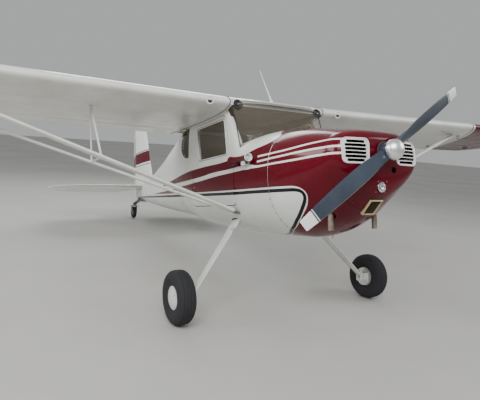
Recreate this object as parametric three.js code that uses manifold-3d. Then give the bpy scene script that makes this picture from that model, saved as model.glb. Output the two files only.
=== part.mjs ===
// Light aircraft: a two-seat, high-wing, strut-braced monoplane on two main wheels and a tail wheel.
// Millimetres. Pieces are drawn in level airframe axes, x forward, y to port and z up, measured from
// the main axle line. The last group turns the airframe nose up, as it parks, with z = 0 on the floor.
import * as THREE from 'three';
import Module from 'manifold-3d';
import { mergeVertices } from 'three/addons/utils/BufferGeometryUtils.js';

const wasm = await Module();
wasm.setup();

const rad = THREE.MathUtils.degToRad;
const vec = (x, y, z) => new THREE.Vector3(x, y, z);
const STARBOARD = -1;
const PORT = 1;

// Driving dimensions
const PARKED_PITCH = rad(10.96);
const SEAT_GAP = 0.3;
const MOVING_GAP = 6;
// How far the cutting prisms and blocks run past what they cut
const REACH = 200;

const WHEEL = { radius: 223, width: 150, track: 2110, rimRadius: 92, capRadius: 97, facets: 24 };
const TAIL_WHEEL = { x: -4626, radius: 100, width: 52, facets: 20, hubRadius: 44, axleRadius: 8 };
TAIL_WHEEL.z = (TAIL_WHEEL.radius - WHEEL.radius - TAIL_WHEEL.x * Math.sin(PARKED_PITCH))
  / Math.cos(PARKED_PITCH);

const WING = {
  rootY: 532, tipY: 5080, tipStartY: 4480, chord: 1474, leX: -13, leZ: 1670,
  dihedral: rad(1), incidence: rad(1.9), thickness: 0.12, camber: 0.02, camberAt: 0.4,
};
const FLAP = { from: 640, to: 2370, hingeAt: 0.765 };
const AILERON = { from: 2420, to: 4620, hingeAt: 0.765 };
// Hinge pins at both ends of each flap and aileron, and the filler cap on each wing
const SURFACE_PIN = { radius: 7, length: 12, sides: 16 };
const FUEL_CAP = { at: 0.3, height: 0.078, y: 1150, radius: 42, below: 14, above: 12 };

const TAILPLANE = {
  tipY: 1460, leX: -3650, z: 1180, hingeX: -4240, teX: -4800, thickness: 62, cutHalf: 1600,
};
// As it parks, the elevator droops and the rudder lies over to port
const ELEVATOR_DROOP = 5;
const RUDDER_TO_PORT = 12;
const FIN = {
  baseZ: 1215, topZ: 2370, hingeX: -4350, rearX: -5400, thickness: 66, rudderBaseZ: 1035, sunk: 60,
};

const PROP = { x: 1290, z: 1080, radius: 916, bladeAngle: rad(33.5), hubRadius: 62, domeRadius: 73 };
const STRUT = { footX: -20, footY: 465, footZ: 680, wingY: 2870, spread: 60 };
const SHELL = 22;
const COWL_SHELL = 7;
const LINING = 20;

const FIREWALL_X = 530;
const BOWL_X = 1080;
const CABIN_END_X = -1440;

// Body sections from nose to tail: x, half width, top, bottom and waist heights, and the powers of the
// rounded outline above and below the waist (2 is an ellipse, more is squarer).
const COLUMNS = ['x', 'half', 'top', 'bottom', 'waist', 'powerUp', 'powerDown'];
const table = (rows) => rows.map((row) => Object.fromEntries(COLUMNS.map((name, i) => [name, row[i]])));

const BOWL_SECTIONS = table([
  [1232, 150, 1150, 905, 1020, 2.2, 2.2],
  [1218, 205, 1185, 845, 1010, 2.3, 2.2],
  [1190, 272, 1212, 775, 1000, 2.4, 2.2],
  [1145, 340, 1238, 705, 985, 2.5, 2.2],
  [BOWL_X, 398, 1262, 640, 970, 2.6, 2.2],
]);
const COWL_SECTIONS = table([
  [BOWL_X, 398, 1262, 640, 970, 2.6, 2.2],
  [930, 446, 1298, 545, 962, 2.7, 2.2],
  [720, 490, 1328, 487, 955, 2.8, 2.2],
  [FIREWALL_X, 512, 1350, 460, 950, 2.8, 2.2],
]);
const CABIN_SECTIONS = table([
  [FIREWALL_X, 512, 1350, 460, 950, 2.8, 2.2],
  [300, 515, 1378, 462, 950, 3.4, 2.3],
  [75, 515, 1378, 468, 950, 5, 2.6],
  [-165, 515, 1690, 478, 950, 12, 2.9],
  [-860, 515, 1690, 520, 960, 12, 3],
  [-1180, 494, 1690, 562, 1010, 7, 2.8],
  [CABIN_END_X, 462, 1685, 605, 1060, 4.6, 2.5],
]);
const TAILCONE_SECTIONS = table([
  [CABIN_END_X, 462, 1685, 605, 1060, 4.6, 2.5],
  [-1900, 402, 1630, 662, 1080, 3.1, 2.3],
  [-2500, 318, 1500, 738, 1090, 2.4, 2.2],
  [-3200, 218, 1345, 832, 1090, 2.1, 2.1],
  [-3900, 120, 1262, 940, 1110, 2.1, 2.1],
  [-4310, 58, 1225, 1020, 1125, 2.2, 2.2],
]);
const RING_POINTS = 28;

// Solids and their tools
function solidOf(geometry) {
  const bare = geometry.clone();
  bare.deleteAttribute('normal');
  bare.deleteAttribute('uv');
  const merged = mergeVertices(bare, 1e-3);
  return closedSolid(merged.attributes.position.array, merged.index.array);
}

function closedSolid(positions, triangles) {
  const a = new THREE.Vector3();
  const b = new THREE.Vector3();
  const c = new THREE.Vector3();
  const faces = Uint32Array.from(triangles);
  let volume = 0;
  for (let i = 0; i < faces.length; i += 3) {
    a.fromArray(positions, 3 * faces[i]);
    b.fromArray(positions, 3 * faces[i + 1]);
    c.fromArray(positions, 3 * faces[i + 2]);
    volume += a.dot(b.cross(c));
  }
  if (volume < 0) {
    faces.reverse();
  }
  const vertProperties = Float32Array.from(positions);
  return new wasm.Manifold(new wasm.Mesh({ numProp: 3, vertProperties, triVerts: faces }));
}

function loft(rings) {
  const count = rings[0].length;
  const points = rings.flat();
  const triangles = [];
  for (let k = 0; k + 1 < rings.length; k += 1) {
    for (let i = 0; i < count; i += 1) {
      const next = (i + 1) % count;
      const p = k * count + i;
      const q = k * count + next;
      triangles.push(p, q, p + count, q, q + count, p + count);
    }
  }
  const caps = [[0, true], [(rings.length - 1) * count, false]];
  for (const [start, first] of caps) {
    const ring = points.slice(start, start + count);
    const centre = ring.reduce((sum, p) => sum.add(p), vec(0, 0, 0)).divideScalar(count);
    const hub = points.push(centre) - 1;
    for (let i = 0; i < count; i += 1) {
      const p = start + i;
      const q = start + ((i + 1) % count);
      triangles.push(...(first ? [hub, q, p] : [hub, p, q]));
    }
  }
  return closedSolid(points.flatMap((p) => p.toArray()), triangles);
}

function meshOf(name, solid, material) {
  const { vertProperties, triVerts } = solid.getMesh();
  const geometry = new THREE.BufferGeometry();
  geometry.setAttribute('position', new THREE.BufferAttribute(Float32Array.from(vertProperties), 3));
  geometry.setIndex(new THREE.BufferAttribute(Uint32Array.from(triVerts), 1));
  geometry.computeVertexNormals();
  const mesh = new THREE.Mesh(geometry, material);
  mesh.name = name;
  return mesh;
}

// Cuts a solid back from its neighbour, shifted by the seat gap along each given direction
function clearOf(solid, neighbour, ...directions) {
  return directions.reduce((left, [x, y, z]) => (
    left.subtract(neighbour.translate([x * SEAT_GAP, y * SEAT_GAP, z * SEAT_GAP]))), solid);
}
const UP = [0, 0, 1];
const DOWN = [0, 0, -1];
const FORWARD = [1, 0, 0];
const OUT_BOTH = [[0, 1, 0], [0, -1, 0]];

// A hole for a round bar of the given radius and facets, one seat gap clear of it all round
const bored = (radius, facets) => (radius + SEAT_GAP) / Math.cos(Math.PI / facets);
const mirrored = (solid) => solid.mirror([0, 1, 0]);
const sided = (solid, side) => (side === PORT ? solid : mirrored(solid));
const join = (...solids) => solids.reduce((all, next) => all.add(next));

function block(low, high) {
  const size = high.clone().sub(low);
  const middle = low.clone().add(high).multiplyScalar(0.5);
  return solidOf(new THREE.BoxGeometry(size.x, size.y, size.z).translate(middle.x, middle.y, middle.z));
}

function rod(from, to, radius, sides = 16, endRadius = radius) {
  const along = to.clone().sub(from);
  const geometry = new THREE.CylinderGeometry(endRadius, radius, along.length(), sides);
  const turn = new THREE.Quaternion().setFromUnitVectors(vec(0, 1, 0), along.clone().normalize());
  const middle = from.clone().add(to).multiplyScalar(0.5);
  return solidOf(geometry.applyQuaternion(turn).translate(middle.x, middle.y, middle.z));
}

// A bar of oval section whose chord lies fore and aft, as on a lift strut
function streamlined(from, to, chord, thickness, sides = 12) {
  const along = to.clone().sub(from).normalize();
  const across = vec(1, 0, 0).cross(along).normalize();
  const fore = along.clone().cross(across);
  const ring = (centre) => Array.from({ length: sides }, (_, i) => {
    const angle = (2 * Math.PI * i) / sides;
    return centre.clone()
      .addScaledVector(fore, (chord / 2) * Math.cos(angle))
      .addScaledVector(across, (thickness / 2) * Math.sin(angle));
  });
  return loft([ring(from), ring(to)]);
}

// A prism of an outline in the side view, given as x and z, from one y to another
function sidePrism(outline, fromY, toY) {
  const shape = new THREE.Shape(outline.map(([x, z]) => new THREE.Vector2(x, z)));
  const geometry = new THREE.ExtrudeGeometry(shape, { depth: Math.abs(toY - fromY), bevelEnabled: false });
  geometry.rotateX(Math.PI / 2).translate(0, Math.max(fromY, toY), 0);
  return solidOf(geometry);
}

// A rounded outline through corner points [x, z], with one radius for all its corners
function roundedOutline(corners, radius, steps = 4) {
  const points = [];
  corners.forEach((corner, i) => {
    const here = new THREE.Vector2(...corner);
    const before = new THREE.Vector2(...corners[(i + corners.length - 1) % corners.length]);
    const after = new THREE.Vector2(...corners[(i + 1) % corners.length]);
    const from = here.clone().add(before.sub(here).setLength(radius));
    const to = here.clone().add(after.sub(here).setLength(radius));
    const curve = new THREE.QuadraticBezierCurve(from, here, to);
    curve.getPoints(steps).forEach((p) => points.push([p.x, p.y]));
  });
  return points;
}

// Body sections
function bodyRing(section, inset = 0) {
  return Array.from({ length: RING_POINTS }, (_, i) => {
    const angle = (2 * Math.PI * (i + 0.5)) / RING_POINTS;
    const cos = Math.cos(angle);
    const sin = Math.sin(angle);
    const power = 2 / (sin > 0 ? section.powerUp : section.powerDown);
    const height = (sin > 0 ? section.top - section.waist : section.waist - section.bottom) - inset;
    const y = Math.sign(cos) * (section.half - inset) * Math.abs(cos) ** power;
    const z = section.waist + Math.sign(sin) * height * Math.abs(sin) ** power;
    return vec(section.x, y, z);
  });
}

const bodyLoft = (sections, inset = 0) => loft(sections.map((section) => bodyRing(section, inset)));

function sectionsBetween(sections, frontX, rearX) {
  const moved = sections.map((section) => ({ ...section }));
  moved[0].x = frontX;
  moved[moved.length - 1].x = rearX;
  return moved;
}

// Wing and tail sections
function foilHeight(s, thickness) {
  const shape = 0.2969 * Math.sqrt(s) - 0.126 * s - 0.3516 * s ** 2 + 0.2843 * s ** 3 - 0.1015 * s ** 4;
  return 5 * thickness * shape;
}

function camberHeight(s, camber, at) {
  if (camber === 0) {
    return 0;
  }
  return s < at
    ? (camber / at ** 2) * (2 * at * s - s ** 2)
    : (camber / (1 - at) ** 2) * (1 - 2 * at + 2 * at * s - s ** 2);
}

// Chord fraction and height of each point round a section, from the trailing edge over the top and back
function foilOutline(thickness, camber = 0, at = 0.4, steps = 12) {
  const upper = [];
  const lower = [];
  for (let i = 0; i <= steps; i += 1) {
    const s = (1 + Math.cos((Math.PI * i) / steps)) / 2;
    upper.push([s, camberHeight(s, camber, at) + foilHeight(s, thickness)]);
    if (i < steps) {
      lower.unshift([s, camberHeight(s, camber, at) - foilHeight(s, thickness)]);
    }
  }
  return [...upper, ...lower];
}

const wingZ = (y) => WING.leZ + (y - WING.rootY) * Math.tan(WING.dihedral);

function wingPoint(s, height, y, chord = WING.chord, leX = WING.leX, thin = 1) {
  const cos = Math.cos(WING.incidence);
  const sin = Math.sin(WING.incidence);
  const along = s * chord;
  const up = height * chord * thin;
  return vec(leX - along * cos - up * sin, y, wingZ(y) - (s * chord + WING.leX - leX) * sin + up * cos);
}

function wingStations() {
  const stations = [{ y: WING.rootY, chord: WING.chord }, { y: WING.tipStartY, chord: WING.chord }];
  const steps = 7;
  for (let i = 1; i <= steps; i += 1) {
    const out = Math.sin((i / (steps + 0.35)) * (Math.PI / 2));
    const y = WING.tipStartY + (WING.tipY - WING.tipStartY) * Math.min(out, 1) ** 0.9;
    stations.push({ y: i === steps ? WING.tipY : y, chord: WING.chord * (1 - out ** 2.6) ** 0.5 });
  }
  return stations;
}

function wingLoft(fromRoot = WING.rootY) {
  const outline = foilOutline(WING.thickness, WING.camber, WING.camberAt);
  return loft(wingStations().map(({ y, chord }, i) => {
    const at = i === 0 ? fromRoot : y;
    const leX = WING.leX - 0.4 * (WING.chord - chord);
    return outline.map(([s, height]) => wingPoint(s, height, at, chord, leX));
  }));
}

// Hinge of a wing surface: the axis point at a span, and half the section's depth there
function wingHinge(y, hingeAt) {
  const camber = camberHeight(hingeAt, WING.camber, WING.camberAt);
  return wingPoint(hingeAt, camber, y);
}
const wingHalfDepth = (hingeAt) => foilHeight(hingeAt, WING.thickness) * WING.chord;

// The space behind a hinge line, with a round cove of the given radius at the hinge
function wingCove({ from, to, hingeAt }, radius, endGap) {
  const a = wingHinge(from - endGap, hingeAt);
  const b = wingHinge(to + endGap, hingeAt);
  const behind = [[0, REACH], [0, -REACH], [-WING.chord, -REACH], [-WING.chord, REACH]];
  const rings = [a, b].map((p) => behind.map(([x, z]) => vec(p.x + x, p.y, p.z + z)));
  return join(loft(rings), rod(a, b, radius, 24));
}

function hingePin({ from, to, hingeAt }, past, radius) {
  const ends = [from - past, to + past].map((y) => wingHinge(y, hingeAt));
  return rod(...ends, radius, SURFACE_PIN.sides);
}

function wingSurface(place) {
  const radius = wingHalfDepth(place.hingeAt);
  const pin = hingePin(place, MOVING_GAP + SURFACE_PIN.length, SURFACE_PIN.radius);
  return wingLoft().intersect(wingCove(place, radius, 0)).add(pin);
}

const STRUT_TOP = { frontAt: 0.165, frontHeight: -0.052, rearAt: 0.66, rearHeight: -0.036, rearIn: 40 };
function strutTops(side) {
  const front = wingPoint(STRUT_TOP.frontAt, STRUT_TOP.frontHeight, STRUT.wingY);
  const rear = wingPoint(STRUT_TOP.rearAt, STRUT_TOP.rearHeight, STRUT.wingY - STRUT_TOP.rearIn);
  front.y *= side;
  rear.y *= side;
  return { front, rear };
}

function strutFeet(side) {
  const front = vec(STRUT.footX, side * STRUT.footY, STRUT.footZ);
  const rear = vec(STRUT.footX - STRUT.spread, side * (STRUT.footY + 20), STRUT.footZ + 4);
  return { front, rear };
}

function wing(side) {
  let solid = wingLoft(WING.rootY + SEAT_GAP);
  for (const place of [FLAP, AILERON]) {
    const radius = wingHalfDepth(place.hingeAt) + MOVING_GAP;
    const past = MOVING_GAP + SURFACE_PIN.length + SEAT_GAP;
    solid = solid.subtract(wingCove(place, radius, MOVING_GAP));
    solid = solid.subtract(hingePin(place, past, bored(SURFACE_PIN.radius, SURFACE_PIN.sides)));
  }
  const cap = wingPoint(FUEL_CAP.at, FUEL_CAP.height, FUEL_CAP.y);
  const capFoot = cap.clone().add(vec(0, 0, -FUEL_CAP.below));
  const capTop = cap.clone().add(vec(0, 0, FUEL_CAP.above));
  return sided(solid.add(rod(capFoot, capTop, FUEL_CAP.radius, 20)), side);
}

// Centre section: the roof between the wing roots, with the root ribs and a thin upper skin
const CENTRE = {
  rib: 30, skin: 24, hollowFrom: 0.03, hollowShare: 0.94, frontX: 100,
  roomFrontX: -70, roomRearX: -1350, roomHalf: 502, ceiling: 1660,
};
function centreSection() {
  const outline = foilOutline(WING.thickness, WING.camber, WING.camberAt);
  const ends = [-WING.rootY, WING.rootY];
  const outer = loft(ends.map((y) => outline.map(([s, height]) => {
    const p = wingPoint(s, height, WING.rootY);
    return vec(p.x, y, p.z);
  })));
  const innerEnds = ends.map((y) => y - Math.sign(y) * CENTRE.rib);
  const hollow = loft(innerEnds.map((y) => outline.map(([s, height]) => {
    const p = wingPoint(CENTRE.hollowFrom + s * CENTRE.hollowShare, height, WING.rootY);
    return vec(p.x, y, p.z - CENTRE.skin);
  })));
  const { roomRearX, roomFrontX, roomHalf, ceiling } = CENTRE;
  const room = block(vec(roomRearX, -roomHalf, ceiling - REACH), vec(roomFrontX, roomHalf, ceiling));
  const low = vec(CABIN_END_X, -WING.rootY - REACH, WING.leZ - REACH);
  const high = vec(CENTRE.frontX, WING.rootY + REACH, WING.leZ + REACH);
  return outer.subtract(hollow).subtract(room).intersect(block(low, high));
}

// Cabin
const DOOR = {
  outline: [[-2, 742], [-2, 1205], [-148, 1578], [-872, 1578], [-930, 1190], [-930, 760]],
  window: [[-154, 1221], [-200, 1537], [-781, 1538], [-739, 1233]],
  cornerRadius: 55, windowRadius: 34, thickness: 30,
};
// The side openings are cut by prisms between these distances from the middle
const SIDE_CUT = { from: 300, to: 600 };
// Each door hangs on two outside hinges, a cabin knuckle below a door knuckle on one upright pin line
const HINGE = {
  x: 3, y: 521, radius: 5, leaf: 36, height: 28, embed: 21, proud: 5, edge: 15, levels: [842, 1112],
};

function shrunk(outline, by) {
  const sum = outline.reduce(([a, b], [x, z]) => [a + x, b + z], [0, 0]);
  const middle = sum.map((v) => v / outline.length);
  return outline.map(([x, z]) => [x + Math.sign(middle[0] - x) * by, z + Math.sign(middle[1] - z) * by]);
}

const QUARTER = { frontLowX: -1000, frontTopX: -968, low: 1290, top: 1590, middleX: -1028, length: 195 };
function quarterWindowOutline(gap = 0) {
  const points = [[QUARTER.frontLowX - gap, QUARTER.low + gap], [QUARTER.frontTopX - gap, QUARTER.top - gap]];
  const steps = 10;
  const middleZ = (QUARTER.low + QUARTER.top) / 2;
  const tall = (QUARTER.top - QUARTER.low) / 2 - gap;
  for (let i = 0; i <= steps; i += 1) {
    const angle = Math.PI / 2 + (Math.PI * i) / steps;
    const x = QUARTER.middleX + (QUARTER.length - gap) * Math.cos(angle);
    points.push([x, middleZ + tall * Math.sin(angle)]);
  }
  return points;
}

function cabinHinges() {
  const { x, y, radius, leaf, height, embed } = HINGE;
  return join(...HINGE.levels.map((level) => join(
    rod(vec(x, y, level), vec(x, y, level + height), radius, 12),
    block(vec(x, y - embed, level), vec(x + leaf, y, level + height)),
  )));
}

function doorHinges() {
  const { x, y, radius, leaf, height, embed, proud, edge } = HINGE;
  return join(...HINGE.levels.map((level) => {
    const low = level + height + SEAT_GAP;
    const high = low + height;
    return join(
      rod(vec(x, y, low), vec(x, y, high), radius, 12),
      block(vec(x - leaf, y - proud, low), vec(x, y + radius - 1, high)),
      block(vec(x - leaf, y - embed, low), vec(x - edge, y, high)),
    );
  }));
}

// Plan curve of the windshield's foot: how far forward it reaches at a given y
const WINDSHIELD = {
  footSideX: 72, footFrontX: 292, halfWidth: 488, topX: -30, topZ: 1668, glass: 7,
  openX: -500, lap: 14, sill: 1235, roof: 1690, footZ: 1254, footRise: 118, bulge: 55, edge: 4,
};
function windshieldFootX(y) {
  const across = Math.min(Math.abs(y) / WINDSHIELD.halfWidth, 1);
  return WINDSHIELD.footSideX + (WINDSHIELD.footFrontX - WINDSHIELD.footSideX) * (1 - across ** 2.4);
}

function windshieldOpening() {
  const half = WINDSHIELD.halfWidth - SHELL;
  const steps = 12;
  const outline = [[WINDSHIELD.openX, -half], [WINDSHIELD.openX, half]];
  for (let i = 0; i <= steps; i += 1) {
    const y = half - (2 * half * i) / steps;
    outline.push([windshieldFootX(y) - WINDSHIELD.lap, y]);
  }
  return loft([WINDSHIELD.sill, WINDSHIELD.roof].map((z) => outline.map(([x, y]) => vec(x, y, z))));
}

// The way up from the cabin into the roof between the wing roots
const CABIN_TOP = { frontX: -60, rearX: -1300, half: 480, low: 1600, high: 1668 };
function cabinShell() {
  const inner = bodyLoft(sectionsBetween(CABIN_SECTIONS, FIREWALL_X - LINING, CABIN_END_X + LINING), SHELL);
  const { frontX, rearX, half, low, high } = CABIN_TOP;
  const roof = block(vec(rearX, -half, low), vec(frontX, half, high));
  let solid = bodyLoft(CABIN_SECTIONS).subtract(inner);
  solid = solid.subtract(windshieldOpening()).subtract(roof);
  return solid.add(centreSection());
}

function cabin() {
  let solid = cabinShell();
  for (const side of [STARBOARD, PORT]) {
    const outlines = [roundedOutline(DOOR.outline, DOOR.cornerRadius), quarterWindowOutline()];
    const cuts = join(...outlines.map((outline) => sidePrism(outline, SIDE_CUT.from, SIDE_CUT.to)));
    solid = solid.subtract(sided(cuts, side)).add(sided(cabinHinges(), side));
  }
  return solid;
}

// The part of the cabin side between two depths below its outer face, within an outline
function sideSkin(outline, depth, thickness) {
  const skin = bodyLoft(CABIN_SECTIONS, depth).subtract(bodyLoft(CABIN_SECTIONS, depth + thickness));
  return skin.intersect(sidePrism(outline, SIDE_CUT.from, SIDE_CUT.to));
}

function door(side) {
  const outline = roundedOutline(shrunk(DOOR.outline, MOVING_GAP), DOOR.cornerRadius);
  const hole = sidePrism(roundedOutline(DOOR.window, DOOR.windowRadius), SIDE_CUT.from, SIDE_CUT.to);
  const panel = sideSkin(outline, 0, DOOR.thickness).subtract(hole);
  return sided(panel.add(doorHinges()), side);
}

const PANE = { depth: 8, thickness: 5 };
function doorWindow(side) {
  const outline = roundedOutline(shrunk(DOOR.window, SEAT_GAP), DOOR.windowRadius);
  return sided(sideSkin(outline, PANE.depth, PANE.thickness), side);
}

function quarterWindow(side) {
  return sided(sideSkin(quarterWindowOutline(1), PANE.depth, PANE.thickness), side);
}

function windshield() {
  const across = 12;
  const rows = 4;
  const surface = (depth) => {
    const grid = [];
    for (let j = 0; j <= rows; j += 1) {
      const v = j / rows;
      const row = [];
      for (let i = 0; i <= across; i += 1) {
        const u = (2 * i) / across - 1;
        const y = u * (WINDSHIELD.halfWidth + WINDSHIELD.edge - depth);
        const foot = windshieldFootX(y) - depth;
        const footZ = WINDSHIELD.footZ + WINDSHIELD.footRise * (1 - Math.abs(u) ** 2.6);
        const bulge = WINDSHIELD.bulge * Math.sin(Math.PI * v) * (1 - u * u);
        const x = THREE.MathUtils.lerp(foot, WINDSHIELD.topX - depth, v) + bulge;
        row.push(vec(x, y, THREE.MathUtils.lerp(footZ, WINDSHIELD.topZ, v)));
      }
      grid.push(row);
    }
    return grid;
  };
  const outer = surface(0);
  const inner = surface(WINDSHIELD.glass);
  const rings = outer.map((row, j) => [...row, ...inner[j].slice().reverse()]);
  return largest(clearOf(loft(rings), cabinShell(), UP, FORWARD, ...OUT_BOTH));
}

// Engine bay
function cowling() {
  const inner = sectionsBetween(COWL_SECTIONS, BOWL_X + LINING, FIREWALL_X - LINING);
  const outer = sectionsBetween(COWL_SECTIONS, BOWL_X - SEAT_GAP, FIREWALL_X + SEAT_GAP);
  let solid = bodyLoft(outer).subtract(bodyLoft(inner, COWL_SHELL));
  for (const side of [STARBOARD, PORT]) {
    const low = vec(STACK.x, side * STACK.y, STACK.bottomZ - REACH);
    const high = vec(STACK.x, side * STACK.y, STACK.topZ);
    solid = solid.subtract(rod(low, high, STACK.radius + MOVING_GAP, 16));
  }
  return solid;
}

const INLET = {
  y: 216, z: 1077, width: 206, height: 200, radius: 48, slots: 6, slotHeight: 19, pitch: 28,
  border: 24, outerBorder: 40,
};

function inletPrism(side, gap = 0) {
  const half = INLET.width / 2 - gap;
  const tall = INLET.height / 2 - gap;
  const y = side * INLET.y;
  const corners = [[y - half, INLET.z - tall], [y + half, INLET.z - tall], [y + half, INLET.z + tall],
    [y - half, INLET.z + tall]];
  const outline = roundedOutline(corners, INLET.radius, 3);
  return loft([BOWL_X - REACH, BOWL_X + 2 * REACH].map((x) => outline.map(([a, z]) => vec(x, a, z))));
}

function bowlShell() {
  const inner = sectionsBetween(BOWL_SECTIONS, BOWL_SECTIONS[0].x - COWL_SHELL, BOWL_X - LINING);
  return bodyLoft(BOWL_SECTIONS).subtract(bodyLoft(inner, COWL_SHELL));
}

const LIGHT = { x: 1180, z: 831, radius: 37, barrel: 30 };
const FILTER = {
  topX: 1168, topZ: 742, bottomX: 1072, bottomZ: 640, half: 60, halfLength: 70, inward: 24, outward: 22,
};

// Round holes through the front of the bowl: its distance from the middle, height, radius and facets
const SHAFT_HOLE = { y: 0, z: PROP.z, radius: 58, facets: 24 };
const LIGHT_HOLE = { y: 0, z: LIGHT.z, radius: LIGHT.radius + SEAT_GAP, facets: 20 };
const AIR_HOLE = { y: 105, z: 952, radius: 19, facets: 14 };
function noseBowl() {
  let solid = bowlShell().subtract(filterPrism(SEAT_GAP));
  const holes = [SHAFT_HOLE, LIGHT_HOLE, AIR_HOLE, { ...AIR_HOLE, y: -AIR_HOLE.y }];
  for (const { y, z, radius, facets } of holes) {
    solid = solid.subtract(rod(vec(BOWL_X + LINING, y, z), vec(BOWL_X + REACH, y, z), radius, facets));
  }
  return solid.subtract(inletPrism(STARBOARD)).subtract(inletPrism(PORT));
}

function grille(side) {
  let solid = bowlShell().intersect(inletPrism(side, SEAT_GAP));
  for (let k = 0; k < INLET.slots; k += 1) {
    const z = INLET.z + (k - (INLET.slots - 1) / 2) * INLET.pitch;
    const outermost = k === 0 || k === INLET.slots - 1;
    const half = INLET.width / 2 - (outermost ? INLET.outerBorder : INLET.border);
    const low = vec(BOWL_X - REACH, side * INLET.y - half, z - INLET.slotHeight / 2);
    const high = vec(BOWL_X + 2 * REACH, side * INLET.y + half, z + INLET.slotHeight / 2);
    solid = solid.subtract(block(low, high));
  }
  return solid;
}

// The air filter lies in the sloping chin of the bowl
function filterPrism(gap) {
  const down = vec(FILTER.bottomX - FILTER.topX, 0, FILTER.bottomZ - FILTER.topZ).normalize();
  const out = vec(-down.z, 0, down.x);
  const middle = vec((FILTER.topX + FILTER.bottomX) / 2, 0, (FILTER.topZ + FILTER.bottomZ) / 2);
  const long = FILTER.halfLength + gap;
  const half = FILTER.half + gap;
  const past = gap > 0 ? REACH / 6 : 0;
  const corner = (a, y, depth) => middle.clone().addScaledVector(down, a).addScaledVector(out, depth).setY(y);
  const ring = (depth) => [corner(-long, -half, depth), corner(-long, half, depth), corner(long, half, depth),
    corner(long, -half, depth)];
  return loft([ring(-FILTER.inward - past), ring(FILTER.outward + past)]);
}

function landingLight() {
  const { radius, barrel } = LIGHT;
  const profile = [[0, 0], [radius, 0], [radius, barrel], [0.8 * radius, barrel + 8],
    [0.43 * radius, barrel + 12], [0, barrel + 13]];
  const lathe = new THREE.LatheGeometry(profile.map((p) => new THREE.Vector2(...p)), 20);
  return solidOf(lathe.rotateZ(-Math.PI / 2).translate(LIGHT.x, 0, LIGHT.z));
}

// Each exhaust stack rises to the underside of the engine, and its lower end is an open pipe
const STACK = { x: 958, y: 250, radius: 21, topZ: 700, bottomZ: 526, wall: 3, boreTopZ: 640 };
const RISER = { x: 918, y: 230, radius: 21 };
function exhaustStack(side) {
  const at = (z) => vec(STACK.x, side * STACK.y, z);
  const elbow = at(STACK.topZ);
  const pipe = rod(elbow, at(STACK.bottomZ), STACK.radius, 16);
  const bore = rod(at(STACK.bottomZ - LINING), at(STACK.boreTopZ), STACK.radius - STACK.wall, 16);
  const riserTop = vec(RISER.x, side * RISER.y, ENGINE.bottom);
  const riser = rod(elbow, riserTop, RISER.radius, 12);
  const bend = solidOf(new THREE.SphereGeometry(STACK.radius, 12, 8).translate(...elbow.toArray()));
  const low = vec(FIREWALL_X, -WING.rootY, ENGINE.bottom - SEAT_GAP);
  const underEngine = block(low, vec(BOWL_X, WING.rootY, ENGINE.top));
  return join(pipe, riser, bend).subtract(bore).subtract(underEngine);
}

const ENGINE = { front: 1015, half: 330, bottom: 830, top: 1130, shaftRadius: 40 };
const PROP_HUB = { back: 45, front: 36 };
function engine() {
  const low = vec(FIREWALL_X + SEAT_GAP, -ENGINE.half, ENGINE.bottom);
  const body = block(low, vec(ENGINE.front, ENGINE.half, ENGINE.top));
  const flange = vec(PROP.x - PROP_HUB.back - 1, 0, PROP.z);
  const shaft = rod(vec(ENGINE.front - 10, 0, PROP.z), flange, ENGINE.shaftRadius, 20);
  return body.add(shaft);
}

// Propeller blade sections by share of the radius: chord, thickness and pitch
const BLADE_SECTIONS = [
  { at: 0.05, chord: 92, thickness: 46, pitch: 44 },
  { at: 0.16, chord: 108, thickness: 34, pitch: 38 },
  { at: 0.32, chord: 142, thickness: 22, pitch: 30 },
  { at: 0.55, chord: 160, thickness: 15, pitch: 22 },
  { at: 0.78, chord: 146, thickness: 10, pitch: 17 },
  { at: 0.93, chord: 124, thickness: 8, pitch: 14 },
  { at: 1, chord: 100, thickness: 6, pitch: 13 },
];

const BLADE_POINTS = 14;
function blade(angle) {
  const outward = vec(0, Math.cos(angle), Math.sin(angle));
  const travel = vec(1, 0, 0).cross(outward);
  const centre = vec(PROP.x, 0, PROP.z);
  return loft(BLADE_SECTIONS.map(({ at, chord, thickness, pitch }) => {
    const along = travel.clone().multiplyScalar(Math.cos(rad(pitch))).add(vec(Math.sin(rad(pitch)), 0, 0));
    const face = outward.clone().cross(along);
    return Array.from({ length: BLADE_POINTS }, (_, i) => {
      const turn = (2 * Math.PI * i) / BLADE_POINTS;
      return centre.clone().addScaledVector(outward, at * PROP.radius)
        .addScaledVector(along, (chord / 2) * Math.cos(turn))
        .addScaledVector(face, (thickness / 2) * Math.sin(turn));
    });
  }));
}

function propeller() {
  const back = vec(PROP.x - PROP_HUB.back, 0, PROP.z);
  const front = vec(PROP.x + PROP_HUB.front, 0, PROP.z);
  const boss = rod(back, front, PROP.hubRadius, 28);
  return join(boss, blade(PROP.bladeAngle), blade(PROP.bladeAngle + Math.PI));
}

const DOME = { rim: 14, height: 62, steps: 8 };
function spinner() {
  const profile = [[0, 0], [PROP.domeRadius, 0]];
  for (let i = 0; i < DOME.steps; i += 1) {
    const angle = (Math.PI / 2) * (i / DOME.steps);
    profile.push([PROP.domeRadius * Math.cos(angle), DOME.rim + DOME.height * Math.sin(angle)]);
  }
  profile.push([0, DOME.rim + DOME.height]);
  const lathe = new THREE.LatheGeometry(profile.map((p) => new THREE.Vector2(...p)), 28);
  return solidOf(lathe.rotateZ(-Math.PI / 2).translate(PROP.x + PROP_HUB.front + SEAT_GAP, 0, PROP.z));
}

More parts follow.
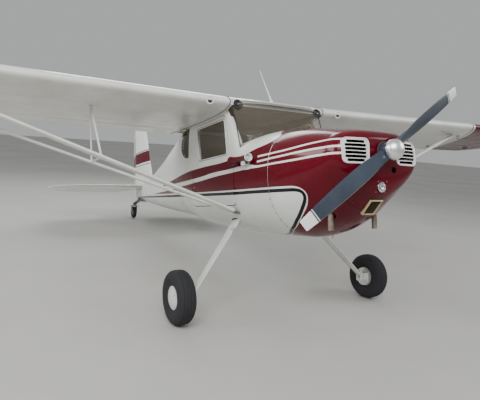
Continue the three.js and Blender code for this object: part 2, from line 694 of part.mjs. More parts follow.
// Struts
const STRUT_SIZES = { front: { chord: 84, thickness: 34 }, rear: { chord: 52, thickness: 24 }, past: 55 };
function liftStrut(side, which, neighbours) {
  const foot = strutFeet(side)[which];
  const top = strutTops(side)[which];
  const past = top.clone().sub(foot).setLength(STRUT_SIZES.past);
  const { chord, thickness } = STRUT_SIZES[which];
  const solid = streamlined(foot.clone().sub(past), top.clone().add(past), chord, thickness);
  const ways = [DOWN, UP, [0, side, 0], [-1, 0, 0]];
  return neighbours.reduce((left, next) => largest(clearOf(left, next, ...ways)), solid);
}

// The biggest of the bodies that a cut leaves
function largest(solid) {
  return solid.decompose().reduce((best, next) => (next.volume() > best.volume() ? next : best));
}

const JURY = { share: 0.485, radius: 9, at: 0.3, height: -0.03, barRadius: 12, barDrop: 22, barBack: 40 };
function juryStruts(side, front, rear, wingSolid) {
  const feet = strutFeet(side);
  const tops = strutTops(side);
  const onFront = feet.front.clone().lerp(tops.front, JURY.share);
  const onRear = feet.rear.clone().lerp(tops.rear, JURY.share);
  const wingSpot = wingPoint(JURY.at, JURY.height, Math.abs(onFront.y) + 10);
  wingSpot.y *= side;
  const barFront = wingSpot.clone().add(vec(14, 0, -JURY.barDrop));
  const barBack = wingSpot.clone().add(vec(-JURY.barBack, 0, -JURY.barDrop));
  const upright = rod(onFront, wingSpot, JURY.radius, 10);
  const slanted = rod(onRear, wingSpot.clone().lerp(barBack, 0.6), JURY.radius, 10);
  const spreader = rod(onFront, onRear, JURY.radius, 10);
  const solid = join(upright, slanted, spreader, rod(barBack, barFront, JURY.barRadius, 10));
  return [front, rear, wingSolid].reduce((left, next) => largest(clearOf(left, next, UP, DOWN)), solid);
}

// Landing gear
const AXLE_RADIUS = 17;
const LEG = { topX: -150, topY: 405, topZ: 628, footX: 0, footY: 922, footZ: 34 };
// Leaf of each leg by share of its length: width and thickness
const LEAF = [
  { at: -0.16, width: 118, thickness: 22 }, { at: 0, width: 112, thickness: 22 },
  { at: 0.5, width: 84, thickness: 19 }, { at: 1, width: 62, thickness: 17 },
];
const AXLE_PAD = { innerY: 930, outerY: 946, half: 42, top: 60 };
const AXLE_PAST_WHEEL = 50;
const STEP_PEG = { at: 0.16, forward: 95, out: 20, up: 10, radius: 8 };
function gearLeg(side, skin) {
  const along = vec(LEG.footX - LEG.topX, LEG.footY - LEG.topY, LEG.footZ - LEG.topZ).normalize();
  const wide = vec(1, 0, 0).addScaledVector(along, -along.x).normalize();
  const thick = along.clone().cross(wide);
  const top = vec(LEG.topX, LEG.topY, LEG.topZ);
  const foot = vec(LEG.footX, LEG.footY, LEG.footZ);
  const leaf = loft(LEAF.map(({ at, width, thickness }) => {
    const centre = top.clone().lerp(foot, at);
    return [[1, 1], [1, -1], [-1, -1], [-1, 1]].map(([a, b]) => centre.clone()
      .addScaledVector(wide, (a * width) / 2).addScaledVector(thick, (b * thickness) / 2));
  }));
  const { innerY, outerY, half } = AXLE_PAD;
  const pad = block(vec(-half, innerY, -half), vec(half, outerY, AXLE_PAD.top));
  const axle = rod(vec(0, innerY, 0), vec(0, WHEEL.track / 2 + AXLE_PAST_WHEEL, 0), AXLE_RADIUS, 16);
  const pegRoot = top.clone().lerp(foot, STEP_PEG.at);
  const pegEnd = pegRoot.clone().add(vec(STEP_PEG.forward, STEP_PEG.out, STEP_PEG.up));
  const step = rod(pegRoot, pegEnd, STEP_PEG.radius, 8);
  return largest(clearOf(sided(join(leaf, pad, axle, step), side), skin, DOWN, [0, side, 0]));
}

const CALIPER = { rearX: 12, frontX: 96, innerY: 947, outerY: 974, low: -34, high: 40 };
const BRACKET = { half: 40, outerY: 956, tall: 30 };
function brake(side) {
  const { rearX, frontX, low, high } = CALIPER;
  const caliper = block(vec(rearX, CALIPER.innerY, low), vec(frontX, CALIPER.outerY, high));
  const bracketLow = vec(-BRACKET.half, AXLE_PAD.outerY + SEAT_GAP, -BRACKET.tall);
  const bracket = block(bracketLow, vec(BRACKET.half, BRACKET.outerY, BRACKET.tall));
  const hole = rod(vec(0, AXLE_PAD.innerY, 0), vec(0, WHEEL.track / 2, 0), bored(AXLE_RADIUS, 16), 16);
  return sided(join(caliper, bracket).subtract(hole), side);
}

// Half outline of a tyre: the bead at the bore, then round from one wall over the tread to the other.
// An odd number of steps leaves the tread flat between its two middle points.
const BEAD = { wall: 34, share: 0.72 };
function wheelBand(radius, half, shoulder, bore, steps) {
  const bead = half * BEAD.share;
  const rise = (radius - bore - BEAD.wall) / Math.cos(Math.PI / (2 * steps)) ** shoulder;
  const points = [[bore, -bead]];
  for (let i = 0; i <= steps; i += 1) {
    const angle = -Math.PI / 2 + (Math.PI * i) / steps;
    points.push([bore + BEAD.wall + rise * Math.cos(angle) ** shoulder, half * Math.sin(angle)]);
  }
  points.push([bore, bead], [bore, -bead]);
  return points;
}

// A wheel's outline is cut so that one flat facet faces the floor as the aircraft stands
const facetTurn = (facets) => PARKED_PITCH + Math.PI / facets;

function tyre(side) {
  const radius = WHEEL.radius / Math.cos(Math.PI / WHEEL.facets);
  const band = wheelBand(radius, WHEEL.width / 2, 0.42, bored(WHEEL.rimRadius, WHEEL.facets), 7);
  const lathe = new THREE.LatheGeometry(band.map((p) => new THREE.Vector2(...p)), WHEEL.facets);
  lathe.rotateY(facetTurn(WHEEL.facets));
  return solidOf(lathe.translate(0, (side * WHEEL.track) / 2, 0));
}

const HUB = { half: 52, chamfer: 20, lip: 6, capFlat: 48, capRise: 24, shoulderRise: 16 };
function hub(side) {
  const { half, chamfer, lip, capFlat, capRise, shoulderRise } = HUB;
  const bore = bored(AXLE_RADIUS, 24);
  const profile = [[bore, -half], [WHEEL.rimRadius - chamfer, -half], [WHEEL.rimRadius, -half + lip],
    [WHEEL.rimRadius, half], [WHEEL.capRadius - chamfer, half + shoulderRise], [capFlat, half + capRise],
    [0, half + capRise], [0, half + 1], [bore, half + 1], [bore, -half]];
  const lathe = new THREE.LatheGeometry(profile.map((p) => new THREE.Vector2(...p)), 24);
  return sided(solidOf(lathe.translate(0, WHEEL.track / 2, 0)), side);
}

// Tail wheel
// The leaf spring bears on the tail end at its front and through a saddle block at its bend
const SPRING = [
  { x: -3900, z: 940, half: 46, thickness: 22 },
  { x: -4250, z: 968, half: 42, thickness: 20 },
  { x: -4560, z: 905, half: 36, thickness: 18 },
];
const SADDLE = { frontX: -4225, rearX: -4285, half: 32, low: 965, high: 1060 };
const PIVOT = { x: -4566, low: 890, high: 938, radius: 30 };
function tailSpring(tailcone) {
  const corners = [[1, 0.5], [1, -0.5], [-1, -0.5], [-1, 0.5]];
  const rings = SPRING.map(({ x, z, half, thickness }) => (
    corners.map(([out, up]) => vec(x, out * half, z + up * thickness))));
  const saddleLow = vec(SADDLE.rearX, -SADDLE.half, SADDLE.low);
  const saddle = block(saddleLow, vec(SADDLE.frontX, SADDLE.half, SADDLE.high));
  const head = rod(vec(PIVOT.x, 0, PIVOT.low + SEAT_GAP), vec(PIVOT.x, 0, PIVOT.high), PIVOT.radius, 16);
  return largest(clearOf(join(loft(rings), saddle, head), tailcone, DOWN, ...OUT_BOTH));
}

const FORK = {
  half: 46, arm: 12, yokeLow: 879, yokeFrontX: -4536, yokeRearX: -4640,
  side: [[-4640, 884], [-4560, 884], [-4606, 752], [-4646, 752]],
};
function tailFork() {
  const yokeLow = vec(FORK.yokeRearX, -FORK.half, FORK.yokeLow);
  const yoke = block(yokeLow, vec(FORK.yokeFrontX, FORK.half, PIVOT.low));
  const arm = sidePrism(FORK.side, FORK.half - FORK.arm, FORK.half);
  const inner = FORK.half - 2;
  const axle = rod(vec(TAIL_WHEEL.x, -inner, TAIL_WHEEL.z), vec(TAIL_WHEEL.x, inner, TAIL_WHEEL.z),
    TAIL_WHEEL.axleRadius, 12);
  return join(yoke, arm, mirrored(arm), axle);
}

function tailTyre() {
  const radius = TAIL_WHEEL.radius / Math.cos(Math.PI / TAIL_WHEEL.facets);
  const bore = bored(TAIL_WHEEL.hubRadius, TAIL_WHEEL.facets);
  const band = wheelBand(radius, TAIL_WHEEL.width / 2, 0.5, bore, 5);
  const lathe = new THREE.LatheGeometry(band.map((p) => new THREE.Vector2(...p)), TAIL_WHEEL.facets);
  lathe.rotateY(facetTurn(TAIL_WHEEL.facets));
  return solidOf(lathe.translate(TAIL_WHEEL.x, 0, TAIL_WHEEL.z));
}

function tailHub() {
  const bore = bored(TAIL_WHEEL.axleRadius, TAIL_WHEEL.facets);
  const rim = TAIL_WHEEL.hubRadius;
  const half = TAIL_WHEEL.width / 2 + 1;
  const edge = half - 7;
  const profile = [[bore, -half], [rim, -edge], [rim, edge], [bore, half], [bore, -half]];
  const lathe = new THREE.LatheGeometry(profile.map((p) => new THREE.Vector2(...p)), TAIL_WHEEL.facets);
  return solidOf(lathe.translate(TAIL_WHEEL.x, 0, TAIL_WHEEL.z));
}

// Tailplane: half outline by span, a straight leading edge and rounded tips
function tailplaneEdges(y) {
  const share = Math.min(y / TAILPLANE.tipY, 1);
  const round = share < 0.62 ? 0 : ((share - 0.62) / 0.38) ** 2.4;
  return {
    leX: TAILPLANE.leX - 60 * share - 330 * round,
    teX: TAILPLANE.teX + 40 * share + 300 * round,
    half: (TAILPLANE.thickness / 2) * (1 - 0.45 * share - 0.25 * round),
  };
}

function flatFoil(leX, teX, half, place) {
  const outline = foilOutline(1, 0, 0.4, 9);
  const most = foilHeight(0.3, 1);
  return outline.map(([s, height]) => place(THREE.MathUtils.lerp(leX, teX, s), (height / most) * half));
}

const TAIL_SPANS = [0, 0.3, 0.6, 0.72, 0.82, 0.9, 0.96, 1];
function tailplaneHalf(side, fromY) {
  return loft(TAIL_SPANS.map((share) => {
    const y = fromY + (TAILPLANE.tipY - fromY) * share;
    const { leX, teX, half } = tailplaneEdges(y);
    return flatFoil(leX, teX, half, (x, z) => vec(x, side * y, TAILPLANE.z + z));
  }));
}

function elevatorCove(radius) {
  const { hingeX, z } = TAILPLANE;
  const half = TAILPLANE.cutHalf;
  const behind = block(vec(TAILPLANE.teX - REACH, -half, z - REACH), vec(hingeX, half, z + REACH));
  return join(behind, rod(vec(hingeX, -half, z), vec(hingeX, half, z), radius, 20));
}

const tailplane = () => join(tailplaneHalf(PORT, 0), tailplaneHalf(STARBOARD, 0));
const TAIL_NOSE = 28;
const STABILISER_ROOT_Y = 20;

function stabiliserHalf(side, body) {
  const half = tailplaneHalf(side, STABILISER_ROOT_Y).subtract(elevatorCove(TAIL_NOSE + MOVING_GAP));
  return largest(clearOf(half, body, [0, side, 0]));
}

// The two elevator halves share a torque tube through the tail end, and leave room for the rudder
const TORQUE_TUBE = { radius: 14, half: 100, facets: 20 };
const RUDDER_ROOM = { rootHalf: 84, straight: 40, endX: -5000, endHalf: 360 };
function elevator() {
  const { hingeX, z } = TAILPLANE;
  const { rootHalf, straight, endX, endHalf } = RUDDER_ROOM;
  const outline = [[hingeX + REACH, rootHalf], [hingeX - straight, rootHalf], [endX, endHalf]];
  const room = [...outline, ...outline.slice().reverse().map(([x, y]) => [x, -y])];
  const notch = loft([z - REACH, z + REACH].map((level) => room.map(([x, y]) => vec(x, y, level))));
  const { radius, half, facets } = TORQUE_TUBE;
  const tube = rod(vec(hingeX, -half, z), vec(hingeX, half, z), radius, facets);
  const level = tailplane().intersect(elevatorCove(TAIL_NOSE)).subtract(notch).add(tube);
  return level.translate([-hingeX, 0, -z]).rotate([0, -ELEVATOR_DROOP, 0]).translate([hingeX, 0, z]);
}

// Fin and rudder: leading and trailing edge by height
function finEdges(z) {
  const share = (z - FIN.baseZ) / (FIN.topZ - FIN.baseZ);
  const up = THREE.MathUtils.clamp(share, 0, 1);
  const round = up < 0.7 ? 0 : ((up - 0.7) / 0.3) ** 2.3;
  const down = share < 0 ? (-share / 0.16) ** 2 : 0;
  return {
    leX: -3560 - 400 * up - 230 * round,
    teX: -5005 - 70 * Math.sin(Math.PI * up) + 60 * up + 400 * round + 130 * down,
    half: (FIN.thickness / 2) * (1 - 0.4 * up - 0.25 * round),
  };
}

const FIN_LEVELS = [FIN.baseZ, 1500, 1800, 2020, 2130, 2220, 2290, 2340, FIN.topZ];
function finLoft(fromZ) {
  return loft([fromZ, ...FIN_LEVELS.filter((z) => z > fromZ)].map((z) => {
    const { leX, teX, half } = finEdges(z);
    return flatFoil(leX, teX, half, (x, y) => vec(x, y, z));
  }));
}

function rudderCove(radius) {
  const low = FIN.rudderBaseZ - REACH;
  const high = FIN.topZ + REACH;
  const behind = block(vec(FIN.rearX, -REACH, low), vec(FIN.hingeX, REACH, high));
  return join(behind, rod(vec(FIN.hingeX, 0, low), vec(FIN.hingeX, 0, high), radius, 20));
}

// Two hinge lugs on the fin reach into slots in the rudder's nose, each round an upright pin of the rudder
const RUDDER_HINGE = { levels: [1480, 2020], half: 6, lug: 8, boss: 11, pin: 5, sides: 12, root: 46 };
function rudderLugs() {
  const { levels, half, lug, boss, pin, sides, root } = RUDDER_HINGE;
  return join(...levels.map((z) => {
    const [low, high] = [vec(FIN.hingeX, 0, z - half), vec(FIN.hingeX, 0, z + half)];
    const arm = block(vec(FIN.hingeX, -lug, z - half), vec(FIN.hingeX + root, lug, z + half));
    return join(arm, rod(low, high, boss, sides)).subtract(rod(low, high, bored(pin, sides), sides));
  }));
}

function rudderSlots() {
  const { levels, half, boss, sides } = RUDDER_HINGE;
  const tall = half + MOVING_GAP;
  return join(...levels.map((z) => join(
    block(vec(FIN.hingeX, -REACH, z - tall), vec(FIN.hingeX + REACH, REACH, z + tall)),
    rod(vec(FIN.hingeX, 0, z - tall), vec(FIN.hingeX, 0, z + tall), boss + MOVING_GAP, sides),
  )));
}

function rudderPins() {
  const { levels, half, pin, sides } = RUDDER_HINGE;
  const tall = half + MOVING_GAP + 2;
  return levels.map((z) => (
    rod(vec(FIN.hingeX, 0, z - tall), vec(FIN.hingeX, 0, z + tall), pin, sides)));
}

function fin(tailcone) {
  const blank = finLoft(FIN.baseZ - FIN.sunk);
  const upper = blank.subtract(rudderCove(TAIL_NOSE + MOVING_GAP)).add(rudderLugs());
  return largest(clearOf(upper, tailcone, UP, FORWARD, [-1, 0, 0], ...OUT_BOTH));
}

function rudder() {
  const whole = finLoft(FIN.rudderBaseZ).intersect(rudderCove(TAIL_NOSE));
  const straight = join(whole.subtract(rudderSlots()), ...rudderPins());
  const onAxis = straight.translate([-FIN.hingeX, 0, 0]);
  return onAxis.rotate([0, 0, -RUDDER_TO_PORT]).translate([FIN.hingeX, 0, 0]);
}

function tailcone() {
  const end = TAILCONE_SECTIONS[TAILCONE_SECTIONS.length - 1];
  const sections = sectionsBetween(TAILCONE_SECTIONS, CABIN_END_X - SEAT_GAP, end.x);
  const { hingeX, z } = TAILPLANE;
  const { radius, facets } = TORQUE_TUBE;
  const tubeHole = rod(vec(hingeX, -REACH, z), vec(hingeX, REACH, z), bored(radius, facets), facets);
  return bodyLoft(sections).subtract(tubeHole).subtract(rudderCove(TAIL_NOSE + MOVING_GAP));
}

// Cabin fittings
// Bench seat: side outlines as x and z, from the rear bottom corner round by the front
const SEAT = {
  half: 430, cushionRadius: 45, backRadius: 40,
  cushion: [[-840, 705], [-330, 735], [-330, 865], [-840, 835]],
  back: [[-850, 845], [-985, 1330], [-1085, 1330], [-950, 845]],
};
// The seat's stand is a box under the cushion, with a plate on a bent foot that rises behind the seat back
const STAND = { frontX: -380, rearX: -820, half: 330, low: 450, plate: 14, plateFrom: -0.12, plateTo: 0.74 };
const STAND_FOOT = { low: 600, high: 690, lap: 2, topBack: 30, lowBack: 50 };

function seatCushion() {
  return sidePrism(roundedOutline(SEAT.cushion, SEAT.cushionRadius), -SEAT.half, SEAT.half);
}

function seatBack() {
  return sidePrism(roundedOutline(SEAT.back, SEAT.backRadius), -SEAT.half, SEAT.half);
}

function seatBase() {
  const [rear, front] = SEAT.cushion;
  const topZ = (x) => THREE.MathUtils.mapLinear(x, rear[0], front[0], rear[1], front[1]) - SEAT_GAP;
  const { frontX, rearX, half, low, plate } = STAND;
  const boxTop = [[frontX, topZ(frontX)], [rearX, topZ(rearX)]];
  const box = sidePrism([[rearX, low], [frontX, low], ...boxTop], -half, half);
  const backTop = new THREE.Vector2(...SEAT.back[2]);
  const backFoot = new THREE.Vector2(...SEAT.back[3]);
  const along = backTop.clone().sub(backFoot).normalize();
  const behind = new THREE.Vector2(-along.y, along.x);
  const corner = (share, out) => (
    backFoot.clone().lerp(backTop, share).addScaledVector(behind, out).toArray());
  const { plateFrom, plateTo } = STAND;
  const upright = [corner(plateFrom, SEAT_GAP), corner(plateTo, SEAT_GAP),
    corner(plateTo, plate), corner(plateFrom, plate)];
  const { lap, topBack, lowBack } = STAND_FOOT;
  const foot = [[rearX + lap, STAND_FOOT.low], [rearX + lap, STAND_FOOT.high],
    [rearX - topBack, STAND_FOOT.high], upright[0], upright[3], [rearX - lowBack, STAND_FOOT.low]];
  const frame = join(sidePrism(upright, -half, half), sidePrism(foot, -half, half));
  return join(box, frame).intersect(bodyLoft(CABIN_SECTIONS, SHELL + SEAT_GAP));
}

const PANEL = { x: 118, low: 985, high: 1262, thickness: 22, shadeHalf: 400, shadeBack: 30, shadeFront: 32 };
const YOKE = { y: 215, shaftZ: 1080, barZ: 1088, back: 228, half: 105, hornTop: 1200, radius: 13, shaft: 11 };

function yoke(side) {
  const y = side * YOKE.y;
  const barX = PANEL.x - YOKE.back;
  const shaft = rod(vec(PANEL.x + 5, y, YOKE.shaftZ), vec(barX, y, YOKE.barZ), YOKE.shaft, 12);
  const bar = rod(vec(barX, y - YOKE.half, YOKE.barZ), vec(barX, y + YOKE.half, YOKE.barZ), YOKE.radius, 10);
  const horns = [-YOKE.half, YOKE.half].map((dy) => (
    rod(vec(barX, y + dy, YOKE.shaftZ), vec(barX + 6, y + 1.1 * dy, YOKE.hornTop), YOKE.radius, 10)));
  return join(shaft, bar, ...horns);
}

function instrumentPanel() {
  const { x, low, high, thickness, shadeHalf, shadeBack, shadeFront } = PANEL;
  const wide = block(vec(x, -WING.rootY, low), vec(x + thickness, WING.rootY, high));
  const plate = wide.intersect(bodyLoft(CABIN_SECTIONS, SHELL + SEAT_GAP));
  const shade = block(vec(x - shadeBack, -shadeHalf, high - 8), vec(x + shadeFront, shadeHalf, high + 4));
  return join(plate, shade, yoke(STARBOARD), yoke(PORT));
}

// Venturi on the starboard side below the windshield, and the whip aerial on the roof
const VENTURI = {
  frontX: 325, rearX: 40, y: -560, z: 1128, throat: 17, mouth: 31, tail: 28, cone: 60, boreDepth: 40, lip: 4,
};
const VENTURI_BRACKET = { rearX: 205, frontX: 262, innerY: -470, below: 62, under: 6 };
function venturi(skin) {
  const { frontX, rearX, y, z, throat, cone, boreDepth, lip } = VENTURI;
  const at = (x) => vec(x, y, z);
  const mouth = rod(at(frontX - cone), at(frontX), throat, 16, VENTURI.mouth);
  const middle = rod(at(frontX - cone), at(rearX + cone), throat, 16);
  const tail = rod(at(rearX + cone), at(rearX), throat, 16, VENTURI.tail);
  const { below, under } = VENTURI_BRACKET;
  const low = vec(VENTURI_BRACKET.rearX, y, z - below);
  const bracket = block(low, vec(VENTURI_BRACKET.frontX, VENTURI_BRACKET.innerY, z - under));
  const bore = rod(at(frontX - boreDepth), at(frontX), throat / 2, 16, VENTURI.mouth - lip);
  const solid = join(mouth, middle, tail, bracket).subtract(bore);
  return largest(clearOf(solid, skin, [0, -1, 0]));
}

const ANTENNA = { footX: -141, footZ: 1735, tipX: -336, tipZ: 2103, radius: 9, tipRadius: 2.5 };
const ANTENNA_BASE = { low: 1720, high: 1762, radius: 22, topRadius: 14 };
function antenna(cabinSolid) {
  const { footX, footZ, tipX, tipZ, radius, tipRadius } = ANTENNA;
  const mast = rod(vec(footX, 0, footZ), vec(tipX, 0, tipZ), radius, 10, tipRadius);
  const { low, high } = ANTENNA_BASE;
  const base = rod(vec(footX, 0, low), vec(footX, 0, high), ANTENNA_BASE.radius, 12, ANTENNA_BASE.topRadius);
  return largest(clearOf(join(mast, base), cabinSolid, UP));
}

// Finishes
const paint = (color, roughness, metalness = 0) => () => new THREE.MeshStandardMaterial({
  color, roughness, metalness,
});
const RED = paint(0x7d1226, 0.22);
const WHITE = paint(0xe6e6e2, 0.25);
const GLASS = paint(0xc9d2cf, 0.08);
const ALUMINIUM = paint(0xb9bcbe, 0.35, 0.9);
const STEEL = paint(0x8a8c8f, 0.45, 0.9);
const RUBBER = paint(0x1b1b1c, 0.85);
const BLADE = paint(0x39404a, 0.4, 0.3);
const CAST = paint(0x55585a, 0.6, 0.6);
const VINYL = paint(0x6b5a4a, 0.7);
const BLACK = paint(0x202122, 0.6);

// Assembly
const cabinSolid = cabin();
const tailconeSolid = tailcone();
const cowlSolid = cowling();
const skins = join(cabinSolid, bodyLoft(CABIN_SECTIONS));
const pieces = [];
const add = (name, solid, finish) => pieces.push(meshOf(name, solid, finish()));

add('nose_bowl', noseBowl(), RED);
add('cowling', cowlSolid, RED);
add('engine', engine(), CAST);
add('cabin', cabinSolid, WHITE);
add('tailcone', tailconeSolid, WHITE);
add('windshield', windshield(), GLASS);
add('landing_light', landingLight(), ALUMINIUM);
add('air_filter', filterPrism(0), STEEL);
add('instrument_panel', instrumentPanel(), BLACK);
add('seat_base', seatBase(), BLACK);
add('seat_cushion', seatCushion(), VINYL);
add('seat_back', seatBack(), VINYL);
add('venturi', venturi(skins), RED);
add('antenna', antenna(cabinSolid), WHITE);
add('propeller', propeller(), BLADE);
add('spinner', spinner(), ALUMINIUM);
add('fin', fin(tailconeSolid), WHITE);
add('rudder', rudder(), WHITE);
add('elevator', elevator(), WHITE);
add('tail_spring', tailSpring(tailconeSolid), STEEL);
add('tail_fork', tailFork(), STEEL);
add('tail_tyre', tailTyre(), RUBBER);
add('tail_hub', tailHub(), ALUMINIUM);

for (const [suffix, side] of [['right', STARBOARD], ['left', PORT]]) {
  const wingSolid = wing(side);
  const carriers = [skins, wingSolid];
  const front = liftStrut(side, 'front', carriers);
  const rear = liftStrut(side, 'rear', [...carriers, front]);
  add(`wing_${suffix}`, wingSolid, WHITE);
  add(`flap_${suffix}`, sided(wingSurface(FLAP), side), WHITE);
  add(`aileron_${suffix}`, sided(wingSurface(AILERON), side), RED);
  add(`front_strut_${suffix}`, front, WHITE);
  add(`rear_strut_${suffix}`, rear, WHITE);
  add(`jury_struts_${suffix}`, juryStruts(side, front, rear, wingSolid), WHITE);
  add(`door_${suffix}`, door(side), WHITE);
  add(`door_window_${suffix}`, doorWindow(side), GLASS);
  add(`quarter_window_${suffix}`, quarterWindow(side), GLASS);
  add(`grille_${suffix}`, grille(side), WHITE);
  add(`exhaust_stack_${suffix}`, exhaustStack(side), STEEL);
  add(`gear_leg_${suffix}`, gearLeg(side, skins), ALUMINIUM);
  add(`brake_${suffix}`, brake(side), WHITE);
  add(`tyre_${suffix}`, tyre(side), RUBBER);
  add(`wheel_${suffix}`, hub(side), WHITE);
  add(`stabiliser_${suffix}`, stabiliserHalf(side, tailconeSolid), WHITE);
}

const airframe = new THREE.Group();
airframe.add(...pieces);
airframe.rotation.y = -PARKED_PITCH;
airframe.position.z = WHEEL.radius;

const aircraft = new THREE.Group();
aircraft.add(airframe);
aircraft.updateMatrixWorld(true);
const box = new THREE.Box3().setFromObject(aircraft, true);
airframe.position.x = -(box.min.x + box.max.x) / 2;
aircraft.updateMatrixWorld(true);

export default aircraft;
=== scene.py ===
"""Looks of a light aircraft: a two-seat, high-wing monoplane with a tail wheel.

Every mesh is shaped in level airframe metres, x forward, y to port and z up from the main axle
line, and is turned nose up to its parked stance as it becomes a piece.
"""

import logging
import math
from collections.abc import Callable, Iterable, Sequence
from dataclasses import dataclass
from enum import Enum

import bmesh
import bpy
import numpy as np
from mathutils import Matrix, Vector

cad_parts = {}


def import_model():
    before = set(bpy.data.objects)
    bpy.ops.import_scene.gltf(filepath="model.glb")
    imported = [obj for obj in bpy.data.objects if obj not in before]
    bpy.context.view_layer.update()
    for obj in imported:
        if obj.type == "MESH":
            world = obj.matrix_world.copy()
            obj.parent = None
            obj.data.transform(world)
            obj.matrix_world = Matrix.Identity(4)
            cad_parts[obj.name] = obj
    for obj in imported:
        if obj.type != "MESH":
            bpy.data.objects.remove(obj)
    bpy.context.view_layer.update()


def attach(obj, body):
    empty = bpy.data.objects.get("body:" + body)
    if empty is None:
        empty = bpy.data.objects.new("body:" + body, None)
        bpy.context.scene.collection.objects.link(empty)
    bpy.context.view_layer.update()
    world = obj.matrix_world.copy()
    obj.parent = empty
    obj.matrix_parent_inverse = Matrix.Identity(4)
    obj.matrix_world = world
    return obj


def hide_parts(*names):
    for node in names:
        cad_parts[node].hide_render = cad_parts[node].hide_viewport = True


LOG = logging.getLogger("light_aircraft")
MM = 0.001

# The parked stance: nose-up pitch, axle height, and how far the axle lies ahead of the middle
PITCH = math.radians(10.96)
AXLE_HEIGHT = 0.223
AXLE_AHEAD = 2.0611915
PARKED = Matrix((
    (math.cos(PITCH), 0.0, -math.sin(PITCH), AXLE_AHEAD),
    (0.0, 1.0, 0.0, 0.0),
    (math.sin(PITCH), 0.0, math.cos(PITCH), AXLE_HEIGHT),
    (0.0, 0.0, 0.0, 1.0),
))

Point = Sequence[float]
Tree, Socket = bpy.types.NodeTree, bpy.types.NodeSocket


class Side(Enum):
    """The two sides of the airframe, by the sign of y."""

    STARBOARD = -1
    PORT = 1

    @property
    def suffix(self) -> str:
        """Ending of the names of pieces on this side."""
        return "right" if self is Side.STARBOARD else "left"


class Cut(Enum):
    """What a boolean keeps."""

    AWAY = "DIFFERENCE"
    COMMON = "INTERSECT"
    BOTH = "UNION"


# Shaping

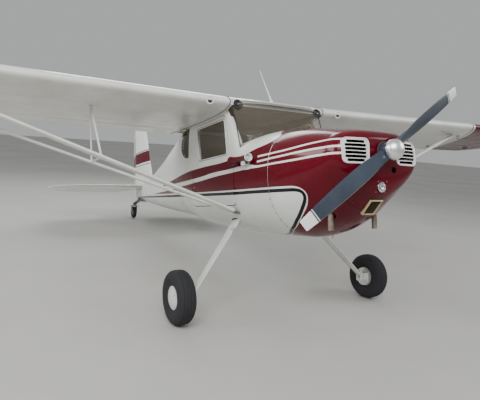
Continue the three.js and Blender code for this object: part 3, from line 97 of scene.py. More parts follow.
class Form:
    """A mesh being shaped with bmesh operators, in airframe metres."""

    def __init__(self) -> None:
        """Starts with no faces."""
        self.bm = bmesh.new()

    def sheet(self, points: np.ndarray, around: bool = False, capped: bool = False) -> "Form":
        """Adds a grid laid over rows of points.

        Args:
            points: Array of rows, columns and three coordinates.
            around: Whether each row closes on its first point.
            capped: Whether the first and last rows are filled.

        Returns:
            This form.
        """
        if around:
            points = np.concatenate([points, points[:, :1]], axis=1)
        rows, columns = points.shape[:2]
        made = bmesh.ops.create_grid(self.bm, x_segments=columns - 1, y_segments=rows - 1, size=1.0)
        for vert, place in zip(made["verts"], points.reshape(-1, 3)):
            vert.co = place
        if around:
            firsts = made["verts"][0::columns]
            lasts = made["verts"][columns - 1::columns]
            bmesh.ops.weld_verts(self.bm, targetmap=dict(zip(lasts, firsts)))
        if capped:
            self.fill()
        return self

    def fill(self) -> "Form":
        """Closes every open rim with a face.

        Returns:
            This form.
        """
        rims = [edge for edge in self.bm.edges if edge.is_boundary]
        bmesh.ops.holes_fill(self.bm, edges=rims, sides=0)
        return self

    def lathe(self, profile: Sequence[Point], axis: Point, centre: Point,
              steps: int = 48) -> "Form":
        """Adds a profile turned all round an axis.

        Args:
            profile: Points given as distance from the axis and distance along it.
            axis: Direction of the axis.
            centre: Where the axis starts.
            steps: Facets in the full turn.

        Returns:
            This form.
        """
        along = Vector(axis).normalized()
        out = along.orthogonal().normalized()
        start = Vector(centre)
        verts = [self.bm.verts.new(start + out * r + along * a) for r, a in profile]
        edges = [self.bm.edges.new(pair) for pair in zip(verts, verts[1:])]
        bmesh.ops.spin(self.bm, geom=verts + edges, cent=start, axis=along, angle=2 * math.pi,
                       steps=steps, use_merge=True)
        bmesh.ops.remove_doubles(self.bm, verts=self.bm.verts, dist=1e-6)
        return self

    def prism(self, outline: Sequence[Point], way: Callable[[float, float, float], Point],
              start: float, end: float) -> "Form":
        """Adds a flat outline drawn out to a thickness.

        Args:
            outline: Corners in the outline's own plane.
            way: Gives the place of two outline coordinates and a depth.
            start: Depth of the first face.
            end: Depth of the far face.

        Returns:
            This form.
        """
        verts = [self.bm.verts.new(way(a, b, start)) for a, b in outline]
        face = self.bm.faces.new(verts)
        drawn = bmesh.ops.extrude_face_region(self.bm, geom=[face])
        moved = [item for item in drawn["geom"] if isinstance(item, bmesh.types.BMVert)]
        shift = Vector(way(0, 0, end)) - Vector(way(0, 0, start))
        bmesh.ops.translate(self.bm, verts=moved, vec=shift)
        bmesh.ops.recalc_face_normals(self.bm, faces=self.bm.faces)
        return self

    def block(self, low: Point, high: Point, round_by: float = 0.002, steps: int = 2) -> "Form":
        """Adds a block with rounded edges between two corners.

        Args:
            low: Corner with the lowest coordinates.
            high: Corner with the highest coordinates.
            round_by: Width of the bevel on its edges.
            steps: Segments in the bevel.

        Returns:
            This form.
        """
        made = bmesh.ops.create_cube(self.bm, size=1.0)
        size = Vector(high) - Vector(low)
        middle = (Vector(high) + Vector(low)) / 2
        bmesh.ops.scale(self.bm, vec=size, verts=made["verts"])
        bmesh.ops.translate(self.bm, vec=middle, verts=made["verts"])
        edges = list({edge for vert in made["verts"] for edge in vert.link_edges})
        bmesh.ops.bevel(self.bm, geom=edges, offset=round_by, segments=steps, profile=0.5,
                        affect="EDGES", material=-1)
        return self

    def rod(self, start: Point, end: Point, radius: float, end_radius: float | None = None,
            sides: int = 16, round_by: float = 0.0) -> "Form":
        """Adds a round bar or taper between two points.

        Args:
            start: Middle of the first end.
            end: Middle of the far end.
            radius: Radius at the start.
            end_radius: Radius at the end, or None for the same.
            sides: Facets round the bar.
            round_by: Width of the bevel on both rims.

        Returns:
            This form.
        """
        first, last = Vector(start), Vector(end)
        along = last - first
        turn = Vector((0, 0, 1)).rotation_difference(along).to_matrix().to_4x4()
        place = Matrix.Translation((first + last) / 2) @ turn
        made = bmesh.ops.create_cone(
            self.bm, cap_ends=True, segments=sides, radius1=radius,
            radius2=radius if end_radius is None else end_radius, depth=along.length, matrix=place)
        if round_by > 0:
            rims = [edge for edge in {e for v in made["verts"] for e in v.link_edges}
                    if len(edge.link_faces) == 2 and any(len(f.verts) > 4 for f in edge.link_faces)]
            bmesh.ops.bevel(self.bm, geom=rims, offset=round_by, segments=2, profile=0.5,
                            affect="EDGES", material=-1)
        return self

    def ball(self, centre: Point, radius: float | Point, sides: int = 16) -> "Form":
        """Adds a ball, or an egg where the radius is given along each axis.

        Args:
            centre: Middle of the ball.
            radius: One radius, or one along each axis.
            sides: Facets round it.

        Returns:
            This form.
        """
        sizes = (radius,) * 3 if isinstance(radius, (int, float)) else tuple(radius)
        place = Matrix.Translation(Vector(centre)) @ Matrix.Diagonal((*sizes, 1.0))
        bmesh.ops.create_uvsphere(self.bm, u_segments=sides, v_segments=sides // 2, radius=1.0,
                                  matrix=place)
        return self

    def tube(self, path: Sequence[Point], radius: float, sides: int = 10,
             closed: bool = False) -> "Form":
        """Adds a round tube along a path.

        Args:
            path: Points of its middle line.
            radius: Radius of the tube.
            sides: Facets round it.
            closed: Whether the path runs back to its start.

        Returns:
            This form.
        """
        points = np.array(path, float)
        ahead = np.roll(points, -1, axis=0) - points
        behind = points - np.roll(points, 1, axis=0)
        if not closed:
            ahead[-1], behind[0] = behind[-1], ahead[0]
        tangents = unit(unit(ahead) + unit(behind))
        across = np.cross(tangents[0], (0.0, 0.0, 1.0) if abs(tangents[0][2]) < 0.9
                          else (0.0, 1.0, 0.0))
        rings = []
        turns = np.linspace(0, 2 * math.pi, sides, endpoint=False)
        for point, tangent in zip(points, tangents):
            across = unit(across - tangent * np.dot(across, tangent))
            up = np.cross(tangent, across)
            rings.append([point + radius * (math.cos(t) * across + math.sin(t) * up)
                          for t in turns])
        if closed:
            rings.append(rings[0])
        part = Form().sheet(np.array(rings), around=True, capped=not closed)
        bmesh.ops.remove_doubles(part.bm, verts=part.bm.verts, dist=1e-6)
        return self.joined(part)

    def joined(self, *others: "Form") -> "Form":
        """Takes in the faces of other forms.

        Args:
            others: Forms to copy the faces of.

        Returns:
            This form.
        """
        for other in others:
            mesh = bpy.data.meshes.new("joined")
            other.bm.to_mesh(mesh)
            self.bm.from_mesh(mesh)
            bpy.data.meshes.remove(mesh)
        return self

    def mirrored(self, side: Side) -> "Form":
        """Puts a form drawn to port on the given side.

        Args:
            side: Side on which the form ends up.

        Returns:
            This form.
        """
        if side is Side.STARBOARD:
            bmesh.ops.scale(self.bm, vec=(1, -1, 1), verts=self.bm.verts)
            bmesh.ops.reverse_faces(self.bm, faces=self.bm.faces)
        return self

    def both_sides(self) -> "Form":
        """Adds the mirror image across the middle plane."""
        other = Form().joined(self).mirrored(Side.STARBOARD)
        return self.joined(other)

    def moved(self, matrix: Matrix) -> "Form":
        """Moves every vertex by a matrix."""
        bmesh.ops.transform(self.bm, matrix=matrix, verts=self.bm.verts)
        return self

    def outward(self) -> "Form":
        """Turns every face outwards."""
        bmesh.ops.recalc_face_normals(self.bm, faces=self.bm.faces)
        return self

    def facing(self, axis: int) -> "Form":
        """Turns an open sheet so that it faces the positive way along an axis.

        Args:
            axis: Place of the axis among x, y and z.

        Returns:
            This form.
        """
        self.bm.normal_update()
        if np.mean([face.normal[axis] for face in self.bm.faces]) < 0:
            bmesh.ops.reverse_faces(self.bm, faces=self.bm.faces)
        return self

    def rounded(self, width: float, steps: int = 2, above: float = 40.0) -> "Form":
        """Bevels the edges that turn by more than an angle in degrees.

        Args:
            width: Width of the bevel.
            steps: Segments in the bevel.
            above: Angle in degrees past which an edge is bevelled.

        Returns:
            This form.
        """
        sharp = [edge for edge in self.bm.edges
                 if len(edge.link_faces) == 2 and edge.calc_face_angle(0.0) > math.radians(above)]
        bmesh.ops.bevel(self.bm, geom=sharp, offset=width, segments=steps, profile=0.5,
                        affect="EDGES", material=-1, clamp_overlap=True)
        return self

    def _object(self, name: str) -> bpy.types.Object:
        """Makes a plain object of the form, for a modifier to work on.

        Args:
            name: Name of the object and its mesh.

        Returns:
            The object.
        """
        mesh = bpy.data.meshes.new(name)
        self.bm.to_mesh(mesh)
        made = bpy.data.objects.new(name, mesh)
        bpy.context.scene.collection.objects.link(made)
        return made

    def _take(self, source: bpy.types.Object, *helpers: bpy.types.Object) -> "Form":
        """Takes the evaluated mesh of an object and deletes what made it.

        Args:
            source: Object whose modifiers shape the mesh.
            helpers: Objects that they use.

        Returns:
            This form.
        """
        bpy.context.view_layer.update()
        depsgraph = bpy.context.evaluated_depsgraph_get()
        mesh = bpy.data.meshes.new_from_object(source.evaluated_get(depsgraph))
        self.bm.clear()
        self.bm.from_mesh(mesh)
        bpy.data.meshes.remove(mesh)
        for item in (source, *helpers):
            data = item.data
            bpy.data.objects.remove(item)
            bpy.data.meshes.remove(data)
        return self

    def thickened(self, depth: float) -> "Form":
        """Gives an open sheet a wall, inwards from its faces.

        Args:
            depth: Thickness of the wall.

        Returns:
            This form.
        """
        source = self._object("wall")
        wall = source.modifiers.new("wall", "SOLIDIFY")
        wall.thickness = depth
        wall.offset = -1.0
        wall.use_even_offset = True
        return self._take(source)

    def cut(self, kind: Cut, *tools: "Form") -> "Form":
        """Cuts the form with others, by what is kept.

        Args:
            kind: What is kept.
            tools: Closed forms to cut with.

        Returns:
            This form.
        """
        source = self._object("base")
        helpers = [tool.outward()._object("tool") for tool in tools]
        for helper in helpers:
            step = source.modifiers.new("cut", "BOOLEAN")
            step.operation = kind.value
            step.object = helper
            step.solver = "EXACT"
        return self._take(source, *helpers)

    def positions(self) -> np.ndarray:
        """Places of all vertices, in airframe metres."""
        return np.array([vert.co for vert in self.bm.verts])


def unit(vectors: np.ndarray) -> np.ndarray:
    """Scales vectors to a length of one."""
    return vectors / np.maximum(np.linalg.norm(vectors, axis=-1, keepdims=True), 1e-12)


def rounded_outline(corners: Sequence[Point], radius: float,
                    steps: int = 8) -> list[tuple[float, float]]:
    """Rounds the corners of a closed outline with quadratic curves.

    Args:
        corners: Corners of the outline.
        radius: How far from each corner its curve starts.
        steps: Segments in each curve.

    Returns:
        The points of the rounded outline.
    """
    places = np.array(corners, float)
    points: list[tuple[float, float]] = []
    for here, before, after in zip(places, np.roll(places, 1, axis=0), np.roll(places, -1, axis=0)):
        start = here + unit(before - here) * radius
        end = here + unit(after - here) * radius
        for t in np.linspace(0, 1, steps + 1):
            points.append(tuple((1 - t) ** 2 * start + 2 * t * (1 - t) * here + t * t * end))
    return points


def side_view(x: float, z: float, y: float) -> Point:
    """Place of an outline point drawn in the side view."""
    return (x, y, z)


def plan_view(x: float, y: float, z: float) -> Point:
    """Place of an outline point drawn in the plan view."""
    return (x, y, z)


def front_view(y: float, z: float, x: float) -> Point:
    """Place of an outline point drawn in the front view."""
    return (x, y, z)


def smooth_line(points: Sequence[Point], step: float = 0.02) -> np.ndarray:
    """Draws an even Catmull-Rom curve through points.

    Args:
        points: Points that the curve passes.
        step: Spacing of the points drawn.

    Returns:
        Points of the curve in order.
    """
    places = np.array(points, float)
    padded = np.concatenate([[2 * places[0] - places[1]], places, [2 * places[-1] - places[-2]]])
    out = [places[0]]
    for a, b, c, d in zip(padded, padded[1:], padded[2:], padded[3:]):
        count = max(1, int(np.linalg.norm(c - b) / step))
        for t in np.linspace(0, 1, count + 1)[1:]:
            out.append(0.5 * (2 * b + (c - a) * t + (2 * a - 5 * b + 4 * c - d) * t ** 2
                              + (3 * b - a - 3 * c + d) * t ** 3))
    return np.array(out)


def signed_distance(points: np.ndarray, line: np.ndarray,
                    out: np.ndarray | None = None) -> np.ndarray:
    """Distance of points from a line, positive to its left.

    Args:
        points: Array of points in two coordinates.
        line: Points of the line in order.
        out: Outward directions of a surface, in the same two coordinates, along which to measure.

    Returns:
        One signed distance for each point.
    """
    start, ahead = line[:-1], np.diff(line, axis=0)
    best = np.full(len(points), 1e9)
    signed = np.zeros(len(points))
    lean = np.ones(len(points))
    for origin, step in zip(start, ahead):
        to = points - origin
        share = np.clip(to @ step / (step @ step), 0, 1)
        away = np.linalg.norm(to - share[:, None] * step, axis=1)
        left = np.sign(step[0] * to[:, 1] - step[1] * to[:, 0])
        nearer = away < best
        best = np.where(nearer, away, best)
        signed = np.where(nearer, away * left, signed)
        if out is not None:
            across = out @ np.array((-step[1], step[0])) / np.linalg.norm(step)
            lean = np.where(nearer, np.sqrt(np.maximum(1 - across ** 2, 0.02)), lean)
    return signed / lean


# Shape of the fuselage

# Station, half width, top, bottom and waist in millimetres, then the powers that round the section
# above and below the waist
HULL_TABLE = np.array((
    (1232, 270, 1172, 905, 1040, 2.9, 1.75), (1218, 345, 1203, 845, 1035, 3.0, 1.75),
    (1190, 386, 1227, 778, 1030, 3.1, 1.7), (1145, 406, 1243, 722, 1025, 3.1, 1.6),
    (1080, 416, 1258, 662, 1005, 3.0, 1.62), (930, 453, 1292, 563, 980, 2.8, 1.8),
    (720, 490, 1328, 491, 960, 2.8, 2.05), (530, 512, 1350, 462, 950, 2.8, 2.2),
    (300, 515, 1378, 466, 950, 2.95, 2.25), (165, 515, 1378, 471, 950, 3.15, 2.35),
    (75, 515, 1378, 476, 950, 4.2, 2.45),
    (-165, 515, 1690, 492, 950, 12, 2.62), (-860, 515, 1690, 552, 970, 12, 2.6),
    (-1180, 494, 1690, 594, 1015, 7, 2.45), (-1440, 462, 1685, 632, 1060, 4.6, 2.3),
    (-1900, 402, 1630, 688, 1080, 3.1, 2.2), (-2500, 318, 1500, 750, 1090, 2.4, 2.2),
    (-3200, 218, 1345, 836, 1090, 2.1, 2.1), (-3900, 120, 1262, 940, 1110, 2.1, 2.1),
    (-4310, 58, 1225, 1020, 1125, 2.2, 2.2),
), float)
WINDSHIELD_SLOPE = (0.075, -0.165)
FIREWALL_X, BOWL_X, NOSE_X = 0.530, 1.080, 1.232
SHAFT_Z = 1.080
BOWL_SEAM_X = 1.108
CABIN_END_X, TAIL_END_X = -1.440, -4.310
WALL = 0.022


class Hull:
    """The fuselage's outer surface, from a short table of sections."""

    def __init__(self) -> None:
        """Works out a slope for each column, so that the sections blend without ripples."""
        order = np.argsort(HULL_TABLE[:, 0])
        self.xs = HULL_TABLE[order, 0] * MM
        self.values = HULL_TABLE[order, 1:].copy()
        self.values[:, :4] *= MM
        steps = np.diff(self.xs)[:, None]
        rises = np.diff(self.values, axis=0) / steps
        before, after = rises[:-1], rises[1:]
        same_way = before * after > 0
        means = 2 * before * after / np.where(same_way, before + after, 1)
        self.slopes = np.concatenate([rises[:1], np.where(same_way, means, 0), rises[-1:]])

    def section(self, x: float) -> np.ndarray:
        """Half width, top, bottom, waist and the two powers at a station.

        Args:
            x: Station in metres.

        Returns:
            The six values, in metres where they are lengths.
        """
        x = min(max(x, self.xs[0]), self.xs[-1])
        i = min(int(np.searchsorted(self.xs, x, side="right")) - 1, len(self.xs) - 2)
        width = self.xs[i + 1] - self.xs[i]
        t = (x - self.xs[i]) / width
        low, high = self.values[i], self.values[i + 1]
        if WINDSHIELD_SLOPE[1] <= x <= WINDSHIELD_SLOPE[0]:
            return low + (high - low) * t
        return ((2 * t ** 3 - 3 * t ** 2 + 1) * low
                + (t ** 3 - 2 * t ** 2 + t) * width * self.slopes[i]
                + (3 * t ** 2 - 2 * t ** 3) * high + (t ** 3 - t ** 2) * width * self.slopes[i + 1])

    def ring(self, x: float, count: int, proud: float = 0.0) -> np.ndarray:
        """Evenly spaced points round the section at a station, from the keel up the port side.

        Args:
            x: Station in metres.
            count: Points in the whole ring.
            proud: How far outside the skin.

        Returns:
            The points of the ring.
        """
        half, top, bottom, waist, power_up, power_down = self.section(x)
        angle = np.linspace(-math.pi / 2, math.pi / 2, 241)
        eased = angle - 0.42 * np.sin(4 * angle) / 4
        cos, sin = np.cos(eased).clip(0), np.sin(eased)
        upper = sin > 0
        power = 2 / np.where(upper, power_up, power_down)
        height = np.where(upper, top - waist, waist - bottom) + proud
        y = (half + proud) * cos ** power
        z = waist + np.sign(sin) * height * np.abs(sin) ** power
        length = np.concatenate([[0], np.cumsum(np.hypot(np.diff(y), np.diff(z)))])
        at = np.linspace(0, length[-1], count // 2 + 1)
        y, z = np.interp(at, length, y), np.interp(at, length, z)
        y[0] = y[-1] = 0.0
        port = np.stack([np.full_like(y, x), y, z], axis=1)
        return np.concatenate([port, (port * (1, -1, 1))[-2:0:-1]])

    def skin(self, front: float, rear: float, step: float = 0.02, count: int = 180,
             proud: float = 0.0) -> np.ndarray:
        """Rings of points from a front station to a rear one."""
        stations = np.linspace(front, rear, max(2, int(round((front - rear) / step)) + 1))
        return np.array([self.ring(x, count, proud) for x in stations])

    def at_height(self, x: float, z: float, proud: float = 0.0) -> np.ndarray:
        """Point on the port side at a station and a height.

        Args:
            x: Station in metres.
            z: Height of the point.
            proud: How far outside the skin.

        Returns:
            The point.
        """
        half, top, bottom, waist, power_up, power_down = self.section(x)
        upper = z > waist
        power = power_up if upper else power_down
        share = min(abs(z - waist) / ((top - waist) if upper else (waist - bottom)), 1.0)
        return np.array((x, (half + proud) * (1 - share ** power) ** (1 / power), z))

    def normal(self, x: float, z: float) -> np.ndarray:
        """Outward direction of the port side at a station and a height.

        Args:
            x: Station in metres.
            z: Height of the point.

        Returns:
            A direction of length one.
        """
        middle = self.at_height(x, z)
        along = self.at_height(x + 0.004, z) - middle
        up = self.at_height(x, z + 0.004) - middle
        return unit(np.cross(up, along))


HULL = Hull()


def outward_on_hull(places: np.ndarray) -> np.ndarray:
    """Outward directions of the fuselage's surface at points on it.

    Args:
        places: Points on or near the skin.

    Returns:
        One direction of length one for each point.
    """
    stations = np.linspace(HULL.xs[0], HULL.xs[-1], 1400)
    table = np.array([HULL.section(x) for x in stations])

    def level(at: np.ndarray) -> np.ndarray:
        """One on the surface, and less inside it.

        Args:
            at: Points to measure.

        Returns:
            One value for each point.
        """
        half, top, bottom, waist, power_up, power_down = (np.interp(at[:, 0], stations, column)
                                                          for column in table.T)
        upper = at[:, 2] > waist
        power = np.where(upper, power_up, power_down)
        tall = np.where(upper, top - waist, waist - bottom)
        return (np.abs(at[:, 1]) / half) ** power + (np.abs(at[:, 2] - waist) / tall) ** power

    slope = np.stack([level(places + step) - level(places - step) for step in 0.001 * np.eye(3)],
                     axis=1)
    return slope / np.maximum(np.linalg.norm(slope, axis=1, keepdims=True), 1e-9)

# Wing, tail and propeller sections

WING = {"root": 0.532, "tip": 5.080, "tip_start": 4.480, "chord": 1.474, "le_x": -0.013,
        "le_z": 1.670, "dihedral": math.radians(1.0), "incidence": math.radians(1.9)}
HINGE_AT = 0.765
FLAP_SPAN = (0.640, 2.370)
AILERON_SPAN = (2.420, 4.620)
RUNNING_GAP = 0.006


def foil_height(s: np.ndarray, thickness: float = 0.12) -> np.ndarray:
    """Half depth of the section at chord shares, as a share of the chord."""
    return 5 * thickness * (0.2969 * np.sqrt(s) - 0.126 * s - 0.3516 * s ** 2 + 0.2843 * s ** 3
                            - 0.1015 * s ** 4)


def camber_height(s: np.ndarray, camber: float = 0.02, at: float = 0.4) -> np.ndarray:
    """Height of the section's middle line at chord shares."""
    return np.where(s < at, camber / at ** 2 * (2 * at * s - s ** 2),
                    camber / (1 - at) ** 2 * (1 - 2 * at + 2 * at * s - s ** 2))


def wing_point(s: float, height: float, y: float, chord: float | None = None) -> np.ndarray:
    """Place of a section point at a span, for a chord that keeps its own 40 percent line.

    Args:
        s: Share of the chord behind the leading edge.
        height: Height over the chord line, as a share of the chord.
        y: Distance from the middle plane.
        chord: Chord there, or None for the full chord.

    Returns:
        The point.
    """
    full = WING["chord"]
    chord = full if chord is None else chord
    le_x = WING["le_x"] - 0.4 * (full - chord)
    cos, sin = math.cos(WING["incidence"]), math.sin(WING["incidence"])
    z = WING["le_z"] + (y - WING["root"]) * math.tan(WING["dihedral"])
    return np.array((le_x - s * chord * cos - height * chord * sin, y,
                     z - (s * chord + WING["le_x"] - le_x) * sin + height * chord * cos))


def wing_chord(y: float) -> float:
    """Chord at a span, full to the tip's start and then rounded.

    Args:
        y: Distance from the middle plane.

    Returns:
        The chord in metres.
    """
    if y <= WING["tip_start"]:
        return WING["chord"]
    share = (y - WING["tip_start"]) / (WING["tip"] - WING["tip_start"])
    out = min(share ** (1 / 0.9), 1.0) * 0.985
    turn = math.asin(out) / (math.pi / 2) * 7.35 / 7.0
    return WING["chord"] * (1 - min(math.sin(min(turn, 0.975) * math.pi / 2), 0.995) ** 2.6) ** 0.5


def foil_loop(front: float, rear: float, steps: int) -> list[tuple[float, float]]:
    """Chord shares and heights from the rear over the top to the front and back beneath.

    Args:
        front: Chord share where the loop starts.
        rear: Chord share where it ends.
        steps: Segments along each surface.

    Returns:
        Pairs of chord share and height.
    """
    angle = np.linspace(0, math.pi, steps + 1)
    s = rear - (rear - front) * (1 - np.cos(angle)) / 2
    if front > 0:
        s = np.linspace(rear, front, steps + 1)
    upper = camber_height(s) + foil_height(s)
    lower = camber_height(s) - foil_height(s)
    return [*zip(s, upper), *zip(s[::-1][1:-1], lower[::-1][1:-1])]


def hinge_point(y: float, chord: float | None = None) -> np.ndarray:
    """Place of the hinge line of the flap and the aileron at a span."""
    return wing_point(HINGE_AT, float(camber_height(np.array(HINGE_AT))), y, chord)


HINGE_HALF = float(foil_height(np.array(HINGE_AT))) * WING["chord"]


# Finishes

def linear(colour: str) -> tuple[float, float, float, float]:
    """Linear colour of an sRGB hex value."""
    parts = (int(colour[i:i + 2], 16) / 255 for i in (1, 3, 5))
    return (*(c / 12.92 if c <= 0.04045 else ((c + 0.055) / 1.055) ** 2.4 for c in parts), 1.0)


def node(tree: Tree, kind: str, inputs: dict | None = None,
         **settings: object) -> bpy.types.Node:
    """Adds a node with its settings and links.

    Args:
        tree: Node tree of the material.
        kind: Node type, without its leading ShaderNode.
        inputs: Values or sockets by the input's name or place.
        settings: Properties of the node.

    Returns:
        The new node.
    """
    made = tree.nodes.new("ShaderNode" + kind)
    for key, value in settings.items():
        setattr(made, key, value)
    for key, value in (inputs or {}).items():
        if isinstance(value, Socket):
            tree.links.new(value, made.inputs[key])
        else:
            made.inputs[key].default_value = value
    return made


@dataclass(frozen=True)
class Finish:
    """A finish with its real make: fine colour drift, roughness drift and surface grain."""

    name: str
    colour: str
    drift: str
    roughness: float
    metallic: float = 0.0
    ior: float = 1.5
    coat: float = 0.0
    coat_roughness: float = 0.05
    roughness_drift: float = 0.04
    drift_mm: float = 240.0
    grain_mm: float = 3.0
    grain_depth_mm: float = 0.02
    stretch: tuple[float, float, float] = (1.0, 1.0, 1.0)

    def material(self) -> bpy.types.Material:
        """The Blender material of this finish, made once.

        Returns:
            The material.
        """
        known = bpy.data.materials.get(self.name)
        if known:
            return known
        made = bpy.data.materials.new(self.name)
        made.use_nodes = True
        tree = made.node_tree
        tree.nodes.clear()
        shader = node(tree, "BsdfPrincipled", {
            "Metallic": self.metallic, "IOR": self.ior, "Coat Weight": self.coat,
            "Coat Roughness": self.coat_roughness})
        node(tree, "OutputMaterial", {"Surface": shader.outputs[0]})
        self.dress(tree, shader)
        return made

    def drifting(self, tree: Tree) -> tuple[Socket, Socket]:
        """Coordinates of the grain, and a slow noise that moves colour and roughness.

        Args:
            tree: Node tree of the material.

        Returns:
            Sockets of the coordinates and of the noise.
        """
        place = node(tree, "TexCoord").outputs["Object"]
        turned = node(tree, "Mapping", {"Vector": place, "Scale": self.stretch}).outputs[0]
        slow = node(tree, "TexNoise", {"Vector": turned, "Scale": 1000 / self.drift_mm,
                                       "Detail": 5.0, "Roughness": 0.6}).outputs["Fac"]
        return turned, slow

    def colour_socket(self, tree: Tree, slow: Socket) -> Socket:
        """Colour that drifts between the finish's two values.

        Args:
            tree: Node tree of the material.
            slow: Slow noise of the finish.

        Returns:
            Socket of the finished colour.
        """
        span = node(tree, "MapRange",
                    {"Value": slow, "From Min": 0.35, "From Max": 0.65}).outputs[0]
        return node(tree, "Mix", {0: span, 6: linear(self.colour), 7: linear(self.drift)},
                    data_type="RGBA").outputs[2]

    def dress(self, tree: Tree, shader: bpy.types.Node) -> None:
        """Links colour, roughness and grain to the shader.

        Args:
            tree: Node tree of the material.
            shader: The material's main shader.
        """
        turned, slow = self.drifting(tree)
        tree.links.new(self.colour_socket(tree, slow), shader.inputs["Base Color"])
        self.roughen(tree, shader, turned, slow)

    def roughen(self, tree: Tree, shader: bpy.types.Node, turned: Socket, slow: Socket) -> None:
        """Links the drifting roughness and the grain's bump.

        Args:
            tree: Node tree of the material.
            shader: The material's main shader.
            turned: Coordinates of the grain.
            slow: Slow noise of the finish.
        """
        rough = node(tree, "MapRange", {
            "Value": slow, "From Min": 0.3, "From Max": 0.7,
            "To Min": max(self.roughness - self.roughness_drift, 0.01),
            "To Max": self.roughness + self.roughness_drift}).outputs[0]
        tree.links.new(rough, shader.inputs["Roughness"])
        grain = node(tree, "TexNoise", {"Vector": turned, "Scale": 1000 / self.grain_mm,
                                        "Detail": 3.0}).outputs["Fac"]
        bump = node(tree, "Bump", {"Height": grain, "Strength": 1.0,
                                   "Distance": self.grain_depth_mm * MM}).outputs[0]
        tree.links.new(bump, shader.inputs["Normal"])


def mask(tree: Tree, value: Socket, above: float = 0.0, soft: float = 0.0012) -> Socket:
    """One where a value lies above a limit and nought below, with a soft edge in metres."""
    return node(tree, "MapRange",
                {"Value": value, "From Min": above - soft, "From Max": above + soft}).outputs[0]


def chain(tree: Tree, operation: str, *values: Socket) -> Socket:
    """Joins values two by two with a maths operation.

    Args:
        tree: Node tree of the material.
        operation: Name of the operation.
        values: Sockets to join.

    Returns:
        Socket of the result.
    """
    result = values[0]
    for value in values[1:]:
        result = node(tree, "Math", {0: result, 1: value}, operation=operation).outputs[0]
    return result


def layered(tree: Tree, base: Socket, *layers: tuple[Socket, str]) -> Socket:
    """Lays flat colours over a base where their masks are one.

    Args:
        tree: Node tree of the material.
        base: Colour beneath the layers.
        layers: Pairs of mask and sRGB colour, the lowest first.

    Returns:
        Socket of the finished colour.
    """
    result = base
    for factor, colour in layers:
        result = node(tree, "Mix", {0: factor, 6: result, 7: linear(colour)},
                      data_type="RGBA").outputs[2]
    return result


WHITE, CREAM = "#dfe0dd", "#d3d2cb"
MAROON, MAROON_LIGHT = "#520414", "#5c0819"
LINE_BLACK = "#14151a"


@dataclass(frozen=True)
class SideScheme(Finish):
    """Gloss enamel of the fuselage: white, with the red flash, its stripes and the black line."""

    stripe_half_mm: float = 7.5
    line_half_mm: float = 14.0
    stripes_from: float = 0.372
    grille_from: float = 1.10
    grille_middle: float = 0.247

    def colour_socket(self, tree: Tree, slow: Socket) -> Socket:
        """White under the red flash, cut by the stripes and the wedge.

        Args:
            tree: Node tree of the material.
            slow: Slow noise of the finish.

        Returns:
            Socket of the finished colour.
        """
        edges = node(tree, "Attribute", attribute_name="flash_edges").outputs["Vector"]
        inner = node(tree, "Attribute", attribute_name="flash_stripes").outputs["Vector"]
        place = node(tree, "Attribute", attribute_name="airframe").outputs["Vector"]
        top, low, wedge_top = node(tree, "SeparateXYZ", {0: edges}).outputs
        wedge_low, first, second = node(tree, "SeparateXYZ", {0: inner}).outputs
        x = node(tree, "SeparateXYZ", {0: place}).outputs[0]
        flash = chain(tree, "MINIMUM", mask(tree, top), mask(tree, low))
        wedge = chain(tree, "MINIMUM", mask(tree, wedge_top), mask(tree, wedge_low))
        ahead = mask(tree, x, self.stripes_from)
        across = node(tree, "Math", {0: node(tree, "SeparateXYZ", {0: place}).outputs[1]},
                      operation="ABSOLUTE").outputs[0]
        nose = mask(tree, x, self.grille_from)
        beside = node(tree, "Math", {0: 1.0, 1: mask(tree, across, self.grille_middle)},
                      operation="SUBTRACT").outputs[0]
        clear = node(tree, "Math", {0: 1.0, 1: chain(tree, "MULTIPLY", nose, beside)},
                     operation="SUBTRACT").outputs[0]
        lines = []
        for line in (first, second):
            off = node(tree, "Math", {0: line}, operation="ABSOLUTE").outputs[0]
            away = mask(tree, off, self.stripe_half_mm * MM)
            within = node(tree, "Math", {0: 1.0, 1: away}, operation="SUBTRACT").outputs[0]
            lines.append(chain(tree, "MULTIPLY", within, ahead))
        white = chain(tree, "MULTIPLY", chain(tree, "MAXIMUM", wedge, *lines), clear)
        kept = node(tree, "Math", {0: 1.0, 1: white}, operation="SUBTRACT").outputs[0]
        red = chain(tree, "MULTIPLY", flash, kept)
        black = node(tree, "Attribute", attribute_name="black_line").outputs["Fac"]
        off_line = node(tree, "Math", {0: black}, operation="ABSOLUTE").outputs[0]
        not_line = mask(tree, off_line, self.line_half_mm * MM)
        line = node(tree, "Math", {0: 1.0, 1: not_line}, operation="SUBTRACT").outputs[0]
        base = Finish.colour_socket(self, tree, slow)
        reds = node(tree, "Mix", {0: slow, 6: linear(MAROON), 7: linear(MAROON_LIGHT)},
                    data_type="RGBA").outputs[2]
        painted = node(tree, "Mix", {0: red, 6: base, 7: reds}, data_type="RGBA").outputs[2]
        return layered(tree, painted, (line, LINE_BLACK))


@dataclass(frozen=True)
class WingScheme(Finish):
    """Gloss enamel of the wings: white, with the red outer panel behind a pinstripe."""

    bands_mm: tuple[float, float, float] = (-46.0, -32.0, 0.0)

    def colour_socket(self, tree: Tree, slow: Socket) -> Socket:
        """Red outboard of the slanting edge, with a dark pinstripe inboard of it.

        Args:
            tree: Node tree of the material.
            slow: Slow noise of the finish.

        Returns:
            Socket of the finished colour.
        """
        edge = node(tree, "Attribute", attribute_name="panel_edge").outputs["Fac"]
        dark_from, dark_to, red_from = (mask(tree, edge, b * MM) for b in self.bands_mm)
        past = node(tree, "Math", {0: 1.0, 1: dark_to}, operation="SUBTRACT").outputs[0]
        dark = chain(tree, "MULTIPLY", dark_from, past)
        base = Finish.colour_socket(self, tree, slow)
        return layered(tree, base, (dark, LINE_BLACK), (red_from, MAROON))


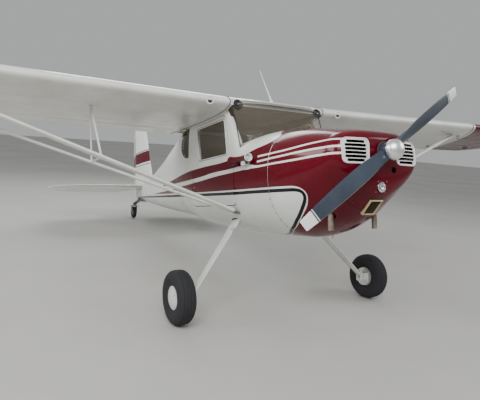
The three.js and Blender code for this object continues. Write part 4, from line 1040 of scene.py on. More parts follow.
@dataclass(frozen=True)
class FinScheme(Finish):
    """Gloss enamel of the fin and rudder: white with one red band between thin dark lines."""

    levels: tuple[float, ...] = (1.545, 1.557, 1.585, 1.765, 1.775, 1.787)

    def colour_socket(self, tree: Tree, slow: Socket) -> Socket:
        """Bands by height over the white.

        Args:
            tree: Node tree of the material.
            slow: Slow noise of the finish.

        Returns:
            Socket of the finished colour.
        """
        place = node(tree, "Attribute", attribute_name="airframe").outputs["Vector"]
        z = node(tree, "SeparateXYZ", {0: place}).outputs[2]
        colours = (LINE_BLACK, WHITE, MAROON, WHITE, LINE_BLACK, WHITE)
        base = Finish.colour_socket(self, tree, slow)
        return layered(tree, base, *((mask(tree, z, level), colour)
                                     for level, colour in zip(self.levels, colours)))


@dataclass(frozen=True)
class BladePaint(Finish):
    """Satin blade paint with a white tip, one thin white ring and a worn leading edge."""

    ring_at: tuple[float, float] = (0.866, 0.873)
    tip_at: float = 0.885
    worn_from: float = 0.965

    def colour_socket(self, tree: Tree, slow: Socket) -> Socket:
        """Dark blades, white by share of the radius.

        Args:
            tree: Node tree of the material.
            slow: Slow noise of the finish.

        Returns:
            Socket of the finished colour.
        """
        at = node(tree, "Attribute", attribute_name="radius_share").outputs["Fac"]
        start, end = (mask(tree, at, limit) for limit in self.ring_at)
        past = node(tree, "Math", {0: 1.0, 1: end}, operation="SUBTRACT").outputs[0]
        ring = chain(tree, "MULTIPLY", start, past)
        front = node(tree, "Attribute", attribute_name="blade_front").outputs["Fac"]
        worn = chain(tree, "MULTIPLY", mask(tree, front, self.worn_from, 0.02),
                     mask(tree, at, 0.22))
        base = Finish.colour_socket(self, tree, slow)
        return layered(tree, base, (worn, "#8d7a66"), (ring, WHITE),
                       (mask(tree, at, self.tip_at), WHITE))


@dataclass(frozen=True)
class ClearAcrylic(Finish):
    """Clear acrylic sheet: see-through by coverage, so that light falls on what is behind it."""

    cover: float = 0.12

    def dress(self, tree: Tree, shader: bpy.types.Node) -> None:
        """Lets light through and keeps the gloss.

        Args:
            tree: Node tree of the material.
            shader: The material's main shader.
        """
        shader.inputs["Base Color"].default_value = linear(self.colour)
        shader.inputs["Alpha"].default_value = self.cover
        _, slow = self.drifting(tree)
        rough = node(tree, "MapRange",
                     {"Value": slow, "To Min": 0.01, "To Max": self.roughness}).outputs[0]
        tree.links.new(rough, shader.inputs["Roughness"])


# Gloss enamel over sheet metal: clean highlights, with a faint orange peel that softens them
GLOSS = {"roughness": 0.16, "ior": 1.27, "coat": 0.10, "coat_roughness": 0.04, "grain_mm": 9.0,
         "grain_depth_mm": 0.012}
FLASH_ENAMEL = SideScheme("gloss_enamel_side_flash", WHITE, "#d8d8d3", **GLOSS)
WING_ENAMEL = WingScheme("gloss_enamel_wing", WHITE, CREAM, **GLOSS)
FIN_ENAMEL = FinScheme("gloss_enamel_fin", WHITE, "#d8d8d3", **GLOSS)
WHITE_ENAMEL = Finish("gloss_enamel_white", WHITE, CREAM, **GLOSS)
RED_ENAMEL = Finish("gloss_enamel_maroon", MAROON, MAROON_LIGHT, **GLOSS)
BLACK_ENAMEL = Finish("gloss_enamel_black", LINE_BLACK, "#1c1d22", **GLOSS)
# Satin paint on a metal blade: a soft wide highlight along its cambered back
BLADE_PAINT = BladePaint("satin_blade_paint", "#2b3440", "#333d4a", 0.30, coat=0.25, grain_mm=2.0)
# Buffed aluminium: mirror bright with fine turned marks
POLISHED = Finish("polished_aluminium", "#b4b6b9", "#a6a8ac", 0.14, metallic=1.0, drift_mm=60,
                  grain_mm=1.2, grain_depth_mm=0.01)
# Rolled sheet as it leaves the mill: a dull grey sheen that changes from patch to patch
SHEET_ALUMINIUM = Finish("mill_finish_aluminium", "#a9acae", "#989b9e", 0.38, metallic=1.0,
                         drift_mm=90)
# Zinc plating: a cool grey metal with a fine uneven grain
STEEL = Finish("zinc_plated_steel", "#8f9193", "#7b7d80", 0.42, metallic=0.9, drift_mm=30,
               grain_mm=1.5)
# Exhaust steel goes brown and chalky with heat
EXHAUST = Finish("heat_stained_exhaust_steel", "#a2978a", "#6f6155", 0.55, metallic=0.7,
                 drift_mm=45, grain_mm=2.0, grain_depth_mm=0.08)
# Sand casting: dark grey and gritty, with hardly a highlight
CAST_METAL = Finish("sand_cast_engine_metal", "#4a4c4e", "#3a3c3e", 0.65, metallic=0.5, drift_mm=60,
                    grain_mm=2.5, grain_depth_mm=0.25)
# Moulded tyre rubber: a dull near-black with a faint dusty drift
RUBBER = Finish("tyre_rubber", "#1a1a1b", "#232322", 0.78, drift_mm=120, grain_mm=1.8,
                grain_depth_mm=0.12)
# Extruded rubber: a thin black line with a weak shine. The same black also paints the shade inside
# the exhaust bores and air ports and behind the grilles
GASKET_AND_SHADE = Finish("black_gasket_rubber_and_painted_shade", "#121213", "#1b1b1b", 0.6, grain_mm=2.0, grain_depth_mm=0.03)
# Crackle-finished plastic: black with a fine pebbled surface that breaks up highlights
BLACK_MOULDED = Finish("black_crackle_plastic", "#1c1d1e", "#242526", 0.62, grain_mm=1.6,
                       grain_depth_mm=0.12)
# Woven headliner cloth: warm and matt, with its threads drawn coarse enough to show
LINING = Finish("beige_headliner_cloth", "#b7a78e", "#a8987f", 0.9, grain_mm=2.2,
                grain_depth_mm=0.25)
# Extruded trim: a plain mid-grey edge to the glass, whose grey also paints the shade along the
# windshield's head
TRIM_AND_SHADE_STRIP = Finish("grey_trim_and_shade_strip", "#918c84", "#827e77", 0.5, grain_mm=2.0)
# Cut-pile carpet: dark brown and rough, with its tufts drawn coarse enough to show
FLOOR_LINING = Finish("brown_cabin_carpet", "#4d4038", "#41352e", 0.95, grain_mm=4.0,
                      grain_depth_mm=0.8)
# Embossed vinyl: warm brown with a soft sheen over a fine leather grain
SEAT_VINYL = Finish("brown_seat_vinyl", "#6a5040", "#5a4335", 0.5, grain_mm=1.8,
                    grain_depth_mm=0.15)
# Pale brass sheet: a warm dull frame round the dark mesh
BRASS = Finish("brass_filter_frame", "#d3bd97", "#c4ab80", 0.5, metallic=0.3, drift_mm=30)
# Oiled wire cloth: dark and slightly green, with glints on the crossing wires
FILTER_MESH = Finish("oiled_wire_mesh", "#4c4a30", "#3b3a26", 0.7, metallic=0.3, grain_mm=3.0,
                     grain_depth_mm=0.6)
# Pressed lamp glass: nearly clear, with a bright rim where it curves
LENS = ClearAcrylic("clear_lamp_glass", "#5a5c5e", "#5a5c5e", 0.04, ior=2.6, cover=0.2)
# Cast acrylic sheet: a faint warm tint and a sharp reflection over what lies behind
ACRYLIC = ClearAcrylic("clear_acrylic_sheet", "#8f897c", "#8f897c", 0.03, ior=2.6)
# Dyed lamp glass: a deep colour under a wet-looking surface
RED_LENS = Finish("red_lamp_lens", "#8a1010", "#7a0d0d", 0.1, coat=1.0)
GREEN_LENS = Finish("green_lamp_lens", "#0f6a35", "#0d5c2e", 0.1, coat=1.0)
# Matt printed card: black without a highlight, so that the white marks stand out
DIAL_FACE = Finish("matt_black_dial_face", "#101113", "#16181a", 0.5)
DIAL_MARKS = Finish("white_dial_marking", "#c8c8c4", "#b8b8b4", 0.6)
# Studio ground: pale, matt and a little cloudy over metres
CONCRETE = Finish("pale_sealed_floor", "#b9b8b4", "#b0afab", 0.6, drift_mm=2500,
                  roughness_drift=0.1, grain_mm=30.0, grain_depth_mm=0.2)


# Placing pieces

def put(form: Form, name: str, finish: Finish, body: str = "airframe", replaces: Iterable[str] = (),
        sharp: float = 32.0,
        marks: Callable[[np.ndarray], dict[str, np.ndarray]] | None = None,
        linings: Callable[[np.ndarray], np.ndarray] | None = None,
        lining: Finish | None = None) -> bpy.types.Object:
    """Makes a form a piece of the aircraft.

    Args:
        form: The finished shape in airframe metres.
        name: Name of the piece.
        finish: Its finish.
        body: Body that it moves with.
        replaces: Nodes of the frame that it stands for.
        sharp: Edges that turn by more degrees than this stay crisp.
        marks: Gives the painting attributes at the vertices.
        linings: Gives which faces carry the second finish, by their centres.
        lining: The second finish.

    Returns:
        The piece.
    """
    bm = form.bm
    bmesh.ops.recalc_face_normals(bm, faces=bm.faces)
    limit = math.radians(sharp)
    for face in bm.faces:
        face.smooth = True
    for edge in bm.edges:
        edge.smooth = len(edge.link_faces) == 2 and edge.calc_face_angle(0.0) < limit
    mesh = bpy.data.meshes.new(name)
    bm.to_mesh(mesh)
    places = form.positions()
    for key, values in (marks(places) if marks else {}).items():
        kind = "FLOAT_VECTOR" if values.ndim == 2 else "FLOAT"
        attribute = mesh.attributes.new(key, kind, "POINT")
        attribute.data.foreach_set("vector" if values.ndim == 2 else "value",
                                   values.astype(np.float32).ravel())
    mesh.materials.append(finish.material())
    if linings and lining:
        mesh.materials.append(lining.material())
        centres = np.array([face.calc_center_median() for face in bm.faces])
        mesh.polygons.foreach_set("material_index", linings(centres).astype(np.int32))
    bm.free()
    mesh.transform(PARKED)
    made = bpy.data.objects.new(name, mesh)
    bpy.context.scene.collection.objects.link(made)
    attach(made, body)
    if replaces:
        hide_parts(*replaces)
    LOG.info("%s: %d faces on %s", name, len(mesh.polygons), body)
    return made


# The painted lines of the side, as x and z in metres from nose to tail
FLASH_TOP = ((0.75, 1.40), (0.66, 1.335), (0.584, 1.280), (0.525, 1.272), (0.4575, 1.2304),
             (0.2996, 1.2013), (0.1128, 1.1681), (-0.2256, 1.1447), (-0.6283, 1.1443),
             (-1.0525, 1.1336), (-1.662, 1.0964), (-2.35, 1.058), (-3.2, 1.02), (-4.5, 0.97))
FLASH_LOW = ((0.09, 0.472), (0.25, 0.474), (0.3716, 0.4816), (0.500, 0.5130), (0.6107, 0.5522),
             (0.712, 0.6133), (0.8186, 0.6925), (0.8682, 0.750), (0.8861, 0.7979), (0.8645, 0.835),
             (0.8139, 0.8575), (0.7388, 0.8635), (0.5326, 0.8680), (-0.0115, 0.8800),
             (-0.5799, 0.8950), (-1.268, 0.922), (-2.005, 0.955), (-2.609, 0.983), (-4.008, 1.038),
             (-4.5, 1.057))
BLACK_LINE = ((0.0, 0.474), (0.2, 0.479), (0.32, 0.4865), (0.4302, 0.5021), (0.5775, 0.550),
              (0.6695, 0.6034), (0.7432, 0.6541), (0.81, 0.7128), (0.853, 0.7605), (0.864, 0.7893),
              (0.8564, 0.812), (0.8341, 0.826), (0.795, 0.8325), (0.6645, 0.836), (0.5265, 0.839),
              (0.2089, 0.8460), (-0.0176, 0.8505), (-0.5859, 0.8680), (-1.378, 0.8985),
              (-4.1344, 1.0130), (-4.5, 1.025))
WEDGE_TOP = ((1.30, 1.064), (1.2041, 1.0641), (1.1265, 1.0669), (1.0069, 1.0651), (0.8741, 1.0596),
             (0.7237, 1.0567), (0.5391, 1.0545), (0.385, 1.056), (0.2057, 1.077), (-0.1249, 1.0702),
             (-0.3941, 1.0687), (-0.6956, 1.0522), (-1.0577, 1.0443), (-1.693, 1.048),
             (-2.35, 1.058), (-4.5, 1.07))
WEDGE_LOW = ((1.30, 1.049), (1.2041, 1.0491), (1.1265, 1.0519), (1.0069, 1.0501), (0.8741, 1.0446),
             (0.7237, 1.0417), (0.5391, 1.0395), (0.385, 1.0375), (0.2057, 1.0405),
             (-0.1264, 1.0340), (-0.3958, 1.0270), (-0.6972, 1.0110), (-1.0592, 0.9990),
             (-1.977, 0.991), (-2.831, 0.995), (-4.5, 0.96))
STRIPE_ONE = ((0.30, 1.129), (0.3664, 1.1299), (0.518, 1.1315), (0.7032, 1.1375), (0.8494, 1.1486),
              (0.979, 1.1581), (1.095, 1.1622), (1.157, 1.1585), (1.192, 1.1551), (1.30, 1.15))
STRIPE_TWO = ((0.30, 1.084), (0.3744, 1.0865), (0.5314, 1.0914), (0.716, 1.0979), (0.8654, 1.1053),
              (0.999, 1.1093), (1.1213, 1.1092), (1.202, 1.1051), (1.30, 1.10))
# How far forward the white round the windshield reaches, by distance from the middle
CRESCENT_Y = (0.0, 0.20, 0.30, 0.35, 0.50)
CRESCENT_X = (0.345, 0.365, 0.43, 0.50, 0.62)
# Where the edge of the wing's red panel starts, and how far it slants outwards towards the tail
PANEL_X, PANEL_Y, PANEL_SLANT = 0.037, 2.99, 0.67


def side_marks(places: np.ndarray) -> dict[str, np.ndarray]:
    """Distances from the painted lines at each vertex of the fuselage.

    Args:
        places: Vertices in airframe metres.

    Returns:
        The attributes that the side scheme reads.
    """
    side, out = places[:, (0, 2)], outward_on_hull(places)[:, (0, 2)]
    top, low, wedge_top, wedge_low, first, second, black = (
        signed_distance(side, smooth_line(line), out)
        for line in (FLASH_TOP, FLASH_LOW, WEDGE_TOP, WEDGE_LOW, STRIPE_ONE, STRIPE_TWO,
                     BLACK_LINE))
    reach = np.interp(np.abs(places[:, 1]), CRESCENT_Y, CRESCENT_X)
    crescent = np.minimum(-top, reach - places[:, 0])
    edges = np.stack([-crescent, -low, wedge_top], axis=1)
    stripes = np.stack([-wedge_low, first, second], axis=1)
    return {"flash_edges": edges, "flash_stripes": stripes, "black_line": black, "airframe": places}


def panel_marks(places: np.ndarray) -> dict[str, np.ndarray]:
    """Distance outboard of the slanting edge of the wing's red panel."""
    past = np.abs(places[:, 1]) - PANEL_Y + PANEL_SLANT * (places[:, 0] - PANEL_X)
    return {"panel_edge": past / math.hypot(1, PANEL_SLANT)}


def place_marks(places: np.ndarray) -> dict[str, np.ndarray]:
    """Airframe coordinates at each vertex."""
    return {"airframe": places}


# Fuselage

INLET_Y, INLET_Z = 0.247, 1.077
INLET_HALF_WIDE, INLET_HALF_TALL, INLET_CORNER = 0.1125, 0.0865, 0.046
STACK_X, STACK_Y = 0.918, 0.222
DOOR_OUTLINE = ((-2, 742), (-2, 1205), (-148, 1578), (-872, 1578), (-930, 1190), (-930, 760))
DOOR_WINDOW = ((-112, 1201), (-153, 1547), (-767, 1549), (-722, 1209))
WINDSHIELD_HALF = 0.488
LINING_FOOT, LINING_TOP = 0.50, 1.655


def in_metres(outline: Iterable[Point]) -> list[tuple[float, float]]:
    """Turns an outline from millimetres to metres."""
    return [(a * MM, b * MM) for a, b in outline]


def shrunk(outline: Sequence[Point], by: float) -> list[tuple[float, float]]:
    """Moves each corner of an outline towards its middle along both axes.

    Args:
        outline: Corners of the outline.
        by: How far each moves along each axis.

    Returns:
        The moved corners.
    """
    middle = np.mean(np.array(outline), axis=0)
    return [(a + math.copysign(by, middle[0] - a), b + math.copysign(by, middle[1] - b))
            for a, b in outline]


def quarter_outline(gap: float = 0.0) -> list[tuple[float, float]]:
    """Outline of the D-shaped window behind each door.

    Args:
        gap: How far the outline is drawn in.

    Returns:
        Points of the outline in metres.
    """
    points = [(-1.000 - gap, 1.290 + gap), (-0.968 - gap, 1.590 - gap)]
    for turn in np.linspace(math.pi / 2, 3 * math.pi / 2, 25):
        points.append((-1.028 + (0.195 - gap) * math.cos(turn),
                       1.440 + (0.150 - gap) * math.sin(turn)))
    return points


def windshield_foot(y: float) -> float:
    """How far forward the windshield's foot lies at a distance from the middle."""
    across = min(abs(y) / WINDSHIELD_HALF, 1.0)
    return 0.072 + 0.220 * (1 - across ** 2.4)


def hull_wall(front: float, rear: float, wall: float, step: float = 0.02, count: int = 180,
              proud: float = 0.0) -> Form:
    """A length of the fuselage's skin with a wall thickness."""
    return Form().sheet(HULL.skin(front, rear, step, count, proud),
                        around=True).outward().thickened(wall)


def side_prism(outline: Sequence[Point], side: Side, start: float = 0.30,
               end: float = 0.62) -> Form:
    """A prism of a side-view outline that runs out through one side of the fuselage."""
    return Form().prism(outline, side_view, side.value * start, side.value * end)


def inside(places: np.ndarray, wall: float = WALL) -> np.ndarray:
    """Tells which face centres lie on the inner side of a wall of the cabin.

    Args:
        places: Face centres in airframe metres.
        wall: Thickness of the wall.

    Returns:
        One truth value a face centre.
    """
    outer = np.array([abs(HULL.at_height(x, z)[1]) for x, _, z in places])
    level = places[:, 2]
    within = np.abs(places[:, 1]) < outer - 0.6 * wall
    return within & (level > LINING_FOOT) & (level < LINING_TOP)


def edge_line(form: Form, outline: Sequence[Point], radius: float, proud: float = 0.001,
              side_y: Callable[[float, float], float] | None = None) -> Form:
    """Lays a thin closed bead along a side-view outline on the fuselage's port side.

    Args:
        form: Form that takes in the bead.
        outline: Closed outline of x and z in metres.
        radius: Radius of the bead.
        proud: How far its middle stands off the skin.
        side_y: Gives the skin's y at x and z, where it isn't the fuselage's.

    Returns:
        The form.
    """
    path = []
    loop = list(outline) + [outline[0]]
    for start, end in zip(loop, loop[1:]):
        count = max(1, int(math.dist(start, end) / 0.03))
        for t in np.linspace(0, 1, count, endpoint=False):
            x, z = start[0] + (end[0] - start[0]) * t, start[1] + (end[1] - start[1]) * t
            y = side_y(x, z) if side_y else HULL.at_height(x, z)[1]
            path.append((x, y + proud, z))
    return form.tube(path, radius, sides=8, closed=True)


def fastener_row(form: Form, places: Iterable[tuple[np.ndarray, np.ndarray]], radius: float,
                 height: float = 0.0012) -> Form:
    """Sets small domed heads on a surface, each by its place and its outward direction.

    Args:
        form: Form that takes in the heads.
        places: Place and outward direction of each.
        radius: Radius of a head.
        height: How far a head stands out.

    Returns:
        The form.
    """
    for place, out in places:
        form.rod(place - 0.001 * out, place + height * out, radius, 0.7 * radius, sides=10)
    return form


@dataclass
class Fuselage:
    """The riveted skins of the body: nose bowl, cowling, cabin and tail cone."""

    bowl_wall: float = 0.006
    cowl_wall: float = 0.007
    shaft_hole: tuple[float, float, float] = (0.0, SHAFT_Z, 0.058)
    lamp_hole: tuple[float, float, float] = (0.0, 0.831, 0.0375)
    vent_hole: tuple[float, float, float] = (0.105, 0.952, 0.0235)
    stack_hole: float = 0.033
    lap_seams: tuple[Point, ...] = ((FIREWALL_X, 0.0028), (CABIN_END_X, 0.0025), (-2.1, 0.0018),
                                    (-2.75, 0.0018), (-3.4, 0.0018), (-3.85, 0.0018))
    rivet_rings: tuple[float, ...] = (-1.46, -2.085, -2.735, -3.385, -3.835)
    post_screws: tuple[Point, ...] = ((-0.133, 1.570), (-0.130, 1.537), (-0.118, 1.505))
    floor_level: float = 0.56
    headliner_level: float = 1.648
    lug_levels: tuple[float, ...] = (0.70, 0.78, 0.86, 0.94, 1.02, 1.10, 1.18)
    shaft_lip: tuple[Point, ...] = ((0.052, -0.004), (0.058, -0.004), (0.060, 0.002),
                                    (0.055, 0.004), (0.052, -0.004))

    def build(self) -> None:
        """Builds every skin and its trim."""
        self.nose_bowl()
        self.cowling()
        self.cabin()
        self.tail_cone()
        self.seams()
        self.linings()

    def nose_bowl(self) -> None:
        """The rounded front shell with its inlets, lamp, filter and shaft holes."""
        rows = list(HULL.skin(NOSE_X, BOWL_X + 0.0006, 0.008, 160))
        front = rows[0]
        middle = front.mean(axis=0)
        for scale in (0.9, 0.75, 0.55, 0.35, 0.15, 0.03):
            ring = middle + (front - middle) * scale
            ring[:, 0] = NOSE_X + 0.006 * (1 - scale ** 2)
            rows.insert(0, ring)
        bowl = Form().sheet(np.array(rows), around=True)
        rim = [edge for edge in bowl.bm.edges if edge.is_boundary
               and edge.verts[0].co.x > NOSE_X]
        bmesh.ops.holes_fill(bowl.bm, edges=rim, sides=0)
        bowl.outward().thickened(self.bowl_wall)
        vent_y, vent_z, vent_radius = self.vent_hole
        holes = [self.shaft_hole, self.lamp_hole, self.vent_hole, (-vent_y, vent_z, vent_radius)]
        tools = [Form().rod((1.06, y, z), (1.40, y, z), radius, sides=32) for y, z, radius in holes]
        tools += [Form().prism(inlet_outline(side, 0.0), front_view, 0.98, 1.40) for side in Side]
        tools.append(filter_block(0.0004, 0.04))
        bowl.cut(Cut.AWAY, *tools)
        put(bowl, "nose_bowl_skin", FLASH_ENAMEL, replaces=["nose_bowl"],
            marks=side_marks)
        ring = Form().lathe(self.shaft_lip, (1, 0, 0), (1.2375, 0, SHAFT_Z), 40)
        put(ring, "shaft_hole_lip", RED_ENAMEL)

    def cowling(self) -> None:
        """The engine cowling, with a hole for each exhaust stack."""
        cowl = hull_wall(BOWL_X - 0.0006, FIREWALL_X + 0.0006, self.cowl_wall, 0.016, 200)
        x = STACK_X + 0.008
        tools = [Form().rod((x, side.value * STACK_Y, 0.40), (x, side.value * STACK_Y, 0.72),
                            self.stack_hole, sides=28) for side in Side]
        cowl.cut(Cut.AWAY, *tools)
        put(cowl, "cowling_skin", FLASH_ENAMEL, replaces=["cowling"],
            marks=side_marks)

    def cabin(self) -> None:
        """The cabin shell with its door, window and windshield openings, and the roof over it."""
        shell = hull_wall(FIREWALL_X, CABIN_END_X, WALL, 0.02, 200)
        half = WINDSHIELD_HALF - WALL
        plan = [(-0.500, -half), (-0.500, half)]
        plan += [(windshield_foot(y) - 0.014, y) for y in np.linspace(half, -half, 33)]
        tools = [Form().block((-1.30, -0.48, 1.55), (-0.06, 0.48, 1.75), 0.01),
                 Form().prism(plan, plan_view, 1.235, 1.700)]
        for side in Side:
            tools.append(side_prism(rounded_outline(in_metres(DOOR_OUTLINE), 0.055), side))
            tools.append(side_prism(quarter_outline(), side))
        shell.cut(Cut.AWAY, *tools)
        put(shell, "cabin_skin", FLASH_ENAMEL, replaces=["cabin"],
            marks=side_marks, linings=inside, lining=LINING)
        self.roof()

    def roof(self) -> None:
        """The skin between the wing roots, which carries on the wing's own section."""
        loop = foil_loop(0.0, 0.985, 44)
        spans = np.linspace(-WING["root"], WING["root"], 9)
        rows = []
        for y in spans:
            ring = np.array([wing_point(s, h, WING["root"]) for s, h in loop])
            ring[:, 1] = y
            rows.append(ring)
        roof = Form().sheet(np.array(rows), around=True, capped=True)
        room = Form().block((-1.35, -0.502, 1.40), (-0.034, 0.502, 1.66), 0.004)
        nose = Form().block((-0.030, -0.6, 1.2), (0.4, 0.6, 1.90), 0.004)
        roof.outward().cut(Cut.AWAY, room, nose)
        put(roof, "roof_skin", WHITE_ENAMEL)
        trims = Form()
        for side in Side:
            y = side.value * (WING["root"] - 0.004)
            rib = [wing_point(s, h * 1.012, WING["root"]) for s, h in foil_loop(0.0, 0.97, 60)]
            trims.tube([(p[0], y, p[2]) for p in rib], 0.0035, sides=6, closed=True)
        put(trims, "wing_root_seals", GASKET_AND_SHADE)

    def tail_cone(self) -> None:
        """The long tapering skin behind the cabin, with holes for the rudder's foot and the
        elevator's tube.
        """
        rings = HULL.skin(CABIN_END_X - 0.0004, TAIL_END_X, 0.03, 150)
        cone = Form().sheet(rings, around=True, capped=True).outward()
        cone.cut(Cut.AWAY, Form().rod((-4.35, 0, 0.9), (-4.35, 0, 1.5), 0.035, sides=24),
                 Form().rod((-4.24, -0.2, 1.18), (-4.24, 0.2, 1.18), 0.0145, sides=20))
        put(cone, "tail_cone_skin", FLASH_ENAMEL, replaces=["tailcone"],
            marks=side_marks)

    def seams(self) -> None:
        """Lap seams round the body, the fasteners beside them and the rivets of the tail."""
        laps, heads, painted = Form(), Form(), Form()
        painted.tube(HULL.ring(BOWL_SEAM_X, 120, 0.0002), 0.0009, sides=6, closed=True)
        for x, wide in self.lap_seams:
            ring = HULL.ring(x, 120, 0.0002)
            if x == CABIN_END_X:
                ring = ring[ring[:, 2] < LINING_TOP]
                start = int(np.argmax(ring[:, 1] < 0))
                ring = np.roll(ring, -start, axis=0)
            laps.tube(ring, wide * 0.5, sides=6, closed=x != CABIN_END_X)
        for level in np.arange(0.50, 0.86, 0.055):
            x = FIREWALL_X - 0.014
            fastener_row(heads, [(HULL.at_height(x, level), HULL.normal(x, level))], 0.0065)
        places = []
        for level in self.lug_levels:
            spot = HULL.at_height(BOWL_SEAM_X - 0.018, level)
            places.append((spot, HULL.normal(BOWL_SEAM_X - 0.018, level)))
        for x in np.arange(0.60, 1.05, 0.09):
            spot = HULL.at_height(x, 0.60)
            places.append((spot, HULL.normal(x, 0.60)))
        put(fastener_row(Form(), places, 0.0050).both_sides().joined(painted), "cowling_screws",
            FLASH_ENAMEL, marks=side_marks)
        heads.both_sides()
        put(laps, "skin_lap_seams", SHEET_ALUMINIUM)
        put(heads, "cowling_fasteners", CAST_METAL)
        screws = Form()
        for x, z in self.post_screws:
            fastener_row(screws, [(HULL.at_height(x, z), HULL.normal(x, z))], 0.0045, 0.001)
        put(screws.both_sides(), "post_screws", STEEL)
        rivets = Form()
        rows = []
        for x in self.rivet_rings:
            low, high = HULL.section(x)[2] + 0.04, HULL.section(x)[1] - 0.03
            for z in np.arange(low, high, 0.04):
                rows.append((HULL.at_height(x, z), HULL.normal(x, z)))
        fastener_row(rivets, rows, 0.0022, 0.0006)
        rivets.both_sides()
        put(rivets, "tail_rivets", WHITE_ENAMEL)

    def linings(self) -> None:
        """Firewall, floor and headliner, which close the cabin's view from inside."""
        inner = HULL.ring(FIREWALL_X - 0.004, 120, -0.024)
        wall = Form().sheet(np.array([inner, inner - (0.006, 0, 0)]), around=True, capped=True)
        put(wall, "firewall", SHEET_ALUMINIUM)
        floor_rows = []
        for x in np.linspace(0.50, -1.36, 30):
            level = max(self.floor_level, HULL.section(x)[2] + 0.052)
            reach = HULL.at_height(x, level)[1] - WALL - 0.006
            floor_rows.append([(x, y, level) for y in np.linspace(-reach, reach, 9)])
        carpet = Form().sheet(np.array(floor_rows))
        carpet.bm.normal_update()
        put(carpet.thickened(0.008), "cabin_floor", FLOOR_LINING)
        rows = []
        for x in np.linspace(-0.085, -1.34, 24):
            rows.append([(x, y, self.headliner_level + 0.008 * math.cos(math.pi * y)
                          - 0.006 * math.cos(8 * math.pi * x))
                         for y in np.linspace(-0.495, 0.495, 13)])
        put(Form().sheet(np.array(rows)).thickened(0.003), "headliner", LINING)
        rear = HULL.ring(CABIN_END_X + 0.05, 120, -0.026)
        back = Form().sheet(np.array([rear, rear - (0.006, 0, 0)]), around=True, capped=True)
        put(back, "rear_bulkhead", LINING)


def inlet_outline(side: Side, gap: float) -> list[tuple[float, float]]:
    """Rounded outline of a cooling inlet in the front view.

    Args:
        side: Side of the airframe.
        gap: How far the outline is drawn in.

    Returns:
        Points of y and z in metres.
    """
    y, z = side.value * INLET_Y, INLET_Z
    wide, tall = INLET_HALF_WIDE - gap, INLET_HALF_TALL - gap
    corners = [(y - wide, z - tall), (y + wide, z - tall), (y + wide, z + tall),
               (y - wide, z + tall)]
    return rounded_outline(corners, INLET_CORNER, 8)


FILTER_TOP, FILTER_FOOT = np.array((1.158, 0, 0.742)), np.array((1.063, 0, 0.646))
FILTER_DOWN = unit(FILTER_FOOT - FILTER_TOP)
FILTER_OUT = np.array((-FILTER_DOWN[2], 0, FILTER_DOWN[0]))
FILTER_MIDDLE = (FILTER_TOP + FILTER_FOOT) / 2


def filter_place(down: float, y: float, out: float) -> Point:
    """Place of a point on the air filter's sloping face."""
    return tuple(FILTER_MIDDLE + FILTER_DOWN * down + FILTER_OUT * out + np.array((0, y, 0)))


def filter_block(gap: float, past: float, half: float = 0.060, long: float = 0.070) -> Form:
    """The block that the air filter fills in the chin of the bowl.

    Args:
        gap: How far the outline is let out.
        past: How far the block reaches both ways.
        half: Half of its width.
        long: Half of its length.

    Returns:
        The block.
    """
    outline = [(-long - gap, -half - gap), (-long - gap, half + gap), (long + gap, half + gap),
               (long + gap, -half - gap)]
    return Form().prism(outline, filter_place, -past, past)


def bowl_x(y: float, z: float) -> float:
    """Station at which the nose bowl's outside passes a point of the front view.

    Args:
        y: Distance to port.
        z: Height of the point.

    Returns:
        The station in metres.
    """
    low, high = BOWL_X, NOSE_X
    for _ in range(24):
        middle = (low + high) / 2
        half, top, bottom, waist, power_up, power_down = HULL.section(middle)
        upper = z > waist
        power = power_up if upper else power_down
        tall = (top - waist) if upper else (waist - bottom)
        outside = (abs(y) / half) ** power + (abs(z - waist) / tall) ** power > 1
        low, high = (low, middle) if outside else (middle, high)
    return (low + high) / 2


